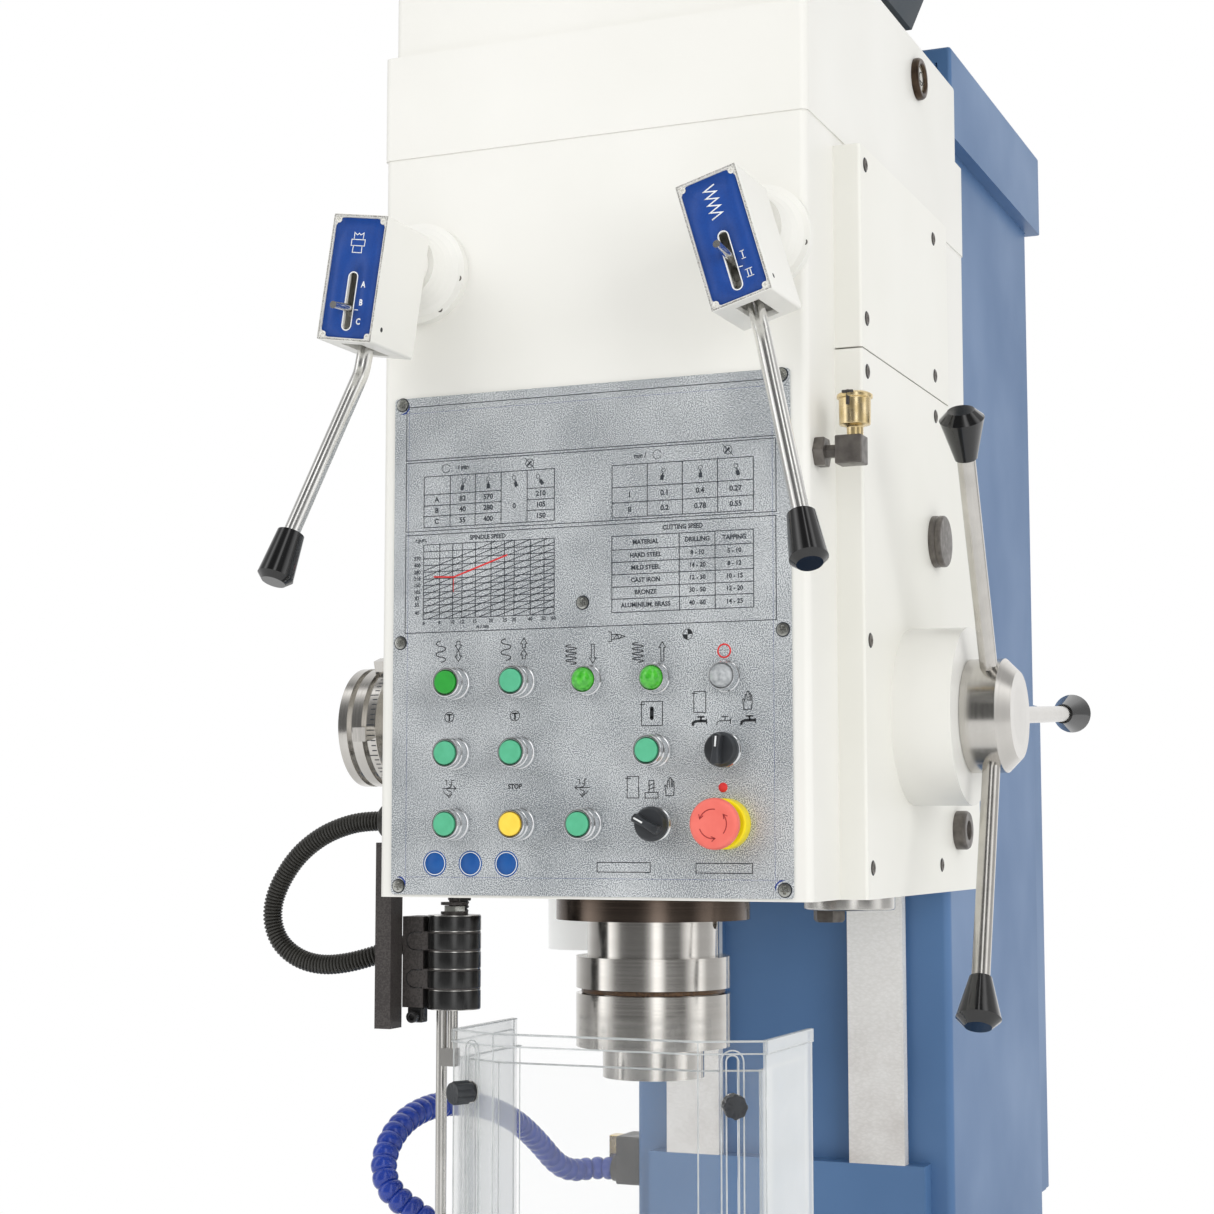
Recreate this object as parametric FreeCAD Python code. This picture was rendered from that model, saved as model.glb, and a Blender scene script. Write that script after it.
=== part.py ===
import FreeCAD, Part
import math
import os

# Pillar drill with a box column and a geared head, in millimetres.
# The origin is the centre of the anchor holes on the floor, +X is the operator's right,
# +Y is the back and +Z is up. The spindle and the column stand on X = 0.

V = FreeCAD.Vector

# Driving dimensions of the machine
THROAT = 375.0
RAIL_Y = 100.0
HEAD_CHEEK = 25.0
HEAD_OVERHANG = 155.0
HEAD_BOTTOM = 1450.0
CASTING_HEIGHT = 673.6
GEAR_CASE_HEIGHT = 97.3
DRIVE_CASE_HEIGHT = 84.0
QUILL_TRAVEL = 250.0
BASE_WIDTH = 720.0
BASE_LENGTH = 1160.0
BASE_HEIGHT = 160.0
COLUMN_WIDTH = 356.0
COLUMN_DEPTH = 440.0
COLUMN_TOP = 2345.0
TABLE_WIDTH = 650.0
TABLE_DEPTH = 550.0
TABLE_THICK = 70.0
TABLE_TOP = 680.0

# Clearances that many pieces share
SLIDE_GAP = 0.4
TURN_GAP = 0.4
OVERRUN = 3.0

# Planes that follow from the driving dimensions
SPINDLE_Y = RAIL_Y - THROAT
HEAD_FRONT = SPINDLE_Y - HEAD_OVERHANG
HEAD_REAR = RAIL_Y - SLIDE_GAP
HEAD_WIDTH = COLUMN_WIDTH + 2 * HEAD_CHEEK
HEAD_SIDE = HEAD_WIDTH / 2
CASTING_TOP = HEAD_BOTTOM + CASTING_HEIGHT
GEAR_CASE_TOP = CASTING_TOP + GEAR_CASE_HEIGHT
DRIVE_CASE_TOP = GEAR_CASE_TOP + DRIVE_CASE_HEIGHT
COLUMN_SIDE = COLUMN_WIDTH / 2

# Way strips on the column and the shoes that hook behind them
STRIP_INNER = 72.7
STRIP_WIDTH = 60.2
STRIP_THICK = 14.0
STRIP_OVERHANG = 10.0
WALL_SETBACK = 25.0
STRIP_OUTER = STRIP_INNER + STRIP_WIDTH
COLUMN_FRONT = RAIL_Y + WALL_SETBACK
COLUMN_REAR = COLUMN_FRONT + COLUMN_DEPTH
STRIP_BACK = RAIL_Y + STRIP_THICK
SHOE_THICK = 20.0
SHOE_TOP_GAP = 1.0
SHOE_INNER = STRIP_OUTER + SLIDE_GAP
SHOE_BACK = COLUMN_FRONT - SHOE_TOP_GAP

PARTS_FOLDER = "parts"
os.makedirs(PARTS_FOLDER, exist_ok=True)


# Shared solids

def box(x0, x1, y0, y1, z0, z1):
    """A block between two corners."""
    return Part.makeBox(x1 - x0, y1 - y0, z1 - z0, V(x0, y0, z0))


def bar_x(y, z, r, x0, x1):
    """A round bar along X."""
    return Part.makeCylinder(r, x1 - x0, V(x0, y, z), V(1, 0, 0))


def bar_y(x, z, r, y0, y1):
    """A round bar along Y."""
    return Part.makeCylinder(r, y1 - y0, V(x, y0, z), V(0, 1, 0))


def bar_z(x, y, r, z0, z1):
    """A round bar along Z."""
    return Part.makeCylinder(r, z1 - z0, V(x, y, z0), V(0, 0, 1))


def ring_z(x, y, outer, inner, z0, z1):
    """A plain ring about an upright axis."""
    core = bar_z(x, y, inner, z0 - OVERRUN, z1 + OVERRUN)
    return bar_z(x, y, outer, z0, z1).cut(core)


def ring_y(x, z, outer, inner, y0, y1):
    """A plain ring about an axis along Y."""
    core = bar_y(x, z, inner, y0 - OVERRUN, y1 + OVERRUN)
    return bar_y(x, z, outer, y0, y1).cut(core)


def ring_x(y, z, outer, inner, x0, x1):
    """A plain ring about an axis along X."""
    core = bar_x(y, z, inner, x0 - OVERRUN, x1 + OVERRUN)
    return bar_x(y, z, outer, x0, x1).cut(core)


def join(shapes):
    """One solid from several that touch or overlap."""
    whole = shapes[0].multiFuse(shapes[1:])
    return whole.removeSplitter()


def less(shape, cutters):
    """A solid with several others taken out of it."""
    return shape.cut(Part.makeCompound(cutters))


def turned(profile, start, direction):
    """A solid of revolution from (radius, distance) points along an axis."""
    points = [V(r, 0, h) for r, h in profile]
    face = Part.Face(Part.makePolygon(points + [points[0]]))
    solid = face.revolve(V(0, 0, 0), V(0, 0, 1), 360)
    turn = FreeCAD.Rotation(V(0, 0, 1), direction)
    solid.Placement = FreeCAD.Placement(start, turn)
    return solid


def prism(points, sweep):
    """A solid from a flat outline moved along a vector."""
    return Part.Face(Part.makePolygon(points + [points[0]])).extrude(sweep)


def edges_along(shape, direction):
    """The straight edges of a shape that run along a direction."""
    found = []
    for edge in shape.Edges:
        if edge.Curve.TypeId != "Part::GeomLine":
            continue
        if abs(edge.Curve.Direction.dot(direction)) > 0.999:
            found.append(edge)
    return found


def rounded_box(x0, x1, y0, y1, z0, z1, radius, direction):
    """A block with its four edges along one direction rounded."""
    block = box(x0, x1, y0, y1, z0, z1)
    return block.makeFillet(radius, edges_along(block, direction))


def hexagon(centre, across, normal, thick):
    """A hexagonal nut or bolt head."""
    reach = across / math.sqrt(3)
    turn = FreeCAD.Rotation(V(0, 0, 1), normal)
    points = []
    for corner in range(6):
        angle = math.radians(60 * corner)
        local = V(reach * math.cos(angle), reach * math.sin(angle), 0)
        points.append(centre + turn.multVec(local))
    return prism(points, normal * thick)


def rotated(shape, centre, axis, degrees):
    """A copy of a shape turned about an axis."""
    copy = shape.copy()
    copy.rotate(centre, axis, degrees)
    return copy


def mirrored_x(shape):
    """A copy of a shape mirrored across the plane X = 0."""
    return shape.mirror(V(0, 0, 0), V(1, 0, 0))


GEAR_ROOT_SHARE = 1.25


def gear_points(teeth, module, backlash, turn):
    """The outline of an involute gear as (x, y) points about its centre."""
    pressure = math.radians(20)
    pitch = module * teeth / 2
    base = pitch * math.cos(pressure)
    tip = pitch + module
    root = pitch - GEAR_ROOT_SHARE * module
    half_tooth = math.pi / (2 * teeth) - backlash / (2 * pitch)
    inv_pitch = math.tan(pressure) - pressure
    radii = [root, max(base, root), (max(base, root) + pitch) / 2, pitch, (pitch + tip) / 2, tip]
    flank = []
    for r in radii:
        roll = math.acos(min(1.0, base / max(r, base)))
        flank.append((r, half_tooth + inv_pitch - (math.tan(roll) - roll)))
    points = []
    for tooth in range(teeth):
        middle = turn + 2 * math.pi * tooth / teeth
        for r, half in flank:
            points.append((r * math.cos(middle - half), r * math.sin(middle - half)))
        for r, half in reversed(flank):
            points.append((r * math.cos(middle + half), r * math.sin(middle + half)))
    return points


# A smooth route for a hose: straight runs joined by tangent arcs

ARC_SHARE = 0.45


class Route:
    """Straight runs joined by tangent arcs through hand-chosen points."""

    def __init__(self, name, points):
        self.pieces = []
        corners = [V(*p) for p in points]
        start = corners[0]
        radii = []
        for before, corner, after in zip(corners, corners[1:], corners[2:]):
            into = (corner - before).normalize()
            out = (after - corner).normalize()
            turn = into.getAngle(out)
            run = min((corner - before).Length, (after - corner).Length)
            radius = ARC_SHARE * run / math.tan(turn / 2)
            radii.append(radius)
            setback = ARC_SHARE * run
            arc_start = corner - into * setback
            self.add_line(start, arc_start)
            self.add_arc(arc_start, into, out, radius, turn)
            start = corner + out * setback
        self.add_line(start, corners[-1])
        self.length = sum(piece[1] for piece in self.pieces)
        print(name, "length", round(self.length, 1), "least radius", round(min(radii), 1))

    def add_line(self, start, end):
        """Append a straight run."""
        along = (end - start)
        size = along.Length
        self.pieces.append(("line", size, start, along.normalize()))

    def add_arc(self, start, into, out, radius, turn):
        """Append a tangent arc."""
        normal = into.cross(out).normalize()
        inward = normal.cross(into)
        self.pieces.append(("arc", radius * turn, start, into, inward, radius))

    def at(self, distance):
        """The point and the direction at a distance along the route."""
        left = distance
        for piece in self.pieces[:-1]:
            if left <= piece[1]:
                break
            left -= piece[1]
        else:
            piece = self.pieces[-1]
        if piece[0] == "line":
            return piece[2] + piece[3] * left, piece[3]
        kind, size, start, into, inward, radius = piece
        angle = left / radius
        point = start + into * (radius * math.sin(angle)) + inward * (radius * (1 - math.cos(angle)))
        return point, into * math.cos(angle) + inward * math.sin(angle)

    def circle(self, distance, radius, steady):
        """A circle square to the route whose start lies on a steady side."""
        point, along = self.at(distance)
        side = (steady - along * steady.dot(along)).normalize()
        ring = Part.Circle(point, along, radius)
        ring.XAxis = side
        return Part.Wire([ring.toShape()])


def skin(route, places, steady):
    """A closed solid skinned over circles given as (distance, radius) along a route."""
    rings = [route.circle(distance, radius, steady) for distance, radius in places]
    faces = [Part.Face(rings[0]), Part.Face(rings[-1])]
    for ring, following in zip(rings, rings[1:]):
        faces.append(Part.makeRuledSurface(ring.Edges[0], following.Edges[0]))
    shell = Part.makeShell(faces)
    shell.sewShape()
    return Part.makeSolid(shell)


def ribbed_hose(route, ribs, crest, root, bore, straight_end, crest_share, steady):
    """A hose with plain ends, a bore and ribs of four circles each."""
    pitch = (route.length - 2 * straight_end) / ribs
    slope = pitch * (1 - crest_share) / 4
    places = [(0, root)]
    for rib in range(ribs):
        start = straight_end + rib * pitch
        end = start + pitch
        places.append((start + slope / 2, root))
        places.append((start + 3 * slope / 2, crest))
        places.append((end - 3 * slope / 2, crest))
        places.append((end - slope / 2, root))
    places.append((route.length, root))
    steps = max(ribs // 2, 8)
    bore_places = [(route.length * step / steps, bore) for step in range(steps + 1)]
    return skin(route, places, steady).cut(skin(route, bore_places, steady))


def bent_bar(points, bend_radius, radius):
    """A round bar along straight runs with one arc at each inner point."""
    corners = [V(p) for p in points]
    edges = []
    start = corners[0]
    for before, corner, after in zip(corners, corners[1:], corners[2:]):
        into = (corner - before).normalize()
        out = (after - corner).normalize()
        half = into.getAngle(out) / 2
        setback = bend_radius * math.tan(half)
        arc_start = corner - into * setback
        arc_end = corner + out * setback
        inward = (out - into).normalize()
        middle = corner + inward * (bend_radius / math.cos(half) - bend_radius)
        edges.append(Part.LineSegment(start, arc_start).toShape())
        edges.append(Part.Arc(arc_start, middle, arc_end).toShape())
        start = arc_end
    edges.append(Part.LineSegment(start, corners[-1]).toShape())
    along = (corners[1] - corners[0]).normalize()
    section = Part.Wire([Part.Circle(corners[0], along, radius).toShape()])
    return Part.Wire(edges).makePipeShell([section], True, False)


def save(name, *solids):
    """Write one sub-part."""
    kept = []
    for shape in solids:
        kept.extend(shape.Solids)
    whole = kept[0] if len(kept) == 1 else Part.makeCompound(kept)
    whole.exportStep(os.path.join(PARTS_FOLDER, name + ".step"))
    bad = "" if whole.isValid() else " NOT VALID"
    print(name, "solids", len(kept), "litres", round(whole.Volume / 1e6, 3), bad)


# Base: a ribbed iron plate with two T-slots, a coolant channel and four anchor holes

ANCHOR_INSET = 45.0
ANCHOR_X = BASE_WIDTH / 2 - ANCHOR_INSET
ANCHOR_Y = BASE_LENGTH / 2 - ANCHOR_INSET
ANCHOR_R = 12.0
ANCHOR_PAD = 84.0
BASE_WALL = 25.0
BASE_TOP_THICK = 48.0
BASE_RIB = 20.0
BASE_CORNER_R = 30.0
BASE_CELLS_X = 3
BASE_CELLS_Y = 5
BASE_SLOT_X = 110.0
T_NECK = 18.0
T_NECK_DEPTH = 18.0
T_WIDTH = 32.0
T_DEPTH = 14.0
CHANNEL_WIDTH = 24.0
CHANNEL_DEPTH = 12.0
CHANNEL_EDGE = 22.0
BASE_SLOT_END_Y = 20.0
CHANNEL_SIDE = 46.0


def t_slot_y(x, y0, y1, top):
    """The space of a T-slot that runs along Y."""
    neck = box(x - T_NECK / 2, x + T_NECK / 2, y0, y1, top - T_NECK_DEPTH, top + OVERRUN)
    low = top - T_NECK_DEPTH - T_DEPTH
    wide = box(x - T_WIDTH / 2, x + T_WIDTH / 2, y0, y1, low, top - T_NECK_DEPTH)
    return neck.fuse(wide)


def t_slot_x(y, x0, x1, top):
    """The space of a T-slot that runs along X."""
    neck = box(x0, x1, y - T_NECK / 2, y + T_NECK / 2, top - T_NECK_DEPTH, top + OVERRUN)
    low = top - T_NECK_DEPTH - T_DEPTH
    wide = box(x0, x1, y - T_WIDTH / 2, y + T_WIDTH / 2, low, top - T_NECK_DEPTH)
    return neck.fuse(wide)


def channel_frame(x_out, y0, y1, top):
    """The space of a rectangular coolant channel cut into a top face."""
    low = top - CHANNEL_DEPTH
    high = top + OVERRUN
    whole = box(-x_out, x_out, y0, y1, low, high)
    x_in = x_out - CHANNEL_WIDTH
    island = box(-x_in, x_in, y0 + CHANNEL_WIDTH, y1 - CHANNEL_WIDTH, low - OVERRUN, high + OVERRUN)
    return whole.cut(island)


def make_base():
    """The base with its hollow underside."""
    half_x = BASE_WIDTH / 2
    half_y = BASE_LENGTH / 2
    body = rounded_box(-half_x, half_x, -half_y, half_y, 0, BASE_HEIGHT, BASE_CORNER_R, V(0, 0, 1))
    cell_x = (BASE_WIDTH - 2 * BASE_WALL - (BASE_CELLS_X - 1) * BASE_RIB) / BASE_CELLS_X
    cell_y = (BASE_LENGTH - 2 * BASE_WALL - (BASE_CELLS_Y - 1) * BASE_RIB) / BASE_CELLS_Y
    cells = []
    for column in range(BASE_CELLS_X):
        x0 = -half_x + BASE_WALL + column * (cell_x + BASE_RIB)
        for row in range(BASE_CELLS_Y):
            y0 = -half_y + BASE_WALL + row * (cell_y + BASE_RIB)
            cells.append(box(x0, x0 + cell_x, y0, y0 + cell_y, -OVERRUN, BASE_HEIGHT - BASE_TOP_THICK))
    pads = []
    holes = []
    for sx in (-1, 1):
        for sy in (-1, 1):
            x = sx * ANCHOR_X
            y = sy * ANCHOR_Y
            pad = ANCHOR_PAD / 2
            pads.append(box(x - pad, x + pad, y - pad, y + pad, -OVERRUN, BASE_HEIGHT))
            holes.append(bar_z(x, y, ANCHOR_R, -OVERRUN, BASE_HEIGHT + OVERRUN))
    hollow = Part.makeCompound(cells).cut(Part.makeCompound(pads))
    cutters = [hollow, channel_frame(half_x - CHANNEL_SIDE, -half_y + CHANNEL_EDGE,
                                     COLUMN_FRONT - CHANNEL_EDGE, BASE_HEIGHT)]
    for x in (-BASE_SLOT_X, BASE_SLOT_X):
        cutters.append(t_slot_y(x, -half_y - OVERRUN, BASE_SLOT_END_Y, BASE_HEIGHT))
    body = less(body, cutters)
    save("base", less(body, holes))


# Column: a ribbed box with raised pads for the ways and a block between the two sets of ways

COLUMN_WALL = 16.0
COLUMN_WEB = 14.0
COLUMN_EDGE_R = 8.0
COLUMN_FOOT_THICK = 30.0
COLUMN_FOOT_REACH = 30.0
COLUMN_FOOT_BACK = 14.0
BLOCK_HALF_WIDTH = 154.0
BLOCK_TOP = 1161.0
BLOCK_HEIGHT = 261.0
BLOCK_BOTTOM = BLOCK_TOP - BLOCK_HEIGHT
PAD_WIDTH = STRIP_WIDTH - STRIP_OVERHANG
STRIP_TOP_DROP = 5.0
LOWER_STRIP_RISE = 40.0
STRIP_TOP = COLUMN_TOP - STRIP_TOP_DROP
LOWER_STRIP_BOTTOM = BASE_HEIGHT + LOWER_STRIP_RISE
FOOT_BOLT_ACROSS = 24.0
FOOT_BOLT_HEAD = 12.0
FOOT_BOLTS_A_SIDE = 3


def make_column():
    """The column casting and the ground way strips."""
    half = COLUMN_SIDE
    body = rounded_box(-half, half, COLUMN_FRONT, COLUMN_REAR, BASE_HEIGHT, COLUMN_TOP,
                       COLUMN_EDGE_R, V(0, 0, 1))
    inner_x = half - COLUMN_WALL
    web = COLUMN_WEB / 2
    inner_y0 = COLUMN_FRONT + COLUMN_WALL
    inner_y1 = COLUMN_REAR - COLUMN_WALL
    middle_y = (inner_y0 + inner_y1) / 2
    low = BASE_HEIGHT - OVERRUN
    high = COLUMN_TOP + OVERRUN
    cells = []
    for x0, x1 in ((-inner_x, -web), (web, inner_x)):
        for y0, y1 in ((inner_y0, middle_y - web), (middle_y + web, inner_y1)):
            cells.append(box(x0, x1, y0, y1, low, high))
    foot_top = BASE_HEIGHT + COLUMN_FOOT_THICK
    foot = box(-half - COLUMN_FOOT_REACH, half + COLUMN_FOOT_REACH, COLUMN_FRONT + COLUMN_EDGE_R,
               COLUMN_REAR + COLUMN_FOOT_BACK, BASE_HEIGHT, foot_top)
    block = box(-BLOCK_HALF_WIDTH, BLOCK_HALF_WIDTH, RAIL_Y, COLUMN_FRONT + COLUMN_EDGE_R,
                BLOCK_BOTTOM, BLOCK_TOP)
    pads = []
    for z0, z1 in ((BLOCK_TOP, STRIP_TOP), (LOWER_STRIP_BOTTOM, BLOCK_BOTTOM)):
        pad = box(STRIP_INNER, STRIP_INNER + PAD_WIDTH, STRIP_BACK, COLUMN_FRONT + COLUMN_EDGE_R, z0, z1)
        pads.extend([pad, mirrored_x(pad)])
    body = join([body, foot, block] + pads)
    body = less(body, cells)
    bolts = []
    for side in (-1, 1):
        x = side * (half + COLUMN_FOOT_REACH / 2)
        for count in range(FOOT_BOLTS_A_SIDE):
            y = COLUMN_FRONT + COLUMN_DEPTH * (count + 0.5) / FOOT_BOLTS_A_SIDE
            bolts.append(hexagon(V(x, y, foot_top), FOOT_BOLT_ACROSS, V(0, 0, 1), FOOT_BOLT_HEAD))
    save("column", body, *bolts)
    strips = []
    for z0, z1 in ((BLOCK_TOP, STRIP_TOP), (LOWER_STRIP_BOTTOM, BLOCK_BOTTOM)):
        strip = box(STRIP_INNER, STRIP_OUTER, RAIL_Y, STRIP_BACK, z0, z1)
        strips.extend([strip, mirrored_x(strip)])
    save("column_ways", *strips)


HOOD_THICK = 17.0
HOOD_SKIRT = 83.0
HOOD_WALL = 15.0
HOOD_EDGE_R = 4.0


def make_column_cap():
    """The hood over the top of the column, open at the front where the ways stand."""
    half = COLUMN_SIDE + HOOD_WALL
    top = COLUMN_TOP + HOOD_THICK
    rear = COLUMN_REAR + HOOD_WALL
    hood = rounded_box(-half, half, COLUMN_FRONT, rear, COLUMN_TOP - HOOD_SKIRT, top, HOOD_EDGE_R, V(0, 0, 1))
    rim = [edge for edge in hood.Edges if edge.BoundBox.ZMin > top - HOOD_EDGE_R]
    hood = hood.makeFillet(HOOD_EDGE_R, rim)
    room = box(-COLUMN_SIDE, COLUMN_SIDE, COLUMN_FRONT - OVERRUN, COLUMN_REAR,
               COLUMN_TOP - HOOD_SKIRT - OVERRUN, COLUMN_TOP)
    save("column_cap", hood.cut(room))


def guide_shoes(z0, z1):
    """The two hooked shoes of a slide, from the slide's back to behind the strips."""
    arm = box(SHOE_INNER, SHOE_INNER + SHOE_THICK, HEAD_REAR - OVERRUN, SHOE_BACK, z0, z1)
    hook = box(STRIP_INNER + PAD_WIDTH + SLIDE_GAP, SHOE_INNER + SHOE_THICK, STRIP_BACK + SLIDE_GAP,
               SHOE_BACK, z0, z1)
    shoe = arm.fuse(hook)
    return [shoe, mirrored_x(shoe)]


def way_pocket(front, z0, z1):
    """The space that a slide with full-width cheeks leaves for the ways."""
    return box(-SHOE_INNER, SHOE_INNER, front, SHOE_BACK + OVERRUN, z0 - OVERRUN, z1 + OVERRUN)


# Electric cabinet on the back of the column

CABINET_HALF_WIDTH = 150.0
CABINET_DEPTH = 150.0
CABINET_BOTTOM = 1050.0
CABINET_HEIGHT = 620.0
CABINET_WALL = 2.5
CABINET_DOOR = 16.0
CABINET_LOCK_R = 11.0
CABINET_LOCK_DEPTH = 12.0
CABINET_LOCK_INSET = 22.0
SWITCH_R = 24.0
SWITCH_DEPTH = 22.0
SWITCH_DROP = 90.0


def make_cabinet():
    """The sheet steel cabinet with its door and locks."""
    half = CABINET_HALF_WIDTH
    top = CABINET_BOTTOM + CABINET_HEIGHT
    door_y = COLUMN_REAR + CABINET_DEPTH
    shell = box(-half, half, COLUMN_REAR, door_y, CABINET_BOTTOM, top)
    wall = CABINET_WALL
    room = box(-half + wall, half - wall, COLUMN_REAR + wall, door_y + OVERRUN,
               CABINET_BOTTOM + wall, top - wall)
    door = rounded_box(-half, half, door_y, door_y + CABINET_DOOR, CABINET_BOTTOM, top, wall, V(0, 1, 0))
    hollow = box(-half + wall, half - wall, door_y - OVERRUN, door_y + CABINET_DOOR - wall,
                 CABINET_BOTTOM + wall, top - wall)
    face = door_y + CABINET_DOOR
    locks = []
    for share in (0.2, 0.8):
        lock_z = CABINET_BOTTOM + CABINET_HEIGHT * share
        lock_x = half - CABINET_LOCK_INSET
        locks.append(bar_y(lock_x, lock_z, CABINET_LOCK_R, face, face + CABINET_LOCK_DEPTH))
    switch = bar_y(0, top - SWITCH_DROP, SWITCH_R, face, face + SWITCH_DEPTH)
    save("electric_cabinet", shell.cut(room), door.cut(hollow), *locks, switch)


# Coolant pump and its pipe, behind the camera's reach on the left of the column

PUMP_X = -285.0
PUMP_Y = 330.0
PUMP_BODY_R = 62.0
PUMP_BODY_HEIGHT = 150.0
PUMP_FLANGE_R = 72.0
PUMP_FLANGE_THICK = 12.0
PUMP_FOOT_R = 46.0
PUMP_FOOT_HEIGHT = 84.0
PUMP_CAP_HEIGHT = 26.0
PUMP_CAP_R = 56.0
PIPE_R = 8.0
PIPE_BEND_R = 40.0
PUMP_LINK_R = 9.0
PUMP_LINK_FRONT = 24.0
PUMP_LINK_BACK = 16.0

# Coolant valve on the left side of the column, with its cock and segmented hose

VALVE_DEPTH = 27.0
VALVE_FRONT = 130.0
VALVE_LENGTH = 52.0
VALVE_BOTTOM = 1118.0
VALVE_HEIGHT = 52.0
VALVE_CHAMFER = 2.0
HOSE_FITTING_R = 13.5
HOSE_POINTS = [(-212, 143, 1133), (-236, 143, 1133), (-251, 122, 1131), (-259, 93, 1140), (-264, 50, 1172),
               (-264, -5, 1200), (-262, -65, 1219), (-260, -125, 1232), (-259, -178, 1238),
               (-258, -226, 1239), (-260, -267, 1232), (-260, -299, 1216), (-256, -320, 1194),
               (-243, -328, 1173), (-219, -322, 1156), (-196, -313, 1137), (-182, -307, 1118)]
HOSE_CREST_R = 12.5
HOSE_ROOT_R = 9.6
HOSE_BORE_R = 6.0
HOSE_RIBS = 48
HOSE_CREST_SHARE = 0.3
HOSE_END = 4.0
NOZZLE_LENGTH = 34.0
NOZZLE_TIP_R = 5.0
NOZZLE_BORE_R = 3.0
TAP_Y_SHARE = 0.72
TAP_STEM_R = 5.0
TAP_STEM_LENGTH = 8.0
TAP_THICK = 11.0
TAP_WIDTH = 20.0
TAP_REACH = 18.0
TAP_Z_SHARE = 0.6


def make_coolant():
    """The pump, its pipe, the valve block, the hose and the cock."""
    pump_floor = BASE_HEIGHT
    body_z = pump_floor + PUMP_FOOT_HEIGHT + PUMP_FLANGE_THICK
    body_top = body_z + PUMP_BODY_HEIGHT
    pump = join([
        bar_z(PUMP_X, PUMP_Y, PUMP_FOOT_R, pump_floor, pump_floor + PUMP_FOOT_HEIGHT),
        bar_z(PUMP_X, PUMP_Y, PUMP_FLANGE_R, pump_floor + PUMP_FOOT_HEIGHT, body_z),
        bar_z(PUMP_X, PUMP_Y, PUMP_BODY_R, body_z, body_top),
        bar_z(PUMP_X, PUMP_Y, PUMP_CAP_R, body_top, body_top + PUMP_CAP_HEIGHT)])
    pipe_x = -COLUMN_SIDE - PIPE_R
    pipe_y = VALVE_FRONT + VALVE_LENGTH + PIPE_BEND_R + PIPE_R
    pipe_low = pump_floor + PUMP_FOOT_HEIGHT / 2
    pipe_high = VALVE_BOTTOM + VALVE_HEIGHT / 2
    bend = PIPE_BEND_R
    corner_low = V(pipe_x, pipe_y, pipe_low + bend)
    corner_high = V(pipe_x, pipe_y, pipe_high - bend)
    pump_side = V(pipe_x - bend, pipe_y, pipe_low)
    start = V(PUMP_X + PUMP_FOOT_R - PIPE_R, pipe_y, pipe_low)
    slant = bend * (1 - math.sqrt(0.5))
    low_mid = V(pipe_x - slant, pipe_y, pipe_low + slant)
    high_mid = V(pipe_x, pipe_y - slant, pipe_high - slant)
    valve_back = V(pipe_x, VALVE_FRONT + VALVE_LENGTH, pipe_high)
    high_end = V(pipe_x, pipe_y - bend, pipe_high)
    path = Part.Wire([
        Part.LineSegment(start, pump_side).toShape(),
        Part.Arc(pump_side, low_mid, corner_low).toShape(),
        Part.LineSegment(corner_low, corner_high).toShape(),
        Part.Arc(corner_high, high_mid, high_end).toShape(),
        Part.LineSegment(high_end, valve_back).toShape()])
    section = Part.Wire([Part.Circle(start, V(1, 0, 0), PIPE_R).toShape()])
    pipe = path.makePipeShell([section], True, False)
    foot_link = bar_y(PUMP_X + PUMP_FOOT_R - PUMP_LINK_BACK, pipe_low, PUMP_LINK_R, pipe_y - PUMP_LINK_FRONT,
                      pipe_y + PUMP_LINK_BACK)
    pump = pump.fuse(foot_link)
    save("coolant_pump", pump.removeSplitter().cut(pipe), pipe)

    block = box(-COLUMN_SIDE - VALVE_DEPTH, -COLUMN_SIDE, VALVE_FRONT, VALVE_FRONT + VALVE_LENGTH,
                VALVE_BOTTOM, VALVE_BOTTOM + VALVE_HEIGHT)
    block = block.makeChamfer(VALVE_CHAMFER, edges_along(block, V(1, 0, 0)))
    route = Route("coolant_hose", HOSE_POINTS)
    mouth, toward = route.at(0)
    face_x = -COLUMN_SIDE - VALVE_DEPTH
    fitting = bar_x(mouth.y, mouth.z, HOSE_FITTING_R, mouth.x, face_x)
    save("coolant_valve", block, fitting)
    hose = ribbed_hose(route, HOSE_RIBS, HOSE_CREST_R, HOSE_ROOT_R, HOSE_BORE_R, HOSE_END,
                       HOSE_CREST_SHARE, V(0, 0, 1))
    tip, toward = route.at(route.length)
    nozzle = turned([(HOSE_BORE_R, 0), (HOSE_ROOT_R, 0), (HOSE_ROOT_R, HOSE_END),
                     (NOZZLE_TIP_R, NOZZLE_LENGTH), (NOZZLE_BORE_R, NOZZLE_LENGTH)], tip, toward)
    save("coolant_hose", hose, nozzle)

    tap_y = VALVE_FRONT + VALVE_LENGTH * TAP_Y_SHARE
    tap_z = VALVE_BOTTOM + VALVE_HEIGHT * TAP_Z_SHARE
    stem_end = face_x - TURN_GAP - TAP_STEM_LENGTH
    stem = bar_x(tap_y, tap_z, TAP_STEM_R, stem_end, face_x - TURN_GAP)
    half = TAP_WIDTH / 2
    lever = rounded_box(stem_end - TAP_THICK, stem_end, tap_y - half, tap_y + half, tap_z - half,
                        tap_z + TAP_REACH, VALVE_CHAMFER, V(1, 0, 0))
    save("coolant_tap", join([stem, lever]))


# Elevating screw between the lower ways

SCREW_R = 17.0
SCREW_AHEAD = 2.0
SCREW_Y = RAIL_Y - SCREW_AHEAD
SCREW_FOOT_R = 30.0
SCREW_FOOT_THICK = 18.0
SCREW_BEARING_HALF = 40.0
SCREW_BEARING_HEIGHT = 26.0
SCREW_BEARING_REACH = 25.0


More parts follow.
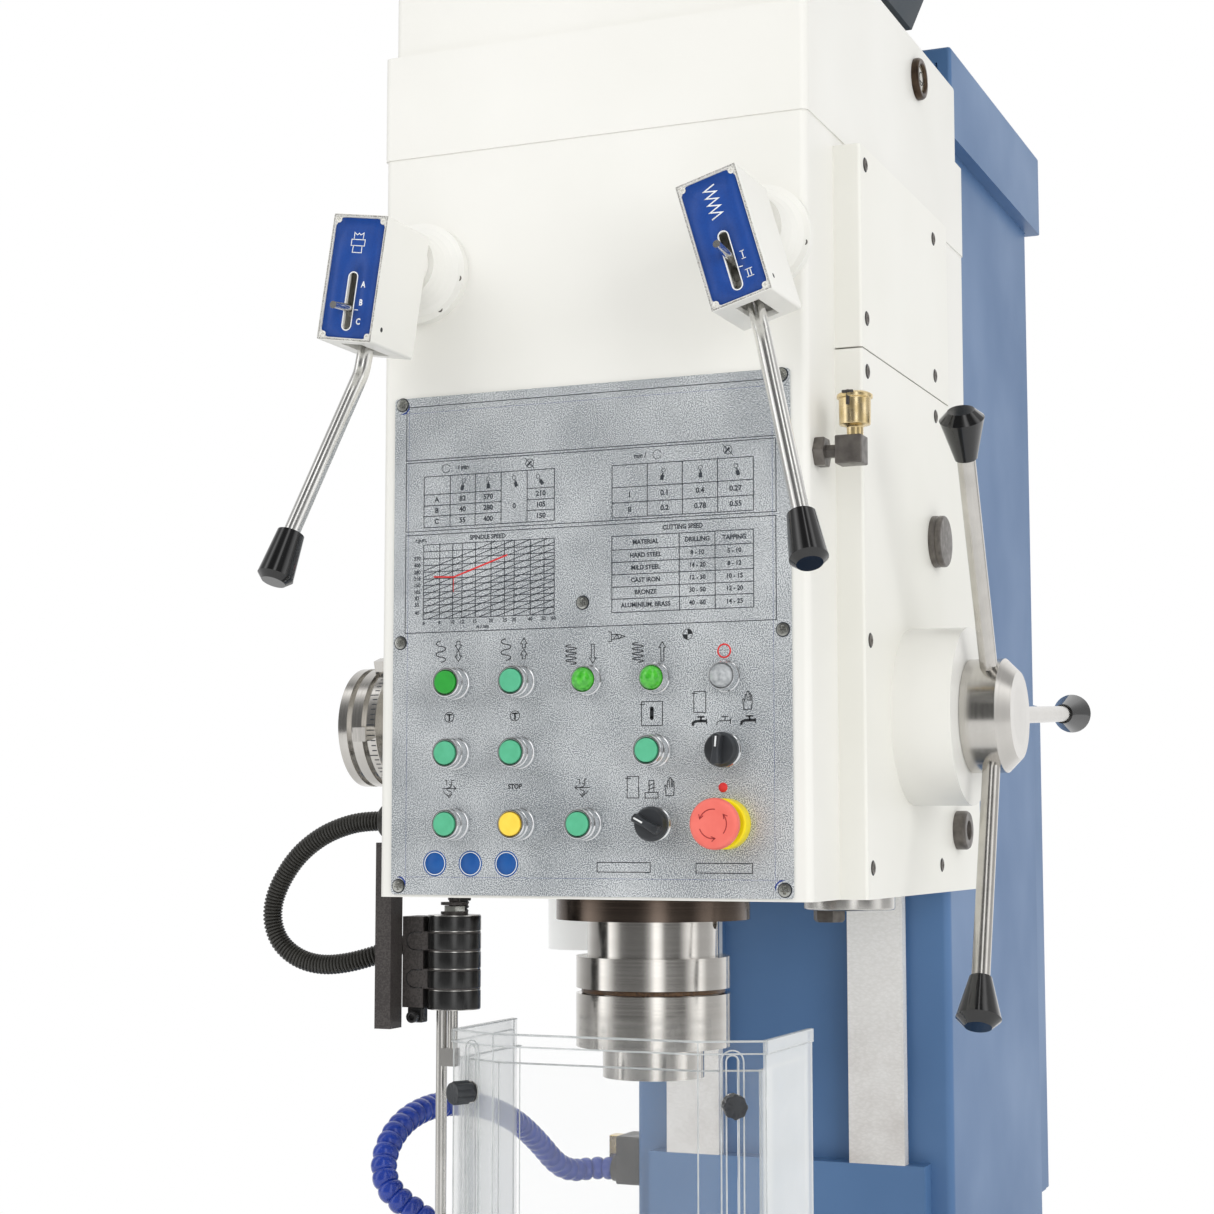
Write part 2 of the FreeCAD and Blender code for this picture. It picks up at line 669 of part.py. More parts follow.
def make_elevating_screw():
    """The fixed screw that the table bracket climbs, with its bearing block."""
    foot_clear = COLUMN_FRONT - SCREW_Y - OVERRUN
    foot = bar_z(0, SCREW_Y, min(SCREW_FOOT_R, foot_clear), BASE_HEIGHT, BASE_HEIGHT + SCREW_FOOT_THICK)
    screw = bar_z(0, SCREW_Y, SCREW_R, BASE_HEIGHT, BLOCK_BOTTOM)
    bearing = box(-SCREW_BEARING_HALF, SCREW_BEARING_HALF, RAIL_Y - SCREW_BEARING_REACH, COLUMN_FRONT,
                  BLOCK_BOTTOM - SCREW_BEARING_HEIGHT, BLOCK_BOTTOM)
    save("elevating_screw", join([foot, screw, bearing]))


# Table bracket, table and crank

BRACKET_BOTTOM_DROP = 210.0
BRACKET_HALF_WIDTH = 165.0
BRACKET_FRONT = 30.0
BRACKET_TOP_THICK = 30.0
BRACKET_TOP_HALF_WIDTH = 190.0
BRACKET_REACH = 430.0
BRACKET_RIB_THICK = 25.0
BRACKET_RIB_X = 108.0
NUT_LUG_HALF = 42.0
NUT_LUG_GAP = 3.0
TABLE_BOTTOM = TABLE_TOP - TABLE_THICK
BRACKET_BOTTOM = TABLE_BOTTOM - BRACKET_BOTTOM_DROP
TABLE_SLOT_PITCH = 150.0
TABLE_EDGE_R = 12.0
TABLE_CHANNEL_EDGE = 14.0
CRANK_Y = -45.0
CRANK_DROP = 120.0
CRANK_Z = TABLE_BOTTOM - CRANK_DROP
CRANK_BOSS_R = 30.0
CRANK_BOSS_END = 222.0
CRANK_SHAFT_R = 11.0
CRANK_HUB_R = 20.0
CRANK_HUB_LENGTH = 24.0
CRANK_ARM = 90.0
CRANK_ARM_THICK = 12.0
CRANK_ARM_HALF = 11.0
CRANK_GRIP_R = 13.0
CRANK_GRIP_LENGTH = 92.0
GRIP_NECK_SHARE = 0.7
GRIP_SWELL_SHARE = 0.7
GRIP_END_SHARE = 0.8
CLAMP_R = 9.0
CLAMP_LENGTH = 26.0
CLAMP_RISE = 27.0


def make_table():
    """The bracket that slides on the lower ways, the table and the crank."""
    half = BRACKET_HALF_WIDTH
    back = box(-half, half, BRACKET_FRONT, HEAD_REAR, BRACKET_BOTTOM, TABLE_BOTTOM)
    top = box(-BRACKET_TOP_HALF_WIDTH, BRACKET_TOP_HALF_WIDTH, -BRACKET_REACH, HEAD_REAR,
              TABLE_BOTTOM - BRACKET_TOP_THICK, TABLE_BOTTOM)
    ribs = []
    for x0 in (BRACKET_RIB_X, -BRACKET_RIB_X - BRACKET_RIB_THICK):
        under = TABLE_BOTTOM - BRACKET_TOP_THICK
        outline = [V(x0, BRACKET_FRONT + OVERRUN, BRACKET_BOTTOM),
                   V(x0, BRACKET_FRONT + OVERRUN, under + OVERRUN),
                   V(x0, -BRACKET_REACH + BRACKET_TOP_THICK, under + OVERRUN),
                   V(x0, -BRACKET_REACH + BRACKET_TOP_THICK, under - BRACKET_TOP_THICK)]
        ribs.append(prism(outline, V(BRACKET_RIB_THICK, 0, 0)))
    lug = box(-NUT_LUG_HALF, NUT_LUG_HALF, BRACKET_FRONT + OVERRUN, COLUMN_FRONT - NUT_LUG_GAP,
              BRACKET_BOTTOM, TABLE_BOTTOM)
    boss = bar_x(CRANK_Y, CRANK_Z, CRANK_BOSS_R, BRACKET_RIB_X, CRANK_BOSS_END)
    link = box(BRACKET_RIB_X, BRACKET_RIB_X + BRACKET_RIB_THICK, CRANK_Y - CRANK_BOSS_R,
               BRACKET_FRONT + OVERRUN, CRANK_Z - CRANK_BOSS_R, TABLE_BOTTOM - BRACKET_TOP_THICK + OVERRUN)
    clamp = bar_x((BRACKET_FRONT + HEAD_REAR) / 2, BRACKET_BOTTOM + CLAMP_RISE, CLAMP_R, half - OVERRUN,
                  half + CLAMP_LENGTH)
    shoes = guide_shoes(BRACKET_BOTTOM, TABLE_BOTTOM - BRACKET_TOP_THICK)
    body = join([back, top, lug, boss, link, clamp] + ribs + shoes)
    tunnel = bar_z(0, SCREW_Y, SCREW_R + TURN_GAP, BRACKET_BOTTOM - OVERRUN, TABLE_BOTTOM + OVERRUN)
    bore = bar_x(CRANK_Y, CRANK_Z, CRANK_SHAFT_R + TURN_GAP, BRACKET_RIB_X - OVERRUN,
                 CRANK_BOSS_END + OVERRUN)
    save("table_bracket", less(body, [tunnel, bore]))

    half_x = TABLE_WIDTH / 2
    y0 = SPINDLE_Y - TABLE_DEPTH / 2
    y1 = SPINDLE_Y + TABLE_DEPTH / 2
    table = rounded_box(-half_x, half_x, y0, y1, TABLE_BOTTOM, TABLE_TOP, TABLE_EDGE_R, V(0, 0, 1))
    slots = []
    for count in (-1, 0, 1):
        slot_y = SPINDLE_Y + count * TABLE_SLOT_PITCH
        slots.append(t_slot_x(slot_y, -half_x - OVERRUN, half_x + OVERRUN, TABLE_TOP))
    slots.append(channel_frame(half_x - TABLE_CHANNEL_EDGE, y0 + TABLE_CHANNEL_EDGE,
                               y1 - TABLE_CHANNEL_EDGE, TABLE_TOP))
    save("table", less(table, slots))

    hub_x = CRANK_BOSS_END + TURN_GAP
    shaft = bar_x(CRANK_Y, CRANK_Z, CRANK_SHAFT_R, BRACKET_RIB_X - CRANK_SHAFT_R, hub_x + CRANK_HUB_LENGTH)
    hub = bar_x(CRANK_Y, CRANK_Z, CRANK_HUB_R, hub_x, hub_x + CRANK_HUB_LENGTH)
    arm_x = hub_x + CRANK_HUB_LENGTH - CRANK_ARM_THICK
    arm = box(arm_x, arm_x + CRANK_ARM_THICK, CRANK_Y - CRANK_ARM_HALF, CRANK_Y + CRANK_ARM_HALF,
              CRANK_Z - CRANK_ARM, CRANK_Z)
    end = bar_x(CRANK_Y, CRANK_Z - CRANK_ARM, CRANK_ARM_HALF, arm_x, arm_x + CRANK_ARM_THICK)
    grip_x = arm_x + CRANK_ARM_THICK
    grip = turned([(0, 0), (CRANK_GRIP_R * GRIP_NECK_SHARE, 0),
                   (CRANK_GRIP_R, CRANK_GRIP_LENGTH * GRIP_SWELL_SHARE),
                   (CRANK_GRIP_R * GRIP_END_SHARE, CRANK_GRIP_LENGTH), (0, CRANK_GRIP_LENGTH)],
                  V(grip_x, CRANK_Y, CRANK_Z - CRANK_ARM), V(1, 0, 0))
    save("table_crank", join([shaft, hub, arm, end]), grip)


# Head casting with the quill bore, the gear room and the guide shoes

HEAD_WALL = 14.0
HEAD_EDGE_R = 7.0
HEAD_FLOOR = 25.0
GEAR_ROOM_FLOOR = 1700.0
PARTITION = 16.0
QUILL_R = 60.65
QUILL_SLEEVE_WALL = 26.0
SHAFT_Y = -194.0
SHAFT_Z = 1613.0
SHAFT_R = 15.0
PINION_MODULE = 3.0
PINION_TEETH = 18
PINION_WIDTH = 32.0
PINION_WINDOW_GAP = 4.0
LEVER_X = 163.0
LEVER_Z = 2013.0
LEVER_SHAFT_R = 12.0
SHAFT_BOSS_R = 30.0


def make_head():
    """The head casting, whose cheeks reach back beside the ways and hook behind them."""
    outer = rounded_box(-HEAD_SIDE, HEAD_SIDE, HEAD_FRONT, SHOE_BACK, HEAD_BOTTOM, CASTING_TOP,
                        HEAD_EDGE_R, V(0, 0, 1))
    outer = outer.cut(way_pocket(HEAD_REAR, HEAD_BOTTOM, CASTING_TOP))
    inner_x = HEAD_SIDE - HEAD_WALL
    front = HEAD_FRONT + HEAD_WALL
    rear = HEAD_REAR - HEAD_WALL
    gear_room = box(-inner_x, inner_x, front, rear, GEAR_ROOM_FLOOR + PARTITION, CASTING_TOP + OVERRUN)
    low_room = box(-inner_x, inner_x, front, rear, HEAD_BOTTOM + HEAD_FLOOR, GEAR_ROOM_FLOOR)
    sleeve = bar_z(0, SPINDLE_Y, QUILL_R + QUILL_SLEEVE_WALL, HEAD_BOTTOM, GEAR_ROOM_FLOOR + PARTITION)
    side_boss = bar_x(SHAFT_Y, SHAFT_Z, SHAFT_BOSS_R, inner_x - HEAD_WALL, HEAD_SIDE)
    web_front = SPINDLE_Y + QUILL_R + QUILL_SLEEVE_WALL / 2
    web = box(-HEAD_WALL / 2, HEAD_WALL / 2, web_front, rear + OVERRUN, HEAD_BOTTOM + HEAD_WALL,
              GEAR_ROOM_FLOOR + OVERRUN)
    shell = outer.cut(low_room).cut(gear_room)
    shoes = guide_shoes(HEAD_BOTTOM, CASTING_TOP)
    body = join([shell, sleeve, web, side_boss, mirrored_x(side_boss)] + shoes)
    reach = PINION_MODULE * (PINION_TEETH / 2 + 1) + PINION_WINDOW_GAP
    half = PINION_WIDTH / 2 + PINION_WINDOW_GAP
    window = box(-half, half, SHAFT_Y - reach, SHAFT_Y + reach, SHAFT_Z - reach, SHAFT_Z + reach)
    cuts = [bar_z(0, SPINDLE_Y, QUILL_R + TURN_GAP, HEAD_BOTTOM - OVERRUN,
                  GEAR_ROOM_FLOOR + PARTITION + OVERRUN),
            bar_x(SHAFT_Y, SHAFT_Z, SHAFT_R + TURN_GAP, -HEAD_SIDE - OVERRUN, HEAD_SIDE + OVERRUN), window]
    for side in (-1, 1):
        bore_r = LEVER_SHAFT_R + TURN_GAP
        cuts.append(bar_y(side * LEVER_X, LEVER_Z, bore_r, HEAD_FRONT - OVERRUN, front + OVERRUN))
    save("head_casting", less(body, cuts))


# Gear case and drive case above the casting, and the motor on top

CASE_WALL = 12.0
CASE_LIP = 1.3
CASE_BACK = 2.5
DRIVE_INSET = 6.0
DRIVE_EDGE_R = 6.0
MOTOR_Y = -30.0
MOTOR_R = 118.0
MOTOR_FLANGE_R = 132.0
MOTOR_FLANGE_THICK = 18.0
MOTOR_HEIGHT = 250.0
MOTOR_FIN_DEPTH = 10.0
MOTOR_FIN_THICK = 4.0
MOTOR_FINS = 36
FAN_COWL_HEIGHT = 70.0
FAN_COWL_R = 122.0
TERMINAL_LOW_X = 179.0
TERMINAL_HIGH_X = 194.0
TERMINAL_RISE = 34.0
TERMINAL_DROP = 40.0
TERMINAL_HEIGHT = 120.0
TERMINAL_FRONT = -90.0
TERMINAL_BACK = 15.0
ROTOR_SHAFT_R = 19.0


def make_cases():
    """The two cases on top of the casting."""
    side = HEAD_SIDE + CASE_LIP
    front = HEAD_FRONT - CASE_LIP
    rear = HEAD_REAR - CASE_BACK
    outer = rounded_box(-side, side, front, SHOE_BACK, CASTING_TOP, GEAR_CASE_TOP, HEAD_EDGE_R, V(0, 0, 1))
    outer = outer.cut(way_pocket(rear, CASTING_TOP, GEAR_CASE_TOP))
    room = box(-side + CASE_WALL, side - CASE_WALL, front + CASE_WALL, rear - CASE_WALL,
               CASTING_TOP - OVERRUN, GEAR_CASE_TOP - CASE_WALL)
    shaft_hole = bar_z(0, MOTOR_Y, ROTOR_SHAFT_R + OVERRUN, CASTING_TOP, GEAR_CASE_TOP + OVERRUN)
    save("gear_case", less(outer, [room, shaft_hole]))

    left = -HEAD_SIDE + DRIVE_INSET
    front = HEAD_FRONT + DRIVE_INSET
    outer = rounded_box(left, side, front, rear, GEAR_CASE_TOP, DRIVE_CASE_TOP, HEAD_EDGE_R, V(0, 0, 1))
    rim = [edge for edge in outer.Edges if edge.BoundBox.ZMin > DRIVE_CASE_TOP - DRIVE_EDGE_R]
    outer = outer.makeFillet(DRIVE_EDGE_R, rim)
    room = box(left + CASE_WALL, side - CASE_WALL, front + CASE_WALL, rear - CASE_WALL,
               GEAR_CASE_TOP - OVERRUN, DRIVE_CASE_TOP - CASE_WALL)
    shaft_hole = bar_z(0, MOTOR_Y, ROTOR_SHAFT_R + OVERRUN, GEAR_CASE_TOP, DRIVE_CASE_TOP + OVERRUN)
    save("drive_case", less(outer, [room, shaft_hole]))


def make_motor():
    """The upright motor with its fan cowl and terminal box."""
    low = DRIVE_CASE_TOP + MOTOR_FLANGE_THICK
    top = low + MOTOR_HEIGHT
    core_r = MOTOR_R - MOTOR_FIN_DEPTH
    solids = [bar_z(0, MOTOR_Y, MOTOR_FLANGE_R, DRIVE_CASE_TOP, low), bar_z(0, MOTOR_Y, core_r, low, top)]
    for fin in range(MOTOR_FINS):
        blade = box(0, MOTOR_R, MOTOR_Y - MOTOR_FIN_THICK / 2, MOTOR_Y + MOTOR_FIN_THICK / 2, low, top)
        solids.append(rotated(blade, V(0, MOTOR_Y, 0), V(0, 0, 1), 360 * fin / MOTOR_FINS))
    body = join(solids)
    shaft_hole = bar_z(0, MOTOR_Y, ROTOR_SHAFT_R + OVERRUN, DRIVE_CASE_TOP - OVERRUN,
                       low + MOTOR_FLANGE_THICK)
    cowl = bar_z(0, MOTOR_Y, FAN_COWL_R, top, top + FAN_COWL_HEIGHT)
    cowl = cowl.makeFillet(DRIVE_EDGE_R, [e for e in cowl.Edges if e.BoundBox.ZMin > top + OVERRUN])
    box_z = DRIVE_CASE_TOP + TERMINAL_DROP
    reach = MOTOR_R - MOTOR_FIN_DEPTH / 2
    outline = [V(0, TERMINAL_FRONT, box_z), V(TERMINAL_LOW_X, TERMINAL_FRONT, box_z),
               V(TERMINAL_HIGH_X, TERMINAL_FRONT, box_z + TERMINAL_RISE),
               V(TERMINAL_HIGH_X, TERMINAL_FRONT, box_z + TERMINAL_HEIGHT),
               V(0, TERMINAL_FRONT, box_z + TERMINAL_HEIGHT)]
    terminal = prism(outline, V(0, TERMINAL_BACK - TERMINAL_FRONT, 0))
    terminal = terminal.cut(bar_z(0, MOTOR_Y, reach, box_z - OVERRUN, box_z + TERMINAL_HEIGHT + OVERRUN))
    body = body.cut(shaft_hole).cut(terminal)
    save("motor", body, cowl, terminal)


# Covers and fittings on the right side of the head

COVER_PROUD = 25.1
COVER_SETBACK = 77.0
COVER_FRONT = HEAD_FRONT + COVER_SETBACK
UPPER_COVER_BACK = -45.0
LOWER_COVER_BACK = 60.0
COVER_TOP_DROP = 11.2
LOWER_COVER_HEIGHT = 479.0
COVER_TOP = CASTING_TOP - COVER_TOP_DROP
COVER_SEAM = HEAD_BOTTOM + LOWER_COVER_HEIGHT
COVER_SEAM_GAP = 1.5
COVER_EDGE_R = 3.0
BOSS_R = 81.5
BOSS_LENGTH = 54.0
COVER_FACE = HEAD_SIDE + COVER_PROUD
SCREW_HEAD_R = 5.5
SCREW_HEAD_HEIGHT = 1.6


def make_side_covers():
    """The upper and lower covers on the right of the casting."""
    low = box(HEAD_SIDE, COVER_FACE, COVER_FRONT, LOWER_COVER_BACK, HEAD_BOTTOM, COVER_SEAM)
    high = box(HEAD_SIDE, COVER_FACE, COVER_FRONT, UPPER_COVER_BACK, COVER_SEAM + COVER_SEAM_GAP,
               COVER_TOP)
    covers = []
    for cover in (low, high):
        upright = edges_along(cover, V(0, 0, 1))
        outer_edges = [edge for edge in upright if edge.BoundBox.XMin > HEAD_SIDE + OVERRUN]
        covers.append(cover.makeFillet(COVER_EDGE_R, outer_edges))
    bore = bar_x(SHAFT_Y, SHAFT_Z, SHAFT_R + TURN_GAP, HEAD_SIDE - OVERRUN, COVER_FACE + OVERRUN)
    covers[0] = covers[0].cut(bore)
    save("side_covers", *covers)


LEVER_BOSS_R = 46.0
LEVER_NECK_R = 30.0
LEVER_BOSS_RIM = 9.0
LEVER_BOSS_LENGTH = 38.0
DIAL_BOSS_R = 42.0
DIAL_BOSS_LENGTH = 60.0


def make_shaft_bosses():
    """The round bosses that carry the capstan, the dial and the two lever boxes."""
    bore = SHAFT_R + TURN_GAP
    right = turned([(bore, 0), (BOSS_R, 0), (BOSS_R, BOSS_LENGTH), (bore, BOSS_LENGTH)],
                   V(COVER_FACE, SHAFT_Y, SHAFT_Z), V(1, 0, 0))
    left = turned([(bore, 0), (DIAL_BOSS_R, 0), (DIAL_BOSS_R, DIAL_BOSS_LENGTH), (bore, DIAL_BOSS_LENGTH)],
                  V(-HEAD_SIDE, SHAFT_Y, SHAFT_Z), V(-1, 0, 0))
    solids = [right, left]
    profile = [(LEVER_SHAFT_R + TURN_GAP, 0), (LEVER_BOSS_R, 0), (LEVER_BOSS_R, LEVER_BOSS_RIM)]
    steps = 5
    for step in range(1, steps + 1):
        angle = math.pi / 2 * step / steps
        r = LEVER_BOSS_R - (LEVER_BOSS_R - LEVER_NECK_R) * math.sin(angle)
        h = LEVER_BOSS_RIM + (LEVER_BOSS_LENGTH - LEVER_BOSS_RIM) * (1 - math.cos(angle))
        profile.append((r, h))
    profile.append((LEVER_SHAFT_R + TURN_GAP, LEVER_BOSS_LENGTH))
    for side in (-1, 1):
        solids.append(turned(profile, V(side * LEVER_X, HEAD_FRONT, LEVER_Z), V(0, -1, 0)))
    save("shaft_bosses", *solids)


SIGHT_Y = -65.0
SIGHT_R = 21.0
SIGHT_GLASS_R = 15.0
SIGHT_PROUD = 7.0
SIGHT_RIM = 3.0
PLUG_Y = -112.0
PLUG_Z = 1786.0
PLUG_R = 25.0
PLUG_LENGTH = 12.0
LOW_PLUG_Y = -38.0
LOW_PLUG_Z = 1509.0
LOW_PLUG_R = 19.0
FLANGE_X = 124.0
FLANGE_Y = -61.0
FLANGE_R = 45.0
FLANGE_THICK = 19.0
FLANGE_PLUG_R = 16.0
FLANGE_PLUG_THICK = 12.0


def make_side_fittings():
    """The sight glass, the two plugs and the small flange below the head."""
    sight_z = (GEAR_CASE_TOP + DRIVE_CASE_TOP) / 2
    sight_x = HEAD_SIDE + CASE_LIP
    rim = turned([(SIGHT_GLASS_R, 0), (SIGHT_R, 0), (SIGHT_R, SIGHT_PROUD - SIGHT_RIM),
                  (SIGHT_R - SIGHT_RIM, SIGHT_PROUD), (SIGHT_GLASS_R, SIGHT_PROUD)],
                 V(sight_x, SIGHT_Y, sight_z), V(1, 0, 0))
    glass = bar_x(SIGHT_Y, sight_z, SIGHT_GLASS_R, sight_x, sight_x + SIGHT_PROUD - SIGHT_RIM)
    plug = bar_x(PLUG_Y, PLUG_Z, PLUG_R, COVER_FACE, COVER_FACE + PLUG_LENGTH)
    low_plug = bar_x(LOW_PLUG_Y, LOW_PLUG_Z, LOW_PLUG_R, COVER_FACE, COVER_FACE + PLUG_LENGTH)
    low = HEAD_BOTTOM - FLANGE_THICK
    flange = bar_z(FLANGE_X, FLANGE_Y, FLANGE_R, low, HEAD_BOTTOM)
    drop = bar_z(FLANGE_X - FLANGE_PLUG_R, FLANGE_Y - FLANGE_PLUG_R, FLANGE_PLUG_R,
                 low - FLANGE_PLUG_THICK, low)
    save("side_fittings", rim, glass, plug, low_plug, flange, drop)


OIL_Y = -408.0
OIL_NUT_LENGTH = 9.5
OIL_NUT_ACROSS = 24.0
OIL_NECK_R = 6.0
OIL_NECK_LENGTH = 7.0
OIL_BLOCK_X = 27.6
OIL_BLOCK_HALF = 11.0
OIL_BLOCK_HEIGHT = 24.5
OIL_BLOCK_BOTTOM = 1817.0
OIL_STEM_R = 7.0
OIL_STEM_HEIGHT = 8.5
OIL_CUP_R = 13.5
OIL_CUP_HEIGHT = 25.0
OIL_CAP_R = 15.5
OIL_CAP_HEIGHT = 4.0


def make_oil_cup():
    """The brass oil cup on its dark elbow."""
    z = OIL_BLOCK_BOTTOM + OIL_BLOCK_HEIGHT / 2
    nut = hexagon(V(HEAD_SIDE, OIL_Y, z), OIL_NUT_ACROSS, V(1, 0, 0), OIL_NUT_LENGTH)
    neck_x = HEAD_SIDE + OIL_NUT_LENGTH
    neck = bar_x(OIL_Y, z, OIL_NECK_R, neck_x, neck_x + OIL_NECK_LENGTH)
    block_x = neck_x + OIL_NECK_LENGTH
    block_top = OIL_BLOCK_BOTTOM + OIL_BLOCK_HEIGHT
    block = box(block_x, block_x + OIL_BLOCK_X, OIL_Y - OIL_BLOCK_HALF, OIL_Y + OIL_BLOCK_HALF,
                OIL_BLOCK_BOTTOM, block_top)
    cup_x = block_x + OIL_BLOCK_X - OIL_CUP_R + OIL_STEM_R / 2
    cup_z = block_top + OIL_STEM_HEIGHT
    stem = bar_z(cup_x, OIL_Y, OIL_STEM_R, block_top, cup_z)
    cup = bar_z(cup_x, OIL_Y, OIL_CUP_R, cup_z, cup_z + OIL_CUP_HEIGHT)
    cap_z = cup_z + OIL_CUP_HEIGHT
    cap = bar_z(cup_x, OIL_Y, OIL_CAP_R, cap_z, cap_z + OIL_CAP_HEIGHT)
    save("oil_cup", join([nut, neck, block]), join([stem, cup]), cap)


# Control plate, bezels and lamps on the front

PLATE_LEFT = -189.3
PLATE_WIDTH = 376.5
PLATE_THICK = 2.0
PLATE_BOTTOM = 1452.5
PLATE_HEIGHT = 447.0
PLATE_FACE = HEAD_FRONT - PLATE_THICK
CONTROL_X = -124.7
CONTROL_PITCH_X = 63.4
CONTROL_Z = 1638.8
CONTROL_PITCH_Z = 62.1
BEZEL_R = 14.6
BEZEL_FACE_R = 13.2
BEZEL_BORE_R = 11.0
BEZEL_LENGTH = 24.0
BEZEL_LIP = 3.0
LAMP_BEZEL_LENGTH = 13.0
LAMP_R = 11.0
LAMP_DOME = 8.0
LAMP_NECK_R = 9.0
LAMP_DOME_SHARES = ((1.0, 0.0), (0.92, 0.4), (0.6, 0.85), (0.0, 1.0))
SELECTOR_BEZEL_LENGTH = 10.0
STOP_BEZEL_R = 21.5
STOP_BEZEL_THICK = 14.0
STOP_COLLAR_R = 15.0
STOP_COLLAR_LENGTH = 5.0
CAP_R = 10.3
CAP_PROUD = 2.0
CAP_STEM_R = 5.0
CAP_THICK = 8.0
CAP_TRAVEL = 4.0
BUTTON_PLACES = {"button_feed_down": (0, 0), "button_feed_up": (1, 0), "button_tap_left": (0, 1),
                 "button_tap_right": (1, 1), "button_magnet": (3, 1), "button_spindle_left": (0, 2),
                 "button_stop": (1, 2), "button_spindle_right": (2, 2)}
LAMP_PLACES = [(2, 0), (3, 0), (4, 0)]
SELECTOR_PLACES = {"selector_coolant": (4, 1, 5.0), "selector_mode": (3, 2, -62.0)}
STOP_PLACE = (4, 2)


def control_at(column, row):
    """The X and Z of a place in the grid of controls."""
    return CONTROL_X + column * CONTROL_PITCH_X, CONTROL_Z - row * CONTROL_PITCH_Z


def bezel(x, z, length, bore):
    """A turned bezel with a narrow lip at its front."""
    profile = [(bore, 0), (BEZEL_R, 0), (BEZEL_R, length - BEZEL_LIP), (BEZEL_FACE_R, length), (bore, length)]
    return turned(profile, V(x, PLATE_FACE, z), V(0, -1, 0))


def make_panel():
    """The control plate, the bezels and the lamp lenses."""
    plate = rounded_box(PLATE_LEFT, PLATE_LEFT + PLATE_WIDTH, PLATE_FACE, HEAD_FRONT,
                        PLATE_BOTTOM, PLATE_BOTTOM + PLATE_HEIGHT, BEZEL_LIP, V(0, 1, 0))
    save("control_plate", plate)
    bezels = []
    for column, row in BUTTON_PLACES.values():
        x, z = control_at(column, row)
        bezels.append(bezel(x, z, BEZEL_LENGTH, BEZEL_BORE_R))
    lenses = []
    for column, row in LAMP_PLACES:
        x, z = control_at(column, row)
        bezels.append(bezel(x, z, LAMP_BEZEL_LENGTH, LAMP_NECK_R))
        profile = [(0, 0), (LAMP_NECK_R, 0), (LAMP_NECK_R, LAMP_BEZEL_LENGTH)]
        for reach_share, rise_share in LAMP_DOME_SHARES:
            profile.append((LAMP_R * reach_share, LAMP_BEZEL_LENGTH + LAMP_DOME * rise_share))
        lenses.append(turned(profile, V(x, PLATE_FACE, z), V(0, -1, 0)))
    for column, row, angle in SELECTOR_PLACES.values():
        x, z = control_at(column, row)
        bezels.append(bezel(x, z, SELECTOR_BEZEL_LENGTH, CAP_STEM_R + TURN_GAP))
    x, z = control_at(*STOP_PLACE)
    stop_bore = CAP_STEM_R + TURN_GAP
    bezels.append(ring_y(x, z, STOP_BEZEL_R, stop_bore, PLATE_FACE - STOP_BEZEL_THICK, PLATE_FACE))
    collar_back = PLATE_FACE - STOP_BEZEL_THICK
    bezels.append(ring_y(x, z, STOP_COLLAR_R, stop_bore, collar_back - STOP_COLLAR_LENGTH, collar_back))
    save("button_bezels", *bezels)
    save("pilot_lamps", *lenses)


SELECTOR_R = 15.0
SELECTOR_SKIRT = 9.0
SELECTOR_RIDGE = 10.0
SELECTOR_RIDGE_HALF = 4.0
SELECTOR_TOP_R = 12.9
STOP_TRAVEL = 5.0
STOP_RECESS_R = 17.0
STOP_RECESS_DEPTH = 6.0
STOP_HEAD_R = 22.5
STOP_HEAD_THICK = 16.0
STOP_RIM_R = 21.0
STOP_RIM_HEIGHT = 4.0
STOP_SHOULDER_R = 21.5
STOP_SHOULDER_HEIGHT = 13.0
STOP_CROWN_R = 16.0


def make_controls():
    """The push buttons, the selectors and the emergency stop."""
    for name, (column, row) in BUTTON_PLACES.items():
        x, z = control_at(column, row)
        front = PLATE_FACE - BEZEL_LENGTH - CAP_PROUD
        cap = bar_y(x, z, CAP_R, front, front + CAP_THICK)
        stem_back = PLATE_FACE - CAP_TRAVEL - TURN_GAP
        stem = bar_y(x, z, CAP_STEM_R, front + CAP_THICK - OVERRUN, stem_back)
        save(name, join([cap, stem]))
    for name, (column, row, angle) in SELECTOR_PLACES.items():
        x, z = control_at(column, row)
        back = PLATE_FACE - SELECTOR_BEZEL_LENGTH - TURN_GAP
        skirt = turned([(0, 0), (SELECTOR_R, 0), (SELECTOR_R, SELECTOR_SKIRT / 2),
                        (SELECTOR_TOP_R, SELECTOR_SKIRT), (0, SELECTOR_SKIRT)], V(x, back, z), V(0, -1, 0))
        ridge_front = back - SELECTOR_SKIRT - SELECTOR_RIDGE
        ridge = box(x - SELECTOR_RIDGE_HALF, x + SELECTOR_RIDGE_HALF, ridge_front,
                    back - SELECTOR_SKIRT + OVERRUN, z - SELECTOR_TOP_R, z + SELECTOR_TOP_R)
        ridge = rotated(ridge, V(x, 0, z), V(0, 1, 0), angle)
        stem = bar_y(x, z, CAP_STEM_R, back - OVERRUN, PLATE_FACE - TURN_GAP)
        save(name, join([skirt, ridge, stem]))
    x, z = control_at(*STOP_PLACE)
    back = PLATE_FACE - STOP_BEZEL_THICK - STOP_COLLAR_LENGTH - TURN_GAP
    head = turned([(0, STOP_RECESS_DEPTH), (STOP_RECESS_R, STOP_RECESS_DEPTH), (STOP_RECESS_R, 0),
                   (STOP_RIM_R, 0), (STOP_HEAD_R, STOP_RIM_HEIGHT), (STOP_SHOULDER_R, STOP_SHOULDER_HEIGHT),
                   (STOP_CROWN_R, STOP_HEAD_THICK), (0, STOP_HEAD_THICK)], V(x, back, z), V(0, -1, 0))
    stem = bar_y(x, z, CAP_STEM_R, back - STOP_RECESS_DEPTH - OVERRUN, PLATE_FACE - STOP_TRAVEL - TURN_GAP)
    save("emergency_stop", join([head, stem]))


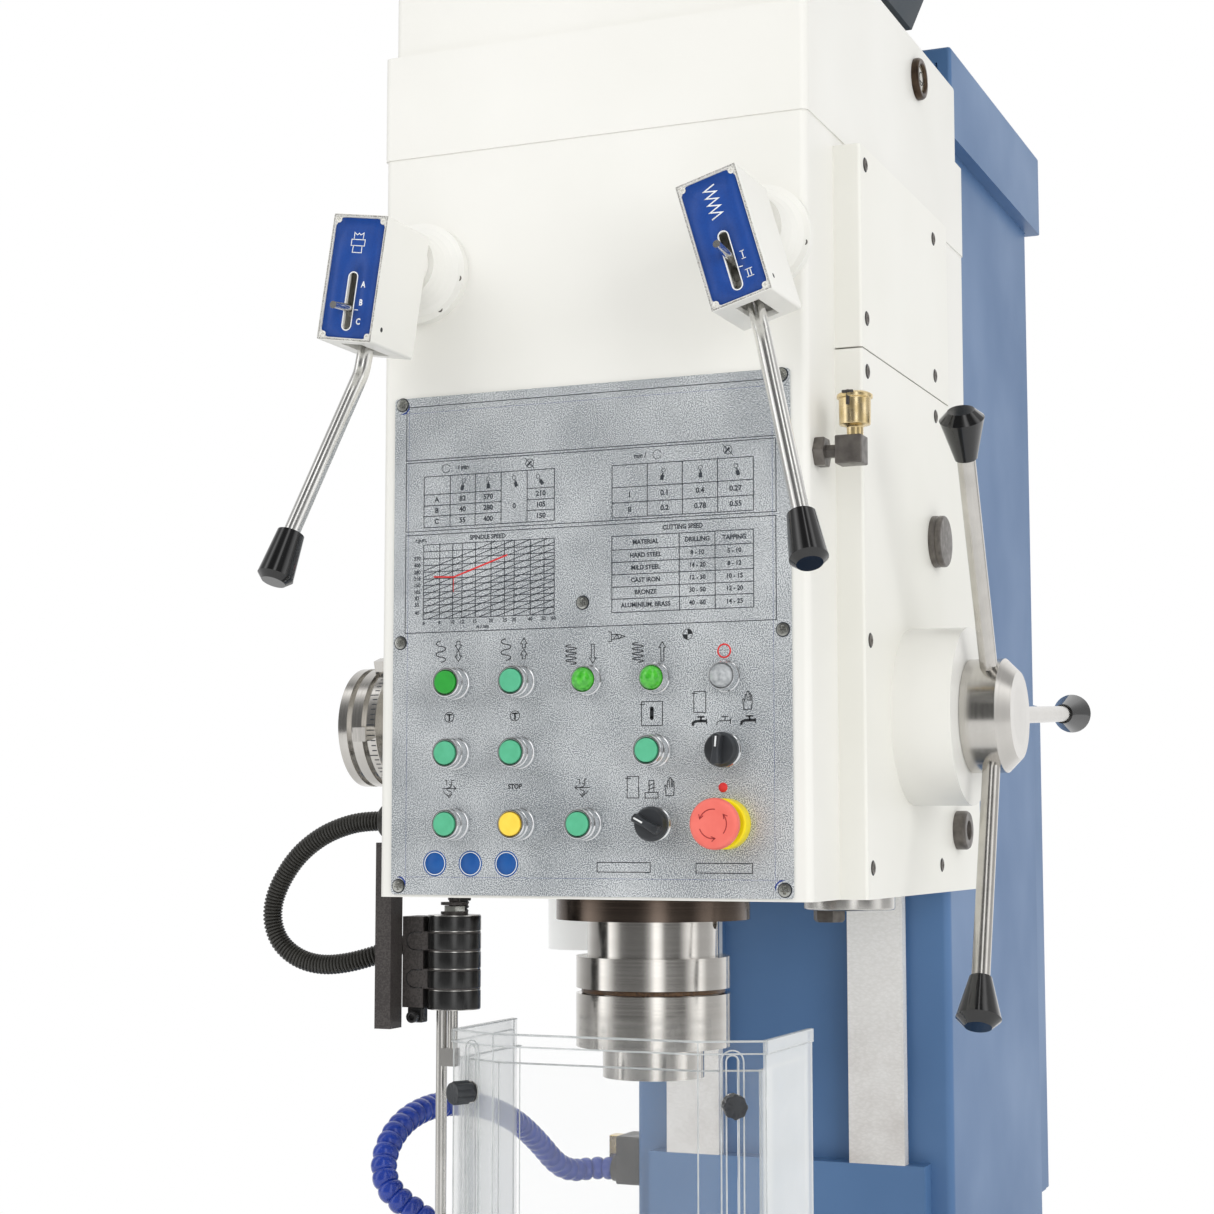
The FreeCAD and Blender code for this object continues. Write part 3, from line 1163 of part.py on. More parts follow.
# Speed and feed levers: a box that turns on its boss, with a lever that swings in it

LEVER_BOX_HALF = 27.0
LEVER_BOX_UP = 25.5
LEVER_BOX_DOWN = 85.5
LEVER_BOX_AHEAD = 123.0
LEVER_BOX_FRONT = HEAD_FRONT - LEVER_BOX_AHEAD
LEVER_BOX_DEPTH = 76.0
LEVER_BOX_WALL = 5.0
LEVER_BOX_EDGE_R = 2.5
LEVER_PLATE_RECESS = 1.5
LEVER_SLOT_HALF = 4.2
LEVER_SLOT_TOP = -25.0
LEVER_SLOT_BOTTOM = -75.6
LEVER_PIVOT_DEPTH = 42.0
LEVER_PIVOT_Y = LEVER_BOX_FRONT + LEVER_PIVOT_DEPTH
LEVER_PIVOT_DROP = 52.0
LEVER_PIVOT_R = 5.0
LEVER_HUB_R = 11.0
LEVER_HUB_HALF = 9.5
LEVER_ROD_R = 7.2
POINTER_R = 3.2
POINTER_PROUD = 26.0
LEVER_BEND_DROP = 54.0
LEVER_BEND_R = 30.0
LEVER_ROD_LENGTH = 171.0
LEVER_KNOB_LENGTH = 46.0
LEVER_KNOB_R = 15.6
LEVER_KNOB_NECK_R = 11.8
LEVER_KNOB_CHAMFER = 5.0
LEVER_MOUTH_HALF = 24.0
LEVER_SIDE_CLEAR = 3.0
LEVER_BACK_PLATE = 5.0
LEVER_TURN_R = 25.0

# Tilt of the box about its boss, then the forward angles of tail, rod, knob and pointer
LEVER_SETTINGS = {"left": (-1, 8.6, 4.0, 27.1, 21.0, -6.0), "right": (1, -16.4, 9.0, 15.5, 22.0, 8.0)}


def make_levers():
    """The lever boxes, the levers and their knobs."""
    for name, (side, tilt, tail_angle, rod_angle, knob_angle, pointer_angle) in LEVER_SETTINGS.items():
        x = side * LEVER_X
        centre = V(x, 0, LEVER_Z)
        half = LEVER_BOX_HALF
        top = LEVER_Z + LEVER_BOX_UP
        low = LEVER_Z - LEVER_BOX_DOWN
        back = LEVER_BOX_FRONT + LEVER_BOX_DEPTH
        wall = LEVER_BOX_WALL
        outer = rounded_box(x - half, x + half, LEVER_BOX_FRONT, back, low, top, LEVER_BOX_EDGE_R, V(0, 1, 0))
        room = box(x - half + wall, x + half - wall, LEVER_BOX_FRONT + wall, back - LEVER_BACK_PLATE,
                   low + wall, top - wall)
        recess_half = half - wall / 2
        recess = box(x - recess_half, x + recess_half, LEVER_BOX_FRONT - OVERRUN,
                     LEVER_BOX_FRONT + LEVER_PLATE_RECESS, low + wall / 2, top - wall / 2)
        slot = box(x - LEVER_SLOT_HALF, x + LEVER_SLOT_HALF, LEVER_BOX_FRONT - OVERRUN,
                   LEVER_BOX_FRONT + wall + OVERRUN, LEVER_Z + LEVER_SLOT_BOTTOM, LEVER_Z + LEVER_SLOT_TOP)
        pivot = V(x, LEVER_PIVOT_Y, LEVER_Z - LEVER_PIVOT_DROP)
        mouth_half_x = LEVER_ROD_R + LEVER_SIDE_CLEAR
        mouth = box(x - mouth_half_x, x + mouth_half_x, LEVER_PIVOT_Y - LEVER_MOUTH_HALF - wall,
                    LEVER_PIVOT_Y + LEVER_MOUTH_HALF, low - OVERRUN, low + wall + OVERRUN)
        shell = less(outer, [room, recess, slot, mouth])
        pin = bar_x(LEVER_PIVOT_Y, pivot.z, LEVER_PIVOT_R, x - half + OVERRUN, x + half - OVERRUN)
        neck_front = back - OVERRUN
        neck = bar_y(x, LEVER_Z, LEVER_TURN_R, neck_front, HEAD_FRONT - LEVER_BOSS_LENGTH - TURN_GAP)
        shaft = bar_y(x, LEVER_Z, LEVER_SHAFT_R, neck_front, HEAD_FRONT + HEAD_WALL)
        body = join([shell, pin, neck, shaft])
        save(name + "_lever_box", rotated(body, centre, V(0, 1, 0), tilt))

        hub = bar_x(LEVER_PIVOT_Y, pivot.z, LEVER_HUB_R, x - LEVER_HUB_HALF, x + LEVER_HUB_HALF)
        pointer_length = LEVER_PIVOT_Y - LEVER_BOX_FRONT + POINTER_PROUD
        ahead = math.radians(pointer_angle)
        pointer = Part.makeCylinder(POINTER_R, pointer_length, pivot, V(0, -math.cos(ahead), math.sin(ahead)))
        tail = math.radians(tail_angle)
        tail_way = V(0, -math.sin(tail), -math.cos(tail))
        bend = pivot + tail_way * LEVER_BEND_DROP
        rod_way = V(0, -math.sin(math.radians(rod_angle)), -math.cos(math.radians(rod_angle)))
        knob_start = bend + rod_way * LEVER_ROD_LENGTH
        rod = bent_bar([pivot, bend, knob_start], LEVER_BEND_R, LEVER_ROD_R)
        lever = join([hub, pointer, rod])
        lever = lever.cut(bar_x(LEVER_PIVOT_Y, pivot.z, LEVER_PIVOT_R + TURN_GAP, x - half, x + half))
        save(name + "_lever", rotated(lever, centre, V(0, 1, 0), tilt))
        knob_way = V(0, -math.sin(math.radians(knob_angle)), -math.cos(math.radians(knob_angle)))
        knob = turned([(0, 0), (LEVER_KNOB_NECK_R, 0), (LEVER_KNOB_R, LEVER_KNOB_LENGTH - LEVER_KNOB_CHAMFER),
                       (LEVER_KNOB_R - LEVER_KNOB_CHAMFER, LEVER_KNOB_LENGTH), (0, LEVER_KNOB_LENGTH)],
                      knob_start, knob_way)
        save(name + "_knob", rotated(knob.cut(rod), centre, V(0, 1, 0), tilt))


# Quill, spindle, bearings and the drive

QUILL_BOTTOM = 1394.5
QUILL_LENGTH = 500.0
COLLAR_R = 70.9
COLLAR_HEIGHT = 26.0
COLLAR_STEP = 2.5
GROOVE_HEIGHT = 5.0
GROOVE_R = 64.0
SLEEVE_HEIGHT = 48.0
NOSE_R = 46.5
NOSE_HEIGHT = 28.0
TAPER_MOUTH_R = 22.2
TAPER_LENGTH = 130.0
TAPER_PER_LENGTH = 1 / 19.002
DRIFT_SLOT_HALF = 8.0
DRIFT_SLOT_HEIGHT = 30.0
SPINDLE_SHAFT_R = 30.0
SPLINE_R = 27.0
SPLINE_ROOT_R = 23.0
SPLINE_KEYS = 6
SPLINE_KEY_WIDTH = 11.0
SPINDLE_TOP = 2195.0
BEARING_HEIGHT = 28.0
BEARING_SEAT_R = 48.5
BEARING_RACE = 6.0
BEARING_GAP = 0.5
BEARING_ROLLERS = 12
QUILL_BORE_R = 36.0
RACK_TIP_SHARE = 0.85
RACK_ROOT_SHARE = 1.3
RACK_BACKLASH = 0.9
RACK_SIDE_GAP = 0.8
SCREW_HOLE_R = 5.5
SCREW_HOLE_Z = 1425.0
SCREW_HOLE_DEPTH = 6.0
FLANGE_OUTER_R = 89.4
SPINDLE_FLANGE_THICK = 22.0
QUILL_TOP = QUILL_BOTTOM + QUILL_LENGTH
COLLAR_BOTTOM = QUILL_BOTTOM - COLLAR_HEIGHT - COLLAR_STEP
SLEEVE_TOP = COLLAR_BOTTOM - GROOVE_HEIGHT
SLEEVE_BOTTOM = SLEEVE_TOP - SLEEVE_HEIGHT
NOSE_BOTTOM = SLEEVE_BOTTOM - NOSE_HEIGHT
PINION_R = PINION_MODULE * PINION_TEETH / 2
RACK_LINE = SHAFT_Y - PINION_R


def rack_cutters():
    """The tooth spaces of the rack on the back of the quill."""
    pitch = math.pi * PINION_MODULE
    tip_y = RACK_LINE + RACK_TIP_SHARE * PINION_MODULE
    root_y = RACK_LINE - RACK_ROOT_SHARE * PINION_MODULE
    slope = math.tan(math.radians(20))
    half = PINION_WIDTH / 2 + RACK_SIDE_GAP
    flat = box(-QUILL_R, QUILL_R, tip_y, tip_y + QUILL_R, QUILL_BOTTOM + COLLAR_HEIGHT, QUILL_TOP + OVERRUN)
    cutters = [flat]
    low = SHAFT_Z - PINION_R
    high = SHAFT_Z + QUILL_TRAVEL + PINION_R
    first = -int((SHAFT_Z - low) / pitch)
    last = int((high - SHAFT_Z) / pitch)
    for tooth in range(first, last + 1):
        z = SHAFT_Z + tooth * pitch
        mouth = pitch / 4 + slope * RACK_TIP_SHARE * PINION_MODULE + RACK_BACKLASH / 2
        bottom = pitch / 4 - slope * RACK_ROOT_SHARE * PINION_MODULE + RACK_BACKLASH / 2
        extra = slope * OVERRUN
        outline = [V(-half, root_y, z - bottom), V(-half, root_y, z + bottom),
                   V(-half, tip_y + OVERRUN, z + mouth + extra), V(-half, tip_y + OVERRUN, z - mouth - extra)]
        cutters.append(prism(outline, V(2 * half, 0, 0)))
    return cutters


def make_quill():
    """The quill, the spindle and the bearings."""
    tube = bar_z(0, SPINDLE_Y, QUILL_R, QUILL_BOTTOM, QUILL_TOP)
    collar = bar_z(0, SPINDLE_Y, COLLAR_R, COLLAR_BOTTOM, QUILL_BOTTOM)
    body = join([tube, collar])
    seat_low = bar_z(0, SPINDLE_Y, BEARING_SEAT_R, COLLAR_BOTTOM - OVERRUN, COLLAR_BOTTOM + BEARING_HEIGHT)
    seat_high = bar_z(0, SPINDLE_Y, BEARING_SEAT_R, QUILL_TOP - BEARING_HEIGHT, QUILL_TOP + OVERRUN)
    bore = bar_z(0, SPINDLE_Y, QUILL_BORE_R, COLLAR_BOTTOM - OVERRUN, QUILL_TOP + OVERRUN)
    screw_hole = bar_x(SPINDLE_Y, SCREW_HOLE_Z, SCREW_HOLE_R, QUILL_R - SCREW_HOLE_DEPTH, QUILL_R + OVERRUN)
    body = less(body, [seat_low, seat_high, bore, screw_hole])
    for cutter in rack_cutters():
        body = body.cut(cutter)
    save("quill", body)

    rings = []
    race_inner = SPINDLE_SHAFT_R + TURN_GAP
    roller_r = (BEARING_SEAT_R - race_inner - 2 * BEARING_RACE) / 2 - BEARING_GAP / 2
    roller_at = (BEARING_SEAT_R + race_inner) / 2
    for z0 in (COLLAR_BOTTOM, QUILL_TOP - BEARING_HEIGHT):
        z1 = z0 + BEARING_HEIGHT
        rings.append(ring_z(0, SPINDLE_Y, BEARING_SEAT_R, BEARING_SEAT_R - BEARING_RACE, z0, z1))
        rings.append(ring_z(0, SPINDLE_Y, race_inner + BEARING_RACE, race_inner, z0, z1))
        for count in range(BEARING_ROLLERS):
            angle = 2 * math.pi * count / BEARING_ROLLERS
            x = roller_at * math.cos(angle)
            y = SPINDLE_Y + roller_at * math.sin(angle)
            rings.append(bar_z(x, y, roller_r, z0 + BEARING_RACE / 2, z1 - BEARING_RACE / 2))
    save("spindle_bearings", *rings)

    sleeve_top = SLEEVE_TOP
    parts = [bar_z(0, SPINDLE_Y, NOSE_R, NOSE_BOTTOM, SLEEVE_BOTTOM),
             bar_z(0, SPINDLE_Y, COLLAR_R, SLEEVE_BOTTOM, sleeve_top),
             bar_z(0, SPINDLE_Y, GROOVE_R, sleeve_top, COLLAR_BOTTOM - TURN_GAP),
             bar_z(0, SPINDLE_Y, SPINDLE_SHAFT_R, sleeve_top, QUILL_TOP + BEARING_RACE),
             bar_z(0, SPINDLE_Y, SPLINE_ROOT_R, QUILL_TOP, SPINDLE_TOP)]
    for key in spline_keys(SPLINE_R, SPLINE_KEY_WIDTH, QUILL_TOP, SPINDLE_TOP):
        parts.append(key)
    spindle = join(parts)
    taper = Part.makeCone(TAPER_MOUTH_R, TAPER_MOUTH_R - TAPER_LENGTH * TAPER_PER_LENGTH / 2, TAPER_LENGTH,
                          V(0, SPINDLE_Y, NOSE_BOTTOM), V(0, 0, 1))
    slot_z = NOSE_BOTTOM + TAPER_LENGTH
    drift = box(-DRIFT_SLOT_HALF, DRIFT_SLOT_HALF, SPINDLE_Y - COLLAR_R, SPINDLE_Y + COLLAR_R,
                slot_z - DRIFT_SLOT_HALF, slot_z + DRIFT_SLOT_HEIGHT)
    save("spindle", less(spindle, [taper, drift]))


def spline_keys(radius, width, z0, z1):
    """Straight keys around the spindle's upper end."""
    keys = []
    reach = math.sqrt(radius ** 2 - (width / 2) ** 2)
    for key in range(SPLINE_KEYS):
        block = box(0, reach, SPINDLE_Y - width / 2, SPINDLE_Y + width / 2, z0, z1)
        keys.append(rotated(block, V(0, SPINDLE_Y, 0), V(0, 0, 1), 360 * key / SPLINE_KEYS))
    return keys


def make_spindle_flange():
    """The steel flange under the head that guides the quill."""
    low = HEAD_BOTTOM - SPINDLE_FLANGE_THICK
    save("spindle_flange", ring_z(0, SPINDLE_Y, FLANGE_OUTER_R, QUILL_R + TURN_GAP, low, HEAD_BOTTOM))


GEAR_MODULE = 5.0
SPINDLE_GEAR_TEETH = 54
GEAR_WIDTH = 32.0
GEAR_Z = 1940.0
GEAR_BACKLASH = 1.4
GEAR_HUB_R = 48.0
GEAR_HUB_LENGTH = 60.0
GEAR_WEB_THICK = 14.0
GEAR_RIM = 16.0
MOTOR_GEAR_TEETH = 44
GEAR_CENTRES = MOTOR_Y - SPINDLE_Y


def gear_blank(teeth, x, y, z0, z1, turn):
    """A toothed disc about an upright axis."""
    points = [V(x + px, y + py, z0) for px, py in gear_points(teeth, GEAR_MODULE, GEAR_BACKLASH, turn)]
    return prism(points, V(0, 0, z1 - z0))


def make_gears():
    """The sleeve gear on the spindle and the gear on the rotor shaft."""
    z0 = GEAR_Z
    z1 = GEAR_Z + GEAR_WIDTH
    gap_at_back = math.pi / 2 + math.pi / SPINDLE_GEAR_TEETH
    gear = gear_blank(SPINDLE_GEAR_TEETH, 0, SPINDLE_Y, z0, z1, gap_at_back)
    rim_r = GEAR_MODULE * (SPINDLE_GEAR_TEETH / 2 - GEAR_ROOT_SHARE) - GEAR_RIM
    web_low = (z0 + z1 - GEAR_WEB_THICK) / 2
    hollow = [ring_z(0, SPINDLE_Y, rim_r, GEAR_HUB_R, z0 - OVERRUN, web_low),
              ring_z(0, SPINDLE_Y, rim_r, GEAR_HUB_R, web_low + GEAR_WEB_THICK, z1 + OVERRUN)]
    hub = bar_z(0, SPINDLE_Y, GEAR_HUB_R, z0, z0 + GEAR_HUB_LENGTH)
    gear = join([less(gear, hollow), hub])
    bore = [bar_z(0, SPINDLE_Y, SPLINE_ROOT_R + TURN_GAP, z0 - OVERRUN, z0 + GEAR_HUB_LENGTH + OVERRUN)]
    bore.extend(spline_keys(SPLINE_R + TURN_GAP, SPLINE_KEY_WIDTH + 2 * TURN_GAP, z0 - OVERRUN,
                            z0 + GEAR_HUB_LENGTH + OVERRUN))
    save("spindle_gear", gear.cut(join(bore)))

    offset = GEAR_CENTRES - GEAR_MODULE * (SPINDLE_GEAR_TEETH + MOTOR_GEAR_TEETH) / 2
    print("gear centre distance over the pitch sum", round(offset, 3))
    tooth_at_front = -math.pi / 2
    pinion = gear_blank(MOTOR_GEAR_TEETH, 0, MOTOR_Y, z0, z1, tooth_at_front)
    shaft = bar_z(0, MOTOR_Y, ROTOR_SHAFT_R, GEAR_ROOM_FLOOR + PARTITION + TURN_GAP,
                  DRIVE_CASE_TOP + MOTOR_FLANGE_THICK)
    save("motor_gear", join([pinion, shaft]))


# Capstan, pinion shaft and depth dial on the cross shaft

DIAL_R = 60.0
DIAL_LENGTH = 42.0
DIAL_GROOVE_R = 55.0
DIAL_GROOVE_WIDTH = 6.0
DIAL_HUB_R = 38.0
DIAL_COLLAR_LENGTH = 41.0
DIAL_INNER = HEAD_SIDE + DIAL_BOSS_LENGTH + DIAL_COLLAR_LENGTH
DOG_SIZE = 14.0
DOG_HEIGHT = 11.0
DOG_ANGLES = (72.0, -8.0)
CAPSTAN_HUB_R = 52.0
CAPSTAN_HUB_LENGTH = 44.0
CAPSTAN_NOSE = 12.0
ARM_R = 8.0
ARM_LENGTH = 257.0
ARM_ANGLE = 33.0
ARM_TILT = 2.6
ARMS = 3
ARM_KNOB_LENGTH = 45.0
ARM_KNOB_R = 19.5
ARM_KNOB_NECK_R = 9.8
ARM_KNOB_CHAMFER = 7.8


def make_capstan():
    """The pinion shaft, the capstan with its knobs and the depth dial."""
    hub_x = COVER_FACE + BOSS_LENGTH + TURN_GAP
    dial_x = -DIAL_INNER
    points = [V(-PINION_WIDTH / 2, SHAFT_Y + a, SHAFT_Z + b)
              for a, b in gear_points(PINION_TEETH, PINION_MODULE, 0, 0)]
    pinion = prism(points, V(PINION_WIDTH, 0, 0))
    shaft = bar_x(SHAFT_Y, SHAFT_Z, SHAFT_R, dial_x, hub_x + CAPSTAN_HUB_LENGTH / 2)
    save("pinion_shaft", join([pinion, shaft]))

    hub = turned([(0, 0), (CAPSTAN_HUB_R, 0), (CAPSTAN_HUB_R, CAPSTAN_HUB_LENGTH - CAPSTAN_NOSE),
                  (CAPSTAN_HUB_R - CAPSTAN_NOSE, CAPSTAN_HUB_LENGTH), (0, CAPSTAN_HUB_LENGTH)],
                 V(hub_x, SHAFT_Y, SHAFT_Z), V(1, 0, 0))
    hub = hub.cut(bar_x(SHAFT_Y, SHAFT_Z, SHAFT_R, hub_x - OVERRUN, hub_x + CAPSTAN_HUB_LENGTH / 2))
    arm_x = hub_x + (CAPSTAN_HUB_LENGTH - CAPSTAN_NOSE) / 2 + ARM_R / 2
    centre = V(arm_x, SHAFT_Y, SHAFT_Z)
    solids = [hub]
    knobs = []
    tilt = math.radians(ARM_TILT)
    for arm in range(ARMS):
        angle = math.radians(ARM_ANGLE + 360 * arm / ARMS)
        flat = math.cos(tilt)
        way = V(math.sin(tilt), -math.sin(angle) * flat, math.cos(angle) * flat)
        root = centre + way * (CAPSTAN_HUB_R / 2)
        solids.append(Part.makeCylinder(ARM_R, ARM_LENGTH - CAPSTAN_HUB_R / 2, root, way))
        knob = turned([(0, 0), (ARM_KNOB_NECK_R, 0), (ARM_KNOB_R, ARM_KNOB_LENGTH - ARM_KNOB_CHAMFER),
                       (ARM_KNOB_R - ARM_KNOB_CHAMFER, ARM_KNOB_LENGTH), (0, ARM_KNOB_LENGTH)],
                      centre + way * ARM_LENGTH, way)
        knobs.append(knob)
    save("capstan", join(solids))
    save("capstan_knobs", *knobs)

    grooves = []
    for share in (0.3, 0.7):
        groove_x = dial_x - DIAL_LENGTH * share
        grooves.append(ring_x(SHAFT_Y, SHAFT_Z, DIAL_R + OVERRUN, DIAL_GROOVE_R,
                              groove_x - DIAL_GROOVE_WIDTH / 2, groove_x + DIAL_GROOVE_WIDTH / 2))
    disc = bar_x(SHAFT_Y, SHAFT_Z, DIAL_R, dial_x - DIAL_LENGTH, dial_x)
    hub_end = -HEAD_SIDE - DIAL_BOSS_LENGTH - TURN_GAP
    collar = bar_x(SHAFT_Y, SHAFT_Z, DIAL_HUB_R, dial_x, hub_end)
    dial = less(join([disc, collar]), grooves)
    dial = dial.cut(bar_x(SHAFT_Y, SHAFT_Z, SHAFT_R, dial_x, hub_end + OVERRUN))
    dogs = []
    for angle, share in zip(DOG_ANGLES, (0.3, 0.3)):
        x = dial_x - DIAL_LENGTH * share
        dog = box(x - DOG_SIZE / 2, x + DOG_SIZE / 2, SHAFT_Y - DIAL_R - DOG_HEIGHT, SHAFT_Y - DIAL_R,
                  SHAFT_Z - DOG_SIZE / 2, SHAFT_Z + DOG_SIZE / 2)
        foot = box(x - DIAL_GROOVE_WIDTH / 2 + TURN_GAP, x + DIAL_GROOVE_WIDTH / 2 - TURN_GAP,
                   SHAFT_Y - DIAL_R - TURN_GAP, SHAFT_Y - DIAL_GROOVE_R + TURN_GAP,
                   SHAFT_Z - DOG_SIZE / 2, SHAFT_Z + DOG_SIZE / 2)
        dog = join([dog, foot]).cut(dial)
        dogs.append(rotated(dog, V(0, SHAFT_Y, SHAFT_Z), V(1, 0, 0), -angle))
    save("depth_dial", dial, *dogs)


# Guard: bracket, hinge, clear frame, sliding clear panel and its knobs

BRACKET_BAR_THICK = 16.0
BRACKET_BAR_FRONT = -406.0
BRACKET_BAR_DEPTH = 22.0
BRACKET_BAR_TOP = 1498.0
BRACKET_BAR_BOTTOM = 1331.0
HINGE_X = -157.0
HINGE_Y = -370.0
HINGE_R = 24.0
HINGE_PIN_R = 8.0
HINGE_PIN_GAP = 2.0
HINGE_TOP = 1433.0
HINGE_LEVELS = (1433.0, 1417.6, 1400.8, 1384.0, 1366.3, 1347.7)
HINGE_BLOCK_FRONT = -383.0
HINGE_BLOCK_DEPTH = 28.0
HINGE_BLOCK_BOTTOM = 1349.0
HINGE_BLOCK_TOP = 1431.0
HINGE_BLOCK_WIDTH = 21.0
HINGE_SHAFT_R = 5.0
HINGE_WASHER_R = 12.5
HINGE_WASHER_THICK = 2.5
GUARD_HALF = 148.0
GUARD_CHAMFER_X = 52.0
GUARD_FRONT = -416.0
GUARD_CHAMFER_Y = 27.0
GUARD_REAR = -262.0
GUARD_THICK = 4.0
GUARD_TOP = 1332.0
GUARD_BOTTOM = 1120.0
GUARD_RIM_HEIGHT = 11.0
GUARD_RIM_PROUD = 1.5
GUARD_POST_DROP = 22.0
GUARD_CUT_REACH = 12.0
PANEL_GAP = 1.0
PANEL_TOP = 1307.0
PANEL_BOTTOM = 1095.0
GUARD_SLOT_HALF = 4.5
GUARD_SLOT_TOP = 1319.0
GUARD_SLOT_BOTTOM = 1140.0
KNOB_Z = 1279.0
KNOB_R = 10.5
KNOB_LENGTH = 22.0
KNOB_STUD_R = 3.5
GUARD_ROD_R = 5.0
GUARD_ROD_X = -164.0
GUARD_ROD_Y = -380.0
GUARD_ROD_BOTTOM = 1124.0
CLAMP_BLOCK_HEIGHT = 16.0
CLAMP_BLOCK_LEVELS = (1298.0, 1150.0)


def guard_outline(offset):
    """The plan of the guard's outer face, moved inward by an offset."""
    half = GUARD_HALF - offset
    front = GUARD_FRONT + offset
    slope = math.atan2(GUARD_CHAMFER_Y, GUARD_CHAMFER_X)
    shift_x = offset * math.tan(slope / 2)
    shift_y = offset * math.tan((math.pi / 2 - slope) / 2)
    inner_x = GUARD_HALF - GUARD_CHAMFER_X - shift_x
    corner_y = GUARD_FRONT + GUARD_CHAMFER_Y + shift_y
    return half, front, inner_x, corner_y


def guard_strip(outer, inner, rear, z0, z1):
    """A U-shaped wall between two offsets of the guard's plan."""
    points = []
    for offset, order in ((outer, 1), (inner, -1)):
        half, front, inner_x, corner_y = guard_outline(offset)
        plan = [V(-half, rear, z0), V(-half, corner_y, z0), V(-inner_x, front, z0), V(inner_x, front, z0),
                V(half, corner_y, z0), V(half, rear, z0)]
        points.extend(plan[::order])
    return prism(points, V(0, 0, z1 - z0))


def chamfer_frame(side):
    """The middle point of a chamfer's outer face and its outward direction."""
    half, front, inner_x, corner_y = guard_outline(0)
    middle = V(side * (half + inner_x) / 2, (front + corner_y) / 2, 0)
    slope = math.atan2(GUARD_CHAMFER_Y, GUARD_CHAMFER_X)
    return middle, V(side * math.sin(slope), -math.cos(slope), 0)


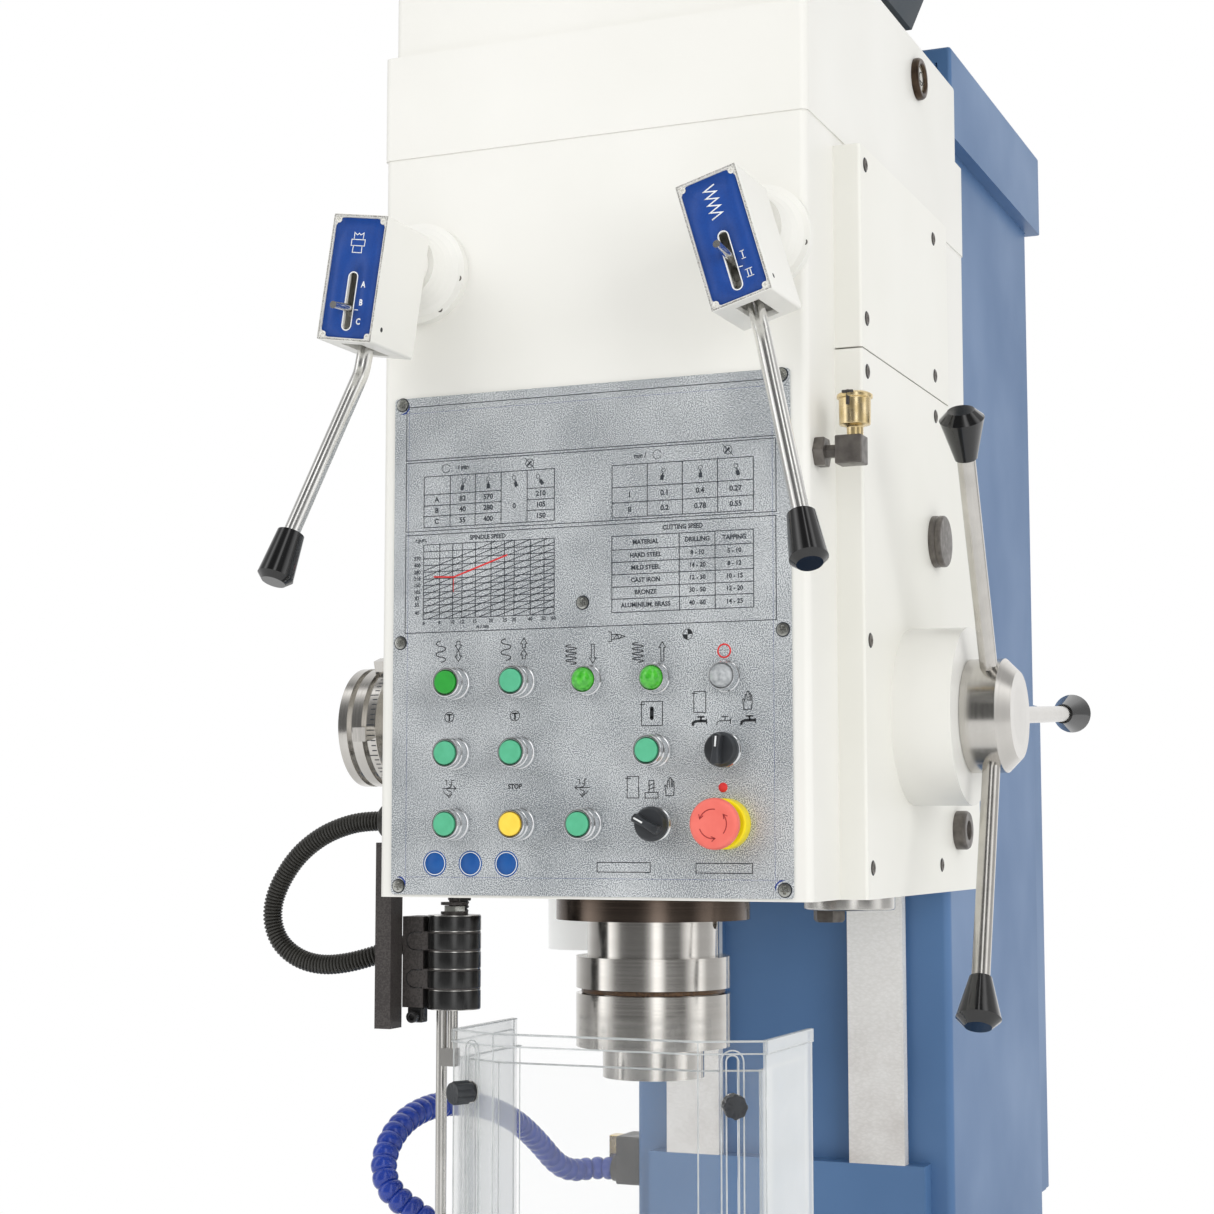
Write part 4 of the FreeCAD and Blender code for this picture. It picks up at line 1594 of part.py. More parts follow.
def make_guard():
    """The guard's bracket on the head and the parts that swing with it."""
    bar = box(-HEAD_SIDE - BRACKET_BAR_THICK, -HEAD_SIDE, BRACKET_BAR_FRONT,
              BRACKET_BAR_FRONT + BRACKET_BAR_DEPTH, BRACKET_BAR_BOTTOM, BRACKET_BAR_TOP)
    block_back = HINGE_BLOCK_FRONT + HINGE_BLOCK_DEPTH
    block = box(-HEAD_SIDE, -HEAD_SIDE + HINGE_BLOCK_WIDTH, HINGE_BLOCK_FRONT, block_back,
                HINGE_BLOCK_BOTTOM, HINGE_BLOCK_TOP)
    levels = HINGE_LEVELS
    fixed = []
    swinging = []
    for count in range(len(levels) - 1):
        high = levels[count]
        low = levels[count + 1]
        knuckle = bar_z(HINGE_X, HINGE_Y, HINGE_R, low, high)
        if count % 2:
            fixed.append(knuckle)
            fixed.append(box(-HEAD_SIDE + HINGE_BLOCK_WIDTH - OVERRUN, HINGE_X, HINGE_BLOCK_FRONT, block_back,
                             low, high))
        else:
            bore = bar_z(HINGE_X, HINGE_Y, HINGE_PIN_R + TURN_GAP, low - OVERRUN, high + OVERRUN)
            ring = bar_z(HINGE_X, HINGE_Y, HINGE_R, low + TURN_GAP, high - TURN_GAP)
            swinging.append(ring.cut(bore))
    clear_low = HINGE_LEVELS[-1] - OVERRUN
    pocket = ring_z(HINGE_X, HINGE_Y, HINGE_R + TURN_GAP, HINGE_PIN_R, clear_low, HINGE_TOP)
    block = block.cut(pocket)
    pin = bar_z(HINGE_X, HINGE_Y, HINGE_PIN_R, HINGE_LEVELS[-1] + HINGE_PIN_GAP, HINGE_TOP)
    stub = bar_z(HINGE_X, HINGE_Y, HINGE_SHAFT_R, HINGE_TOP, HEAD_BOTTOM)
    hinge = join([block, pin] + fixed)
    washers = []
    for share in (0, 0.5):
        z = HINGE_TOP + share * (HEAD_BOTTOM - HINGE_TOP)
        washers.append(ring_z(HINGE_X, HINGE_Y, HINGE_WASHER_R, HINGE_SHAFT_R, z, z + HINGE_WASHER_THICK))
    save("guard_bracket", bar, hinge, stub, *washers)

    swinging_low = swinging[-1]
    rod = bar_z(GUARD_ROD_X, GUARD_ROD_Y, GUARD_ROD_R, GUARD_ROD_BOTTOM, HINGE_LEVELS[-1] + TURN_GAP)
    post_x = -GUARD_HALF - GUARD_ROD_R
    post = bar_z(post_x, GUARD_ROD_Y, GUARD_ROD_R - TURN_GAP, GUARD_TOP - GUARD_POST_DROP,
                 HINGE_LEVELS[-1] + TURN_GAP)
    clamps = []
    for z in CLAMP_BLOCK_LEVELS:
        clamps.append(box(GUARD_ROD_X, -GUARD_HALF - GUARD_RIM_PROUD, GUARD_ROD_Y - GUARD_ROD_R,
                          GUARD_ROD_Y + GUARD_ROD_R, z, z + CLAMP_BLOCK_HEIGHT))
    seats = []
    for z in CLAMP_BLOCK_LEVELS:
        seats.append(box(-GUARD_HALF - GUARD_RIM_PROUD - OVERRUN, -GUARD_HALF, GUARD_ROD_Y - GUARD_ROD_R,
                         GUARD_ROD_Y + GUARD_ROD_R, z, z + CLAMP_BLOCK_HEIGHT))
    holder = join([swinging_low, rod] + clamps + seats)
    save("guard_hinge", *swinging[:-1], holder, post.cut(holder))

    wall = guard_strip(0, GUARD_THICK, GUARD_REAR, GUARD_BOTTOM, GUARD_TOP)
    rim = guard_strip(-GUARD_RIM_PROUD, GUARD_THICK, GUARD_REAR, GUARD_TOP - GUARD_RIM_HEIGHT, GUARD_TOP)
    slots = []
    knobs = []
    for side in (-1, 1):
        middle, out = chamfer_frame(side)
        along = V(-out.y, out.x, 0)
        a = middle + along * GUARD_SLOT_HALF - out * GUARD_CUT_REACH
        b = middle - along * GUARD_SLOT_HALF - out * GUARD_CUT_REACH
        c = middle - along * GUARD_SLOT_HALF + out * GUARD_CUT_REACH
        d = middle + along * GUARD_SLOT_HALF + out * GUARD_CUT_REACH
        outline = [V(p.x, p.y, GUARD_SLOT_BOTTOM) for p in (a, b, c, d)]
        slots.append(prism(outline, V(0, 0, GUARD_SLOT_TOP - GUARD_SLOT_BOTTOM)))
        start = V(middle.x, middle.y, KNOB_Z)
        head = Part.makeCylinder(KNOB_R, KNOB_LENGTH, start + out * TURN_GAP, out)
        stud_length = GUARD_THICK + PANEL_GAP
        stud = Part.makeCylinder(KNOB_STUD_R, stud_length + 2 * TURN_GAP, start - out * stud_length, out)
        knobs.append(join([head, stud]))
    frame = join([wall, rim])
    post_clear = post.cut(holder)
    save("guard_frame", frame.cut(Part.makeCompound(slots)).cut(post_clear))
    panel_in = GUARD_THICK + PANEL_GAP
    half, front, inner_x, corner_y = guard_outline(panel_in)
    panel = guard_strip(panel_in, panel_in + GUARD_THICK, corner_y + GUARD_CHAMFER_Y, PANEL_BOTTOM, PANEL_TOP)
    save("guard_panel", panel)
    save("guard_knobs", *knobs)


# Conduit from the head's left side round to the guard's hinge, and its glands

CONDUIT_POINTS = [(-231, -370, 1517.6), (-252, -370, 1517.6), (-277.5, -370, 1511.6), (-299.6, -370, 1501.9),
                  (-321.8, -370, 1485.5), (-338.7, -370, 1463), (-347.9, -370, 1441.9),
                  (-348.4, -370, 1421.5), (-339.4, -370, 1402.5), (-320.3, -369, 1389),
                  (-296.2, -368, 1383.6), (-269.1, -367, 1386.2), (-244, -363, 1393), (-221, -354, 1402),
                  (-200, -343, 1411), (-182, -334, 1417), (-172, -330, 1429), (-172, -330, 1444)]
CONDUIT_CREST_R = 9.2
CONDUIT_ROOT_R = 7.6
CONDUIT_BORE_R = 6.2
CONDUIT_RIBS = 118
CONDUIT_END = 6.0
CONDUIT_CREST_SHARE = 0.36
GLAND_R = 15.5
GLAND_NUT_ACROSS = 29.0
LOWER_GLAND_R = 12.0


def make_conduit():
    """The ribbed conduit and the glands at its two ends."""
    route = Route("conduit", CONDUIT_POINTS)
    hose = ribbed_hose(route, CONDUIT_RIBS, CONDUIT_CREST_R, CONDUIT_ROOT_R, CONDUIT_BORE_R, CONDUIT_END,
                       CONDUIT_CREST_SHARE, V(0, 1, 0))
    save("conduit", hose)
    start, way = route.at(0)
    end, up = route.at(route.length)
    nut = hexagon(V(-HEAD_SIDE, start.y, start.z), GLAND_NUT_ACROSS, V(-1, 0, 0), (-HEAD_SIDE - start.x) / 3)
    body = bar_x(start.y, start.z, GLAND_R, start.x, -HEAD_SIDE - (-HEAD_SIDE - start.x) / 3)
    low = bar_z(end.x, end.y, LOWER_GLAND_R, end.z, HEAD_BOTTOM)
    save("conduit_glands", join([nut, body]), low)


# Lamp under the head and the cover screws

WORK_LAMP_X = -125.0
WORK_LAMP_Y = -145.0
WORK_LAMP_R = 36.0
WORK_LAMP_HEIGHT = 58.0
WORK_LAMP_WALL = 3.0
WORK_LAMP_LENS = 4.0
WORK_LAMP_TOP_WALL = 6.0


def make_work_lamp():
    """The round lamp housing under the head with its lens."""
    low = HEAD_BOTTOM - WORK_LAMP_HEIGHT
    can = bar_z(WORK_LAMP_X, WORK_LAMP_Y, WORK_LAMP_R, low, HEAD_BOTTOM)
    inner = WORK_LAMP_R - WORK_LAMP_WALL
    room = bar_z(WORK_LAMP_X, WORK_LAMP_Y, inner, low - OVERRUN, HEAD_BOTTOM - WORK_LAMP_TOP_WALL)
    lens = bar_z(WORK_LAMP_X, WORK_LAMP_Y, inner, low, low + WORK_LAMP_LENS)
    save("work_lamp", can.cut(room), lens)


PLATE_SCREW_INSET = 7.5
PLATE_SCREW_LOW = 7.3
PLATE_SCREW_HIGH = 5.6
PLATE_SCREW_MIDDLE_SHARE = 0.5
PLATE_SCREW_CENTRE_X = -3.4
PLATE_SCREW_CENTRE_Z = 1706.6
COVER_SCREW_FRONT = -337.0
COVER_SCREW_BACK = -100.0
COVER_SCREW_DROP = 18.3
FRONT_SCREW_RISE = 26.9
MIDDLE_SCREW_RISE = 223.5
BACK_SCREW_RISE = 26.0
UPPER_FRONT_RISE = 27.5
UPPER_FRONT_DROP = 15.7
UPPER_BACK_RISE = 20.5
UPPER_BACK_DROP = 24.8


def make_screws():
    """The screws of the control plate and the side covers."""
    heads = []
    low = PLATE_BOTTOM + PLATE_SCREW_LOW
    high = PLATE_BOTTOM + PLATE_HEIGHT - PLATE_SCREW_HIGH
    middle = low + (high - low) * PLATE_SCREW_MIDDLE_SHARE
    places = [(PLATE_SCREW_CENTRE_X, PLATE_SCREW_CENTRE_Z)]
    for x in (PLATE_LEFT + PLATE_SCREW_INSET, PLATE_LEFT + PLATE_WIDTH - PLATE_SCREW_INSET):
        for z in (low, middle, high):
            places.append((x, z))
    for x, z in places:
        heads.append(bar_y(x, z, SCREW_HEAD_R, PLATE_FACE - SCREW_HEAD_HEIGHT, PLATE_FACE))
    upper_low = COVER_SEAM + COVER_SEAM_GAP
    places = [
        (COVER_SCREW_FRONT, HEAD_BOTTOM + FRONT_SCREW_RISE),
        (COVER_SCREW_FRONT, HEAD_BOTTOM + MIDDLE_SCREW_RISE),
        (COVER_SCREW_FRONT, COVER_SEAM - COVER_SCREW_DROP),
        (COVER_SCREW_FRONT, upper_low + UPPER_FRONT_RISE),
        (COVER_SCREW_FRONT, COVER_TOP - UPPER_FRONT_DROP),
        (COVER_SCREW_BACK, HEAD_BOTTOM + BACK_SCREW_RISE),
        (COVER_SCREW_BACK, COVER_SEAM - COVER_SCREW_DROP),
        (COVER_SCREW_BACK, upper_low + UPPER_BACK_RISE),
        (COVER_SCREW_BACK, COVER_TOP - UPPER_BACK_DROP),
    ]
    for y, z in places:
        heads.append(bar_x(y, z, SCREW_HEAD_R, COVER_FACE, COVER_FACE + SCREW_HEAD_HEIGHT))
    save("cover_screws", *heads)


make_base()
make_column()
make_column_cap()
make_cabinet()
make_coolant()
make_elevating_screw()
make_table()
make_head()
make_cases()
make_motor()
make_side_covers()
make_shaft_bosses()
make_side_fittings()
make_oil_cup()
make_panel()
make_controls()
make_levers()
make_quill()
make_spindle_flange()
make_gears()
make_capstan()
make_guard()
make_conduit()
make_work_lamp()
make_screws()
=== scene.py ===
"""Pillar drill, geared head on a box column: the looks of its pieces, in metres, on the frame."""

import logging
import math
from dataclasses import dataclass, field
from enum import Enum

import bmesh
import bpy
import numpy as np
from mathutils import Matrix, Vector


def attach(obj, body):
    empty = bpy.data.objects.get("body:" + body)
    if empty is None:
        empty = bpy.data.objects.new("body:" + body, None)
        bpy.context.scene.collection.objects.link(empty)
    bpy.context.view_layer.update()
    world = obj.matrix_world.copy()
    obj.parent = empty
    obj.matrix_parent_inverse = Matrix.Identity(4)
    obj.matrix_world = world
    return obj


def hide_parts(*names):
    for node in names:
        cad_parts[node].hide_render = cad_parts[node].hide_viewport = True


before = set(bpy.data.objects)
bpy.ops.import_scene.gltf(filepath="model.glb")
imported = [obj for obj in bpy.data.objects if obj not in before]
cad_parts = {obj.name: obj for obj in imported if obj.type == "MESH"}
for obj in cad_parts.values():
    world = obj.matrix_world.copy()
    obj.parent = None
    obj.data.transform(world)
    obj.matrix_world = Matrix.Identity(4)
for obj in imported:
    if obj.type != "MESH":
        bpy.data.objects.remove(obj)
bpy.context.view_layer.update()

LOG = logging.getLogger("pillar_drill")
MM = 0.001
SHARP_DEGREES = 38      # faces that meet at more than this stay sharp
RUN_SHARE = 0.45        # most of a run that a softened corner may take
MITRE_FLOOR = 0.35      # keeps the mitre of a sharp corner short
CAPITAL_SHARE = 0.72    # height of a capital over the type's size
LETTER_SWELL = 0.03     # makes thin type a little bolder
NOISE_SPAN = (0.3, 0.7)     # most levels of a noise lie between these
COAT_GLOSS = 0.08       # roughness of a clear coat
BUMP = 0.6              # strength of a finish's relief
TINY = 1e-9             # stands in for 0 where something is divided by it
FAR = 1e9               # beyond anything on the machine, in millimetres
FRONT, RIGHT, DOWN = (0.0, -1.0, 0.0), (1.0, 0.0, 0.0), (0.0, 0.0, -1.0)
ALONG, UP = (0.0, 1.0, 0.0), (0.0, 0.0, 1.0)
WHITE = (1.0, 1.0, 1.0, 1.0)
Array = np.ndarray
Triple = tuple[float, float, float]
Pair = tuple[float, float]
Thing = bpy.types.Object
Tree = bpy.types.NodeTree
Socket = bpy.types.NodeSocket


# ---- shapes


def linked(name: str, data: bpy.types.ID) -> Thing:
    """A new object in the scene that shows the data.

    Args:
        name: name of the object.
        data: mesh, camera or lamp.

    Returns:
        The object.
    """
    made = bpy.data.objects.new(name, data)
    bpy.context.scene.collection.objects.link(made)
    return made


def drawn(curve: bpy.types.Curve) -> tuple[Array, Array]:
    """Points and triangles of a curve or of type, which is removed afterwards.

    Args:
        curve: the curve or the type.

    Returns:
        Its points, and the three point numbers of each triangle.
    """
    holder = bpy.data.objects.new(curve.name, curve)
    mesh = bpy.data.meshes.new_from_object(holder)
    mesh.calc_loop_triangles()
    co = np.zeros(len(mesh.vertices) * 3, np.float32)
    mesh.vertices.foreach_get("co", co)
    faces = np.zeros(len(mesh.loop_triangles) * 3, np.int32)
    mesh.loop_triangles.foreach_get("vertices", faces)
    bpy.data.objects.remove(holder)
    bpy.data.curves.remove(curve)
    bpy.data.meshes.remove(mesh)
    return co.reshape(-1, 3).astype(float), faces.reshape(-1, 3)


@dataclass
class Shape:
    """Triangles in millimetres, kept as whole arrays until they go into a mesh."""

    points: Array
    faces: Array

    def moved(self, offset: Triple) -> "Shape":
        """The same shape shifted by offset, in millimetres."""
        return Shape(self.points + np.asarray(offset, float), self.faces)

    def turned(self, matrix: Array) -> "Shape":
        """The same shape turned by a 3 by 3 matrix about the origin."""
        return Shape(self.points @ np.asarray(matrix, float).T, self.faces)

    def aimed(self, direction: Triple, centre: Triple) -> "Shape":
        """The shape with its own +Z turned to direction and its origin put at centre."""
        return self.turned(aim(direction)).moved(centre)

    def copies(self, offsets: Array) -> "Shape":
        """The shape repeated at every offset: point(k, i) = point(i) + offset(k).

        Args:
            offsets: shifts, in millimetres.

        Returns:
            All copies as one shape.
        """
        shift = np.asarray(offsets, float).reshape(-1, 1, 3)
        count, size = len(shift), len(self.points)
        points = (self.points[None] + shift).reshape(-1, 3)
        faces = (self.faces[None] + (np.arange(count) * size)[:, None, None]).reshape(-1, 3)
        return Shape(points, faces)

    def mesh(self, name: str, weld: float = 1e-3, outward: bool = True) -> Thing:
        """Writes the arrays into a mesh at the origin, with seams and poles welded.

        Args:
            name: name of the new object.
            weld: points nearer than this, in millimetres, become one.
            outward: turns the faces of a closed shape outwards.

        Returns:
            The linked object, smooth except where faces meet at more than SHARP_DEGREES.
        """
        mesh = bpy.data.meshes.new(name)
        mesh.vertices.add(len(self.points))
        mesh.vertices.foreach_set("co", (self.points * MM).astype(np.float32).ravel())
        mesh.loops.add(self.faces.size)
        mesh.loops.foreach_set("vertex_index", self.faces.astype(np.int32).ravel())
        mesh.polygons.add(len(self.faces))
        mesh.polygons.foreach_set("loop_start", np.arange(0, self.faces.size, 3, dtype=np.int32))
        mesh.update(calc_edges=True)
        shell = bmesh.new()
        shell.from_mesh(mesh)
        bmesh.ops.remove_doubles(shell, verts=shell.verts, dist=weld * MM)
        bmesh.ops.dissolve_degenerate(shell, edges=shell.edges, dist=weld * MM * 0.1)
        if outward:
            bmesh.ops.recalc_face_normals(shell, faces=shell.faces)
        shell.to_mesh(mesh)
        shell.free()
        mesh.polygons.foreach_set("use_smooth", np.ones(len(mesh.polygons), bool))
        mesh.set_sharp_from_angle(angle=math.radians(SHARP_DEGREES))
        mesh.update()
        return linked(name, mesh)


def joined(*shapes: Shape) -> Shape:
    """Several shapes as one, their face numbers shifted past the points before them.

    Args:
        shapes: the shapes, in order.

    Returns:
        One shape.
    """
    starts = np.cumsum([0] + [len(s.points) for s in shapes[:-1]])
    return Shape(
        np.concatenate([s.points for s in shapes]),
        np.concatenate([s.faces + k for s, k in zip(shapes, starts)]),
    )


def aim(direction: Triple) -> Array:
    """Matrix that turns +Z to direction: its columns are two crosswise units and the direction.

    Args:
        direction: where +Z goes, of any length.

    Returns:
        A 3 by 3 matrix.
    """
    w = np.asarray(direction, float)
    w = w / np.linalg.norm(w)
    helper = np.array([0.0, 0.0, 1.0]) if abs(w[2]) < 0.9 else np.array([0.0, 1.0, 0.0])
    u = np.cross(helper, w)
    u = u / np.linalg.norm(u)
    return np.stack([u, np.cross(w, u), w], axis=1)


def about(axis: int, degrees: float) -> Array:
    """Matrix of a turn about the X, Y or Z axis (0, 1 or 2) by the right-hand rule.

    Args:
        axis: number of the axis.
        degrees: the turn.

    Returns:
        A 3 by 3 matrix.
    """
    c, s = math.cos(math.radians(degrees)), math.sin(math.radians(degrees))
    i, j = (axis + 1) % 3, (axis + 2) % 3
    m = np.eye(3)
    m[i, i], m[i, j], m[j, i], m[j, j] = c, -s, s, c
    return m


def from_grid(grid: Array) -> Shape:
    """A grid of points, rows by columns by 3, as two triangles for each of its cells.

    Args:
        grid: the points.

    Returns:
        The surface.
    """
    rows, columns = grid.shape[:2]
    at = np.arange(rows * columns).reshape(rows, columns)
    a, b, c, d = at[:-1, :-1], at[:-1, 1:], at[1:, 1:], at[1:, :-1]
    faces = np.concatenate([np.stack(k, -1).reshape(-1, 3) for k in ([a, b, c], [a, c, d])])
    return Shape(grid.reshape(-1, 3), faces)


def softened(outline: list[Pair] | Array, radius: float) -> Array:
    """Takes the sharpness off a profile.

    Each corner B gives way to the curve (1-t)^2 P + 2t(1-t) B + t^2 Q, where P and Q lie on its
    two runs, radius from B but at most RUN_SHARE of the run.

    Args:
        outline: corners of the profile.
        radius: how far from a corner its curve starts, in millimetres.

    Returns:
        The profile's points.
    """
    p = np.asarray(outline, float)
    if radius <= 0 or len(p) < 3:
        return p
    before, corner, after = p[:-2], p[1:-1], p[2:]
    into, out = before - corner, after - corner
    long_in = np.linalg.norm(into, axis=1, keepdims=True)
    long_out = np.linalg.norm(out, axis=1, keepdims=True)
    start = corner + into * np.minimum(radius / long_in, RUN_SHARE)
    end = corner + out * np.minimum(radius / long_out, RUN_SHARE)
    t = np.linspace(0, 1, 4)[None, :, None]
    arcs = (1 - t) ** 2 * start[:, None] + 2 * t * (1 - t) * corner[:, None] + t**2 * end[:, None]
    return np.concatenate([p[:1], arcs.reshape(-1, 2), p[-1:]])


def lathe(
    outline: list[Pair],
    soften: float = 0.4,
    steps: int = 64,
    flutes: int = 0,
    depth: float = 0.0,
    span: Pair = (-FAR, FAR),
) -> Shape:
    """A turned piece about +Z.

    Point (s, a) is (r cos a, r sin a, z) with z(s) and r(s) from the outline. Between the two
    levels of span, r loses depth (1 - |cos(flutes a / 2)|) for grips and knurls.

    Args:
        outline: pairs of level and radius, in millimetres, from one end to the other.
        soften: edge radius of the profile.
        steps: cells round the axis.
        flutes: hollows round the axis, or 0.
        depth: depth of a hollow.
        span: the levels that the hollows lie between.

    Returns:
        The closed surface.
    """
    profile = softened(outline, soften)
    z, r = profile[:, :1], profile[:, 1:]
    a = np.linspace(0, 2 * math.pi, steps + 1)[None, :]
    cut = ((z > span[0]) & (z < span[1])) * depth * (1 - np.abs(np.cos(flutes * a / 2)))
    r = np.maximum(r - cut, 0) if flutes else r + 0 * a
    return from_grid(np.stack([r * np.cos(a), r * np.sin(a), z + 0 * a], -1))


def frames_along(path: Array) -> tuple[Array, Array]:
    """Two crosswise units at every station of a path, each pair carried on from the one before it.

    Args:
        path: stations, in millimetres.

    Returns:
        One unit and the other, each an array of stations by 3.
    """
    tangent = np.gradient(path, axis=0)
    tangent /= np.linalg.norm(tangent, axis=1, keepdims=True)
    side = np.zeros_like(path)
    carried = aim(tuple(tangent[0]))[:, 0]
    for station, t in enumerate(tangent):
        carried = carried - t * (carried @ t)
        carried = carried / np.linalg.norm(carried)
        side[station] = carried
    return side, np.cross(tangent, side)


def tube(path: Array, radius: Array | float, sides: int) -> Shape:
    """A profile carried along a path: point(i, a) = path(i) + r(i) (cos a n(i) + sin a b(i)).

    Args:
        path: stations, in millimetres.
        radius: one radius, or one for each station.
        sides: cells round the path.

    Returns:
        The surface, closed at both ends by a ring of radius 0.
    """
    side, across = frames_along(path)
    r = np.broadcast_to(np.asarray(radius, float), (len(path),)).copy()
    path, side, across = (np.concatenate([k[:1], k, k[-1:]]) for k in (path, side, across))
    r = np.concatenate([[0.0], r, [0.0]])
    a = np.linspace(0, 2 * math.pi, sides + 1)[None, :, None]
    ring = np.cos(a) * side[:, None] + np.sin(a) * across[:, None]
    return from_grid(path[:, None] + r[:, None, None] * ring)


def between(inner: Array, outer: Array) -> Shape:
    """The flat or bent strip between two loops: point(t, i) = (1 - t) inner(i) + t outer(i)."""
    t = np.linspace(0, 1, 3)[:, None, None]
    return from_grid((1 - t) * inner[None] + t * outer[None])


def round_box(size: Triple, radius: float) -> Shape:
    """A block with every edge rounded.

    A cube's six grids are pushed to the surface clamp(p, half - r) + r unit(p - clamp), which
    is the set of points at distance r from the smaller block.

    Args:
        size: edge lengths, in millimetres.
        radius: edge radius, its arc in five cells.

    Returns:
        The block, centred on the origin.
    """
    half = np.asarray(size, float) / 2
    core = half - radius
    arc = np.tan(np.linspace(0, math.pi / 4, 6))
    line = np.concatenate([-(1 + arc[::-1]), 1 + arc])
    u, v = np.meshgrid(line, line, indexing="ij")
    grids = []
    for axis in range(3):
        i, j = (axis + 1) % 3, (axis + 2) % 3
        for sign in (-1.0, 1.0):
            p = np.zeros(u.shape + (3,))
            out = np.zeros(u.shape + (3,))
            p[..., axis], out[..., axis] = sign * core[axis], sign
            for k, w in ((i, u), (j, v)):
                p[..., k] = np.sign(w) * core[k]
                out[..., k] = np.sign(w) * (np.abs(w) - 1)
            out /= np.linalg.norm(out, axis=-1, keepdims=True)
            grids.append(from_grid(p + radius * out))
    return joined(*grids)


def bar(size: Triple, centre: Triple, radius: float = 1.0) -> Shape:
    """A rounded block at a place: size along X, Y and Z, and its centre, in millimetres."""
    return round_box(size, min(radius, min(size) * 0.49)).moved(centre)


# ---- flat prints


@dataclass
class Sheet:
    """A flat face that prints lie on, with its own across and up directions."""

    origin: Triple
    across: Triple = RIGHT
    up: Triple = UP
    lift: float = 0.12
    pen: float = 0.0

    def lay(self, flat: Array) -> Array:
        """Flat pairs as points in space: origin + x across + y up + lift away from the face.

        Args:
            flat: the pairs, as the last axis of any array.

        Returns:
            The points.
        """
        across, up = np.asarray(self.across, float), np.asarray(self.up, float)
        away = np.cross(across, up)
        level = np.asarray(self.origin, float) + flat[..., :1] * across + flat[..., 1:] * up
        return level + self.lift * away

    def line(self, corners: list[Pair] | Array, width: float, closed: bool = False) -> Shape:
        """A drawn line: each corner moves half the width along its mitre to either side.

        Args:
            corners: its corners.
            width: its width; the sheet's pen is the least.
            closed: joins the end to the start.

        Returns:
            The flat line.
        """
        p, width = np.asarray(corners, float), max(width, self.pen)
        if closed:
            p = np.concatenate([p, p[:1]])
        run = np.diff(p, axis=0)
        run /= np.linalg.norm(run, axis=1, keepdims=True)
        first, last = (run[-1:], run[:1]) if closed else (run[:1], run[-1:])
        into, out = np.concatenate([first, run]), np.concatenate([run, last])
        mitre = into + out
        mitre /= np.maximum(np.linalg.norm(mitre, axis=1, keepdims=True), 1e-6)
        reach = 1 / np.maximum(np.sum(mitre * into, axis=1, keepdims=True), MITRE_FLOOR)
        left = np.stack([-mitre[:, 1], mitre[:, 0]], -1) * reach * width / 2
        return from_grid(self.lay(np.stack([p - left, p + left], 0)))

    def box(self, x: Pair, y: Pair, width: float) -> Shape:
        """The outline of a rectangle."""
        return self.line([(x[0], y[0]), (x[1], y[0]), (x[1], y[1]), (x[0], y[1])], width, True)

    def uprights(self, places: tuple[float, ...], z: Pair, width: float) -> list[Shape]:
        """Upright lines from one level to another, one at each place."""
        return [self.line([(x, z[0]), (x, z[1])], width) for x in places]

    def levels(self, heights: tuple[float, ...], x: Pair, width: float) -> list[Shape]:
        """Level lines from one place to another, one at each height."""
        return [self.line([(x[0], z), (x[1], z)], width) for z in heights]

    def ring(self, centre: Pair, inner: float, outer: float, arc: Pair = (0, 360)) -> Shape:
        """A ring, a disc where the inner radius is 0, or part of one between two angles.

        Args:
            centre: its middle.
            inner: inner radius.
            outer: outer radius.
            arc: the two angles, in degrees.

        Returns:
            The flat ring.
        """
        a = np.radians(np.linspace(arc[0], arc[1], 49))
        unit = np.stack([np.cos(a), np.sin(a)], -1)
        edges = np.asarray(centre, float) + np.array([inner, outer])[:, None, None] * unit
        return from_grid(self.lay(edges))

    def wave(self, centre: Pair, half: float, tall: float, turns: float, width: float) -> Shape:
        """A standing wave with flattened lobes: x = half sin^0.6(2 pi turns t), y = tall (t - 1/2).

        Args:
            centre: its middle.
            half: half its width.
            tall: its height.
            turns: full waves.
            width: of the line.

        Returns:
            The flat line.
        """
        t = np.linspace(0, 1, 25 + int(36 * turns))
        swing = np.sin(2 * math.pi * turns * t)
        x = centre[0] + half * np.sign(swing) * np.abs(swing) ** 0.6
        return self.line(np.stack([x, centre[1] + tall * (t - 0.5)], -1), width)

    def arrow(self, tip: Pair, tall: float, half: float) -> Shape:
        """An outlined arrow whose tip points up, or down where tall is below 0.

        Args:
            tip: the tip.
            tall: from tip to tail, with its sign.
            half: half the width of its head.

        Returns:
            The flat outline.
        """
        x, y = tip
        head = math.copysign(half * 1.5, tall)
        stem = half * 0.45
        return self.line([
            (x, y), (x + half, y - head), (x + stem, y - head), (x + stem, y - tall),
            (x - stem, y - tall), (x - stem, y - head), (x - half, y - head),
        ], 0.55, True)

    def words(self, body: str, centre: Pair, tall: float, wide: float = 1.0) -> Shape:
        """Set type as flat triangles.

        Args:
            body: the characters.
            centre: where the middle of the line lies.
            tall: height of a capital, in millimetres.
            wide: how much the letters are stretched sideways.

        Returns:
            The letters on the sheet.
        """
        curve = bpy.data.curves.new("type", "FONT")
        curve.body, curve.size, curve.resolution_u, curve.offset = body, 1.0, 3, LETTER_SWELL
        curve.align_x, curve.align_y = "CENTER", "CENTER"
        co, faces = drawn(curve)
        flat = co[:, :2] * (tall / CAPITAL_SHARE)
        flat = flat * (wide, 1.0) + np.asarray(centre, float)
        return Shape(self.lay(flat), faces)

    def row(self, bodies: tuple[str, ...], places: tuple[float, ...], z: float, tall: float,
            wide: float = 1.0) -> list[Shape]:
        """Words side by side at one level."""
        return [self.words(body, (x, z), tall, wide) for body, x in zip(bodies, places)]


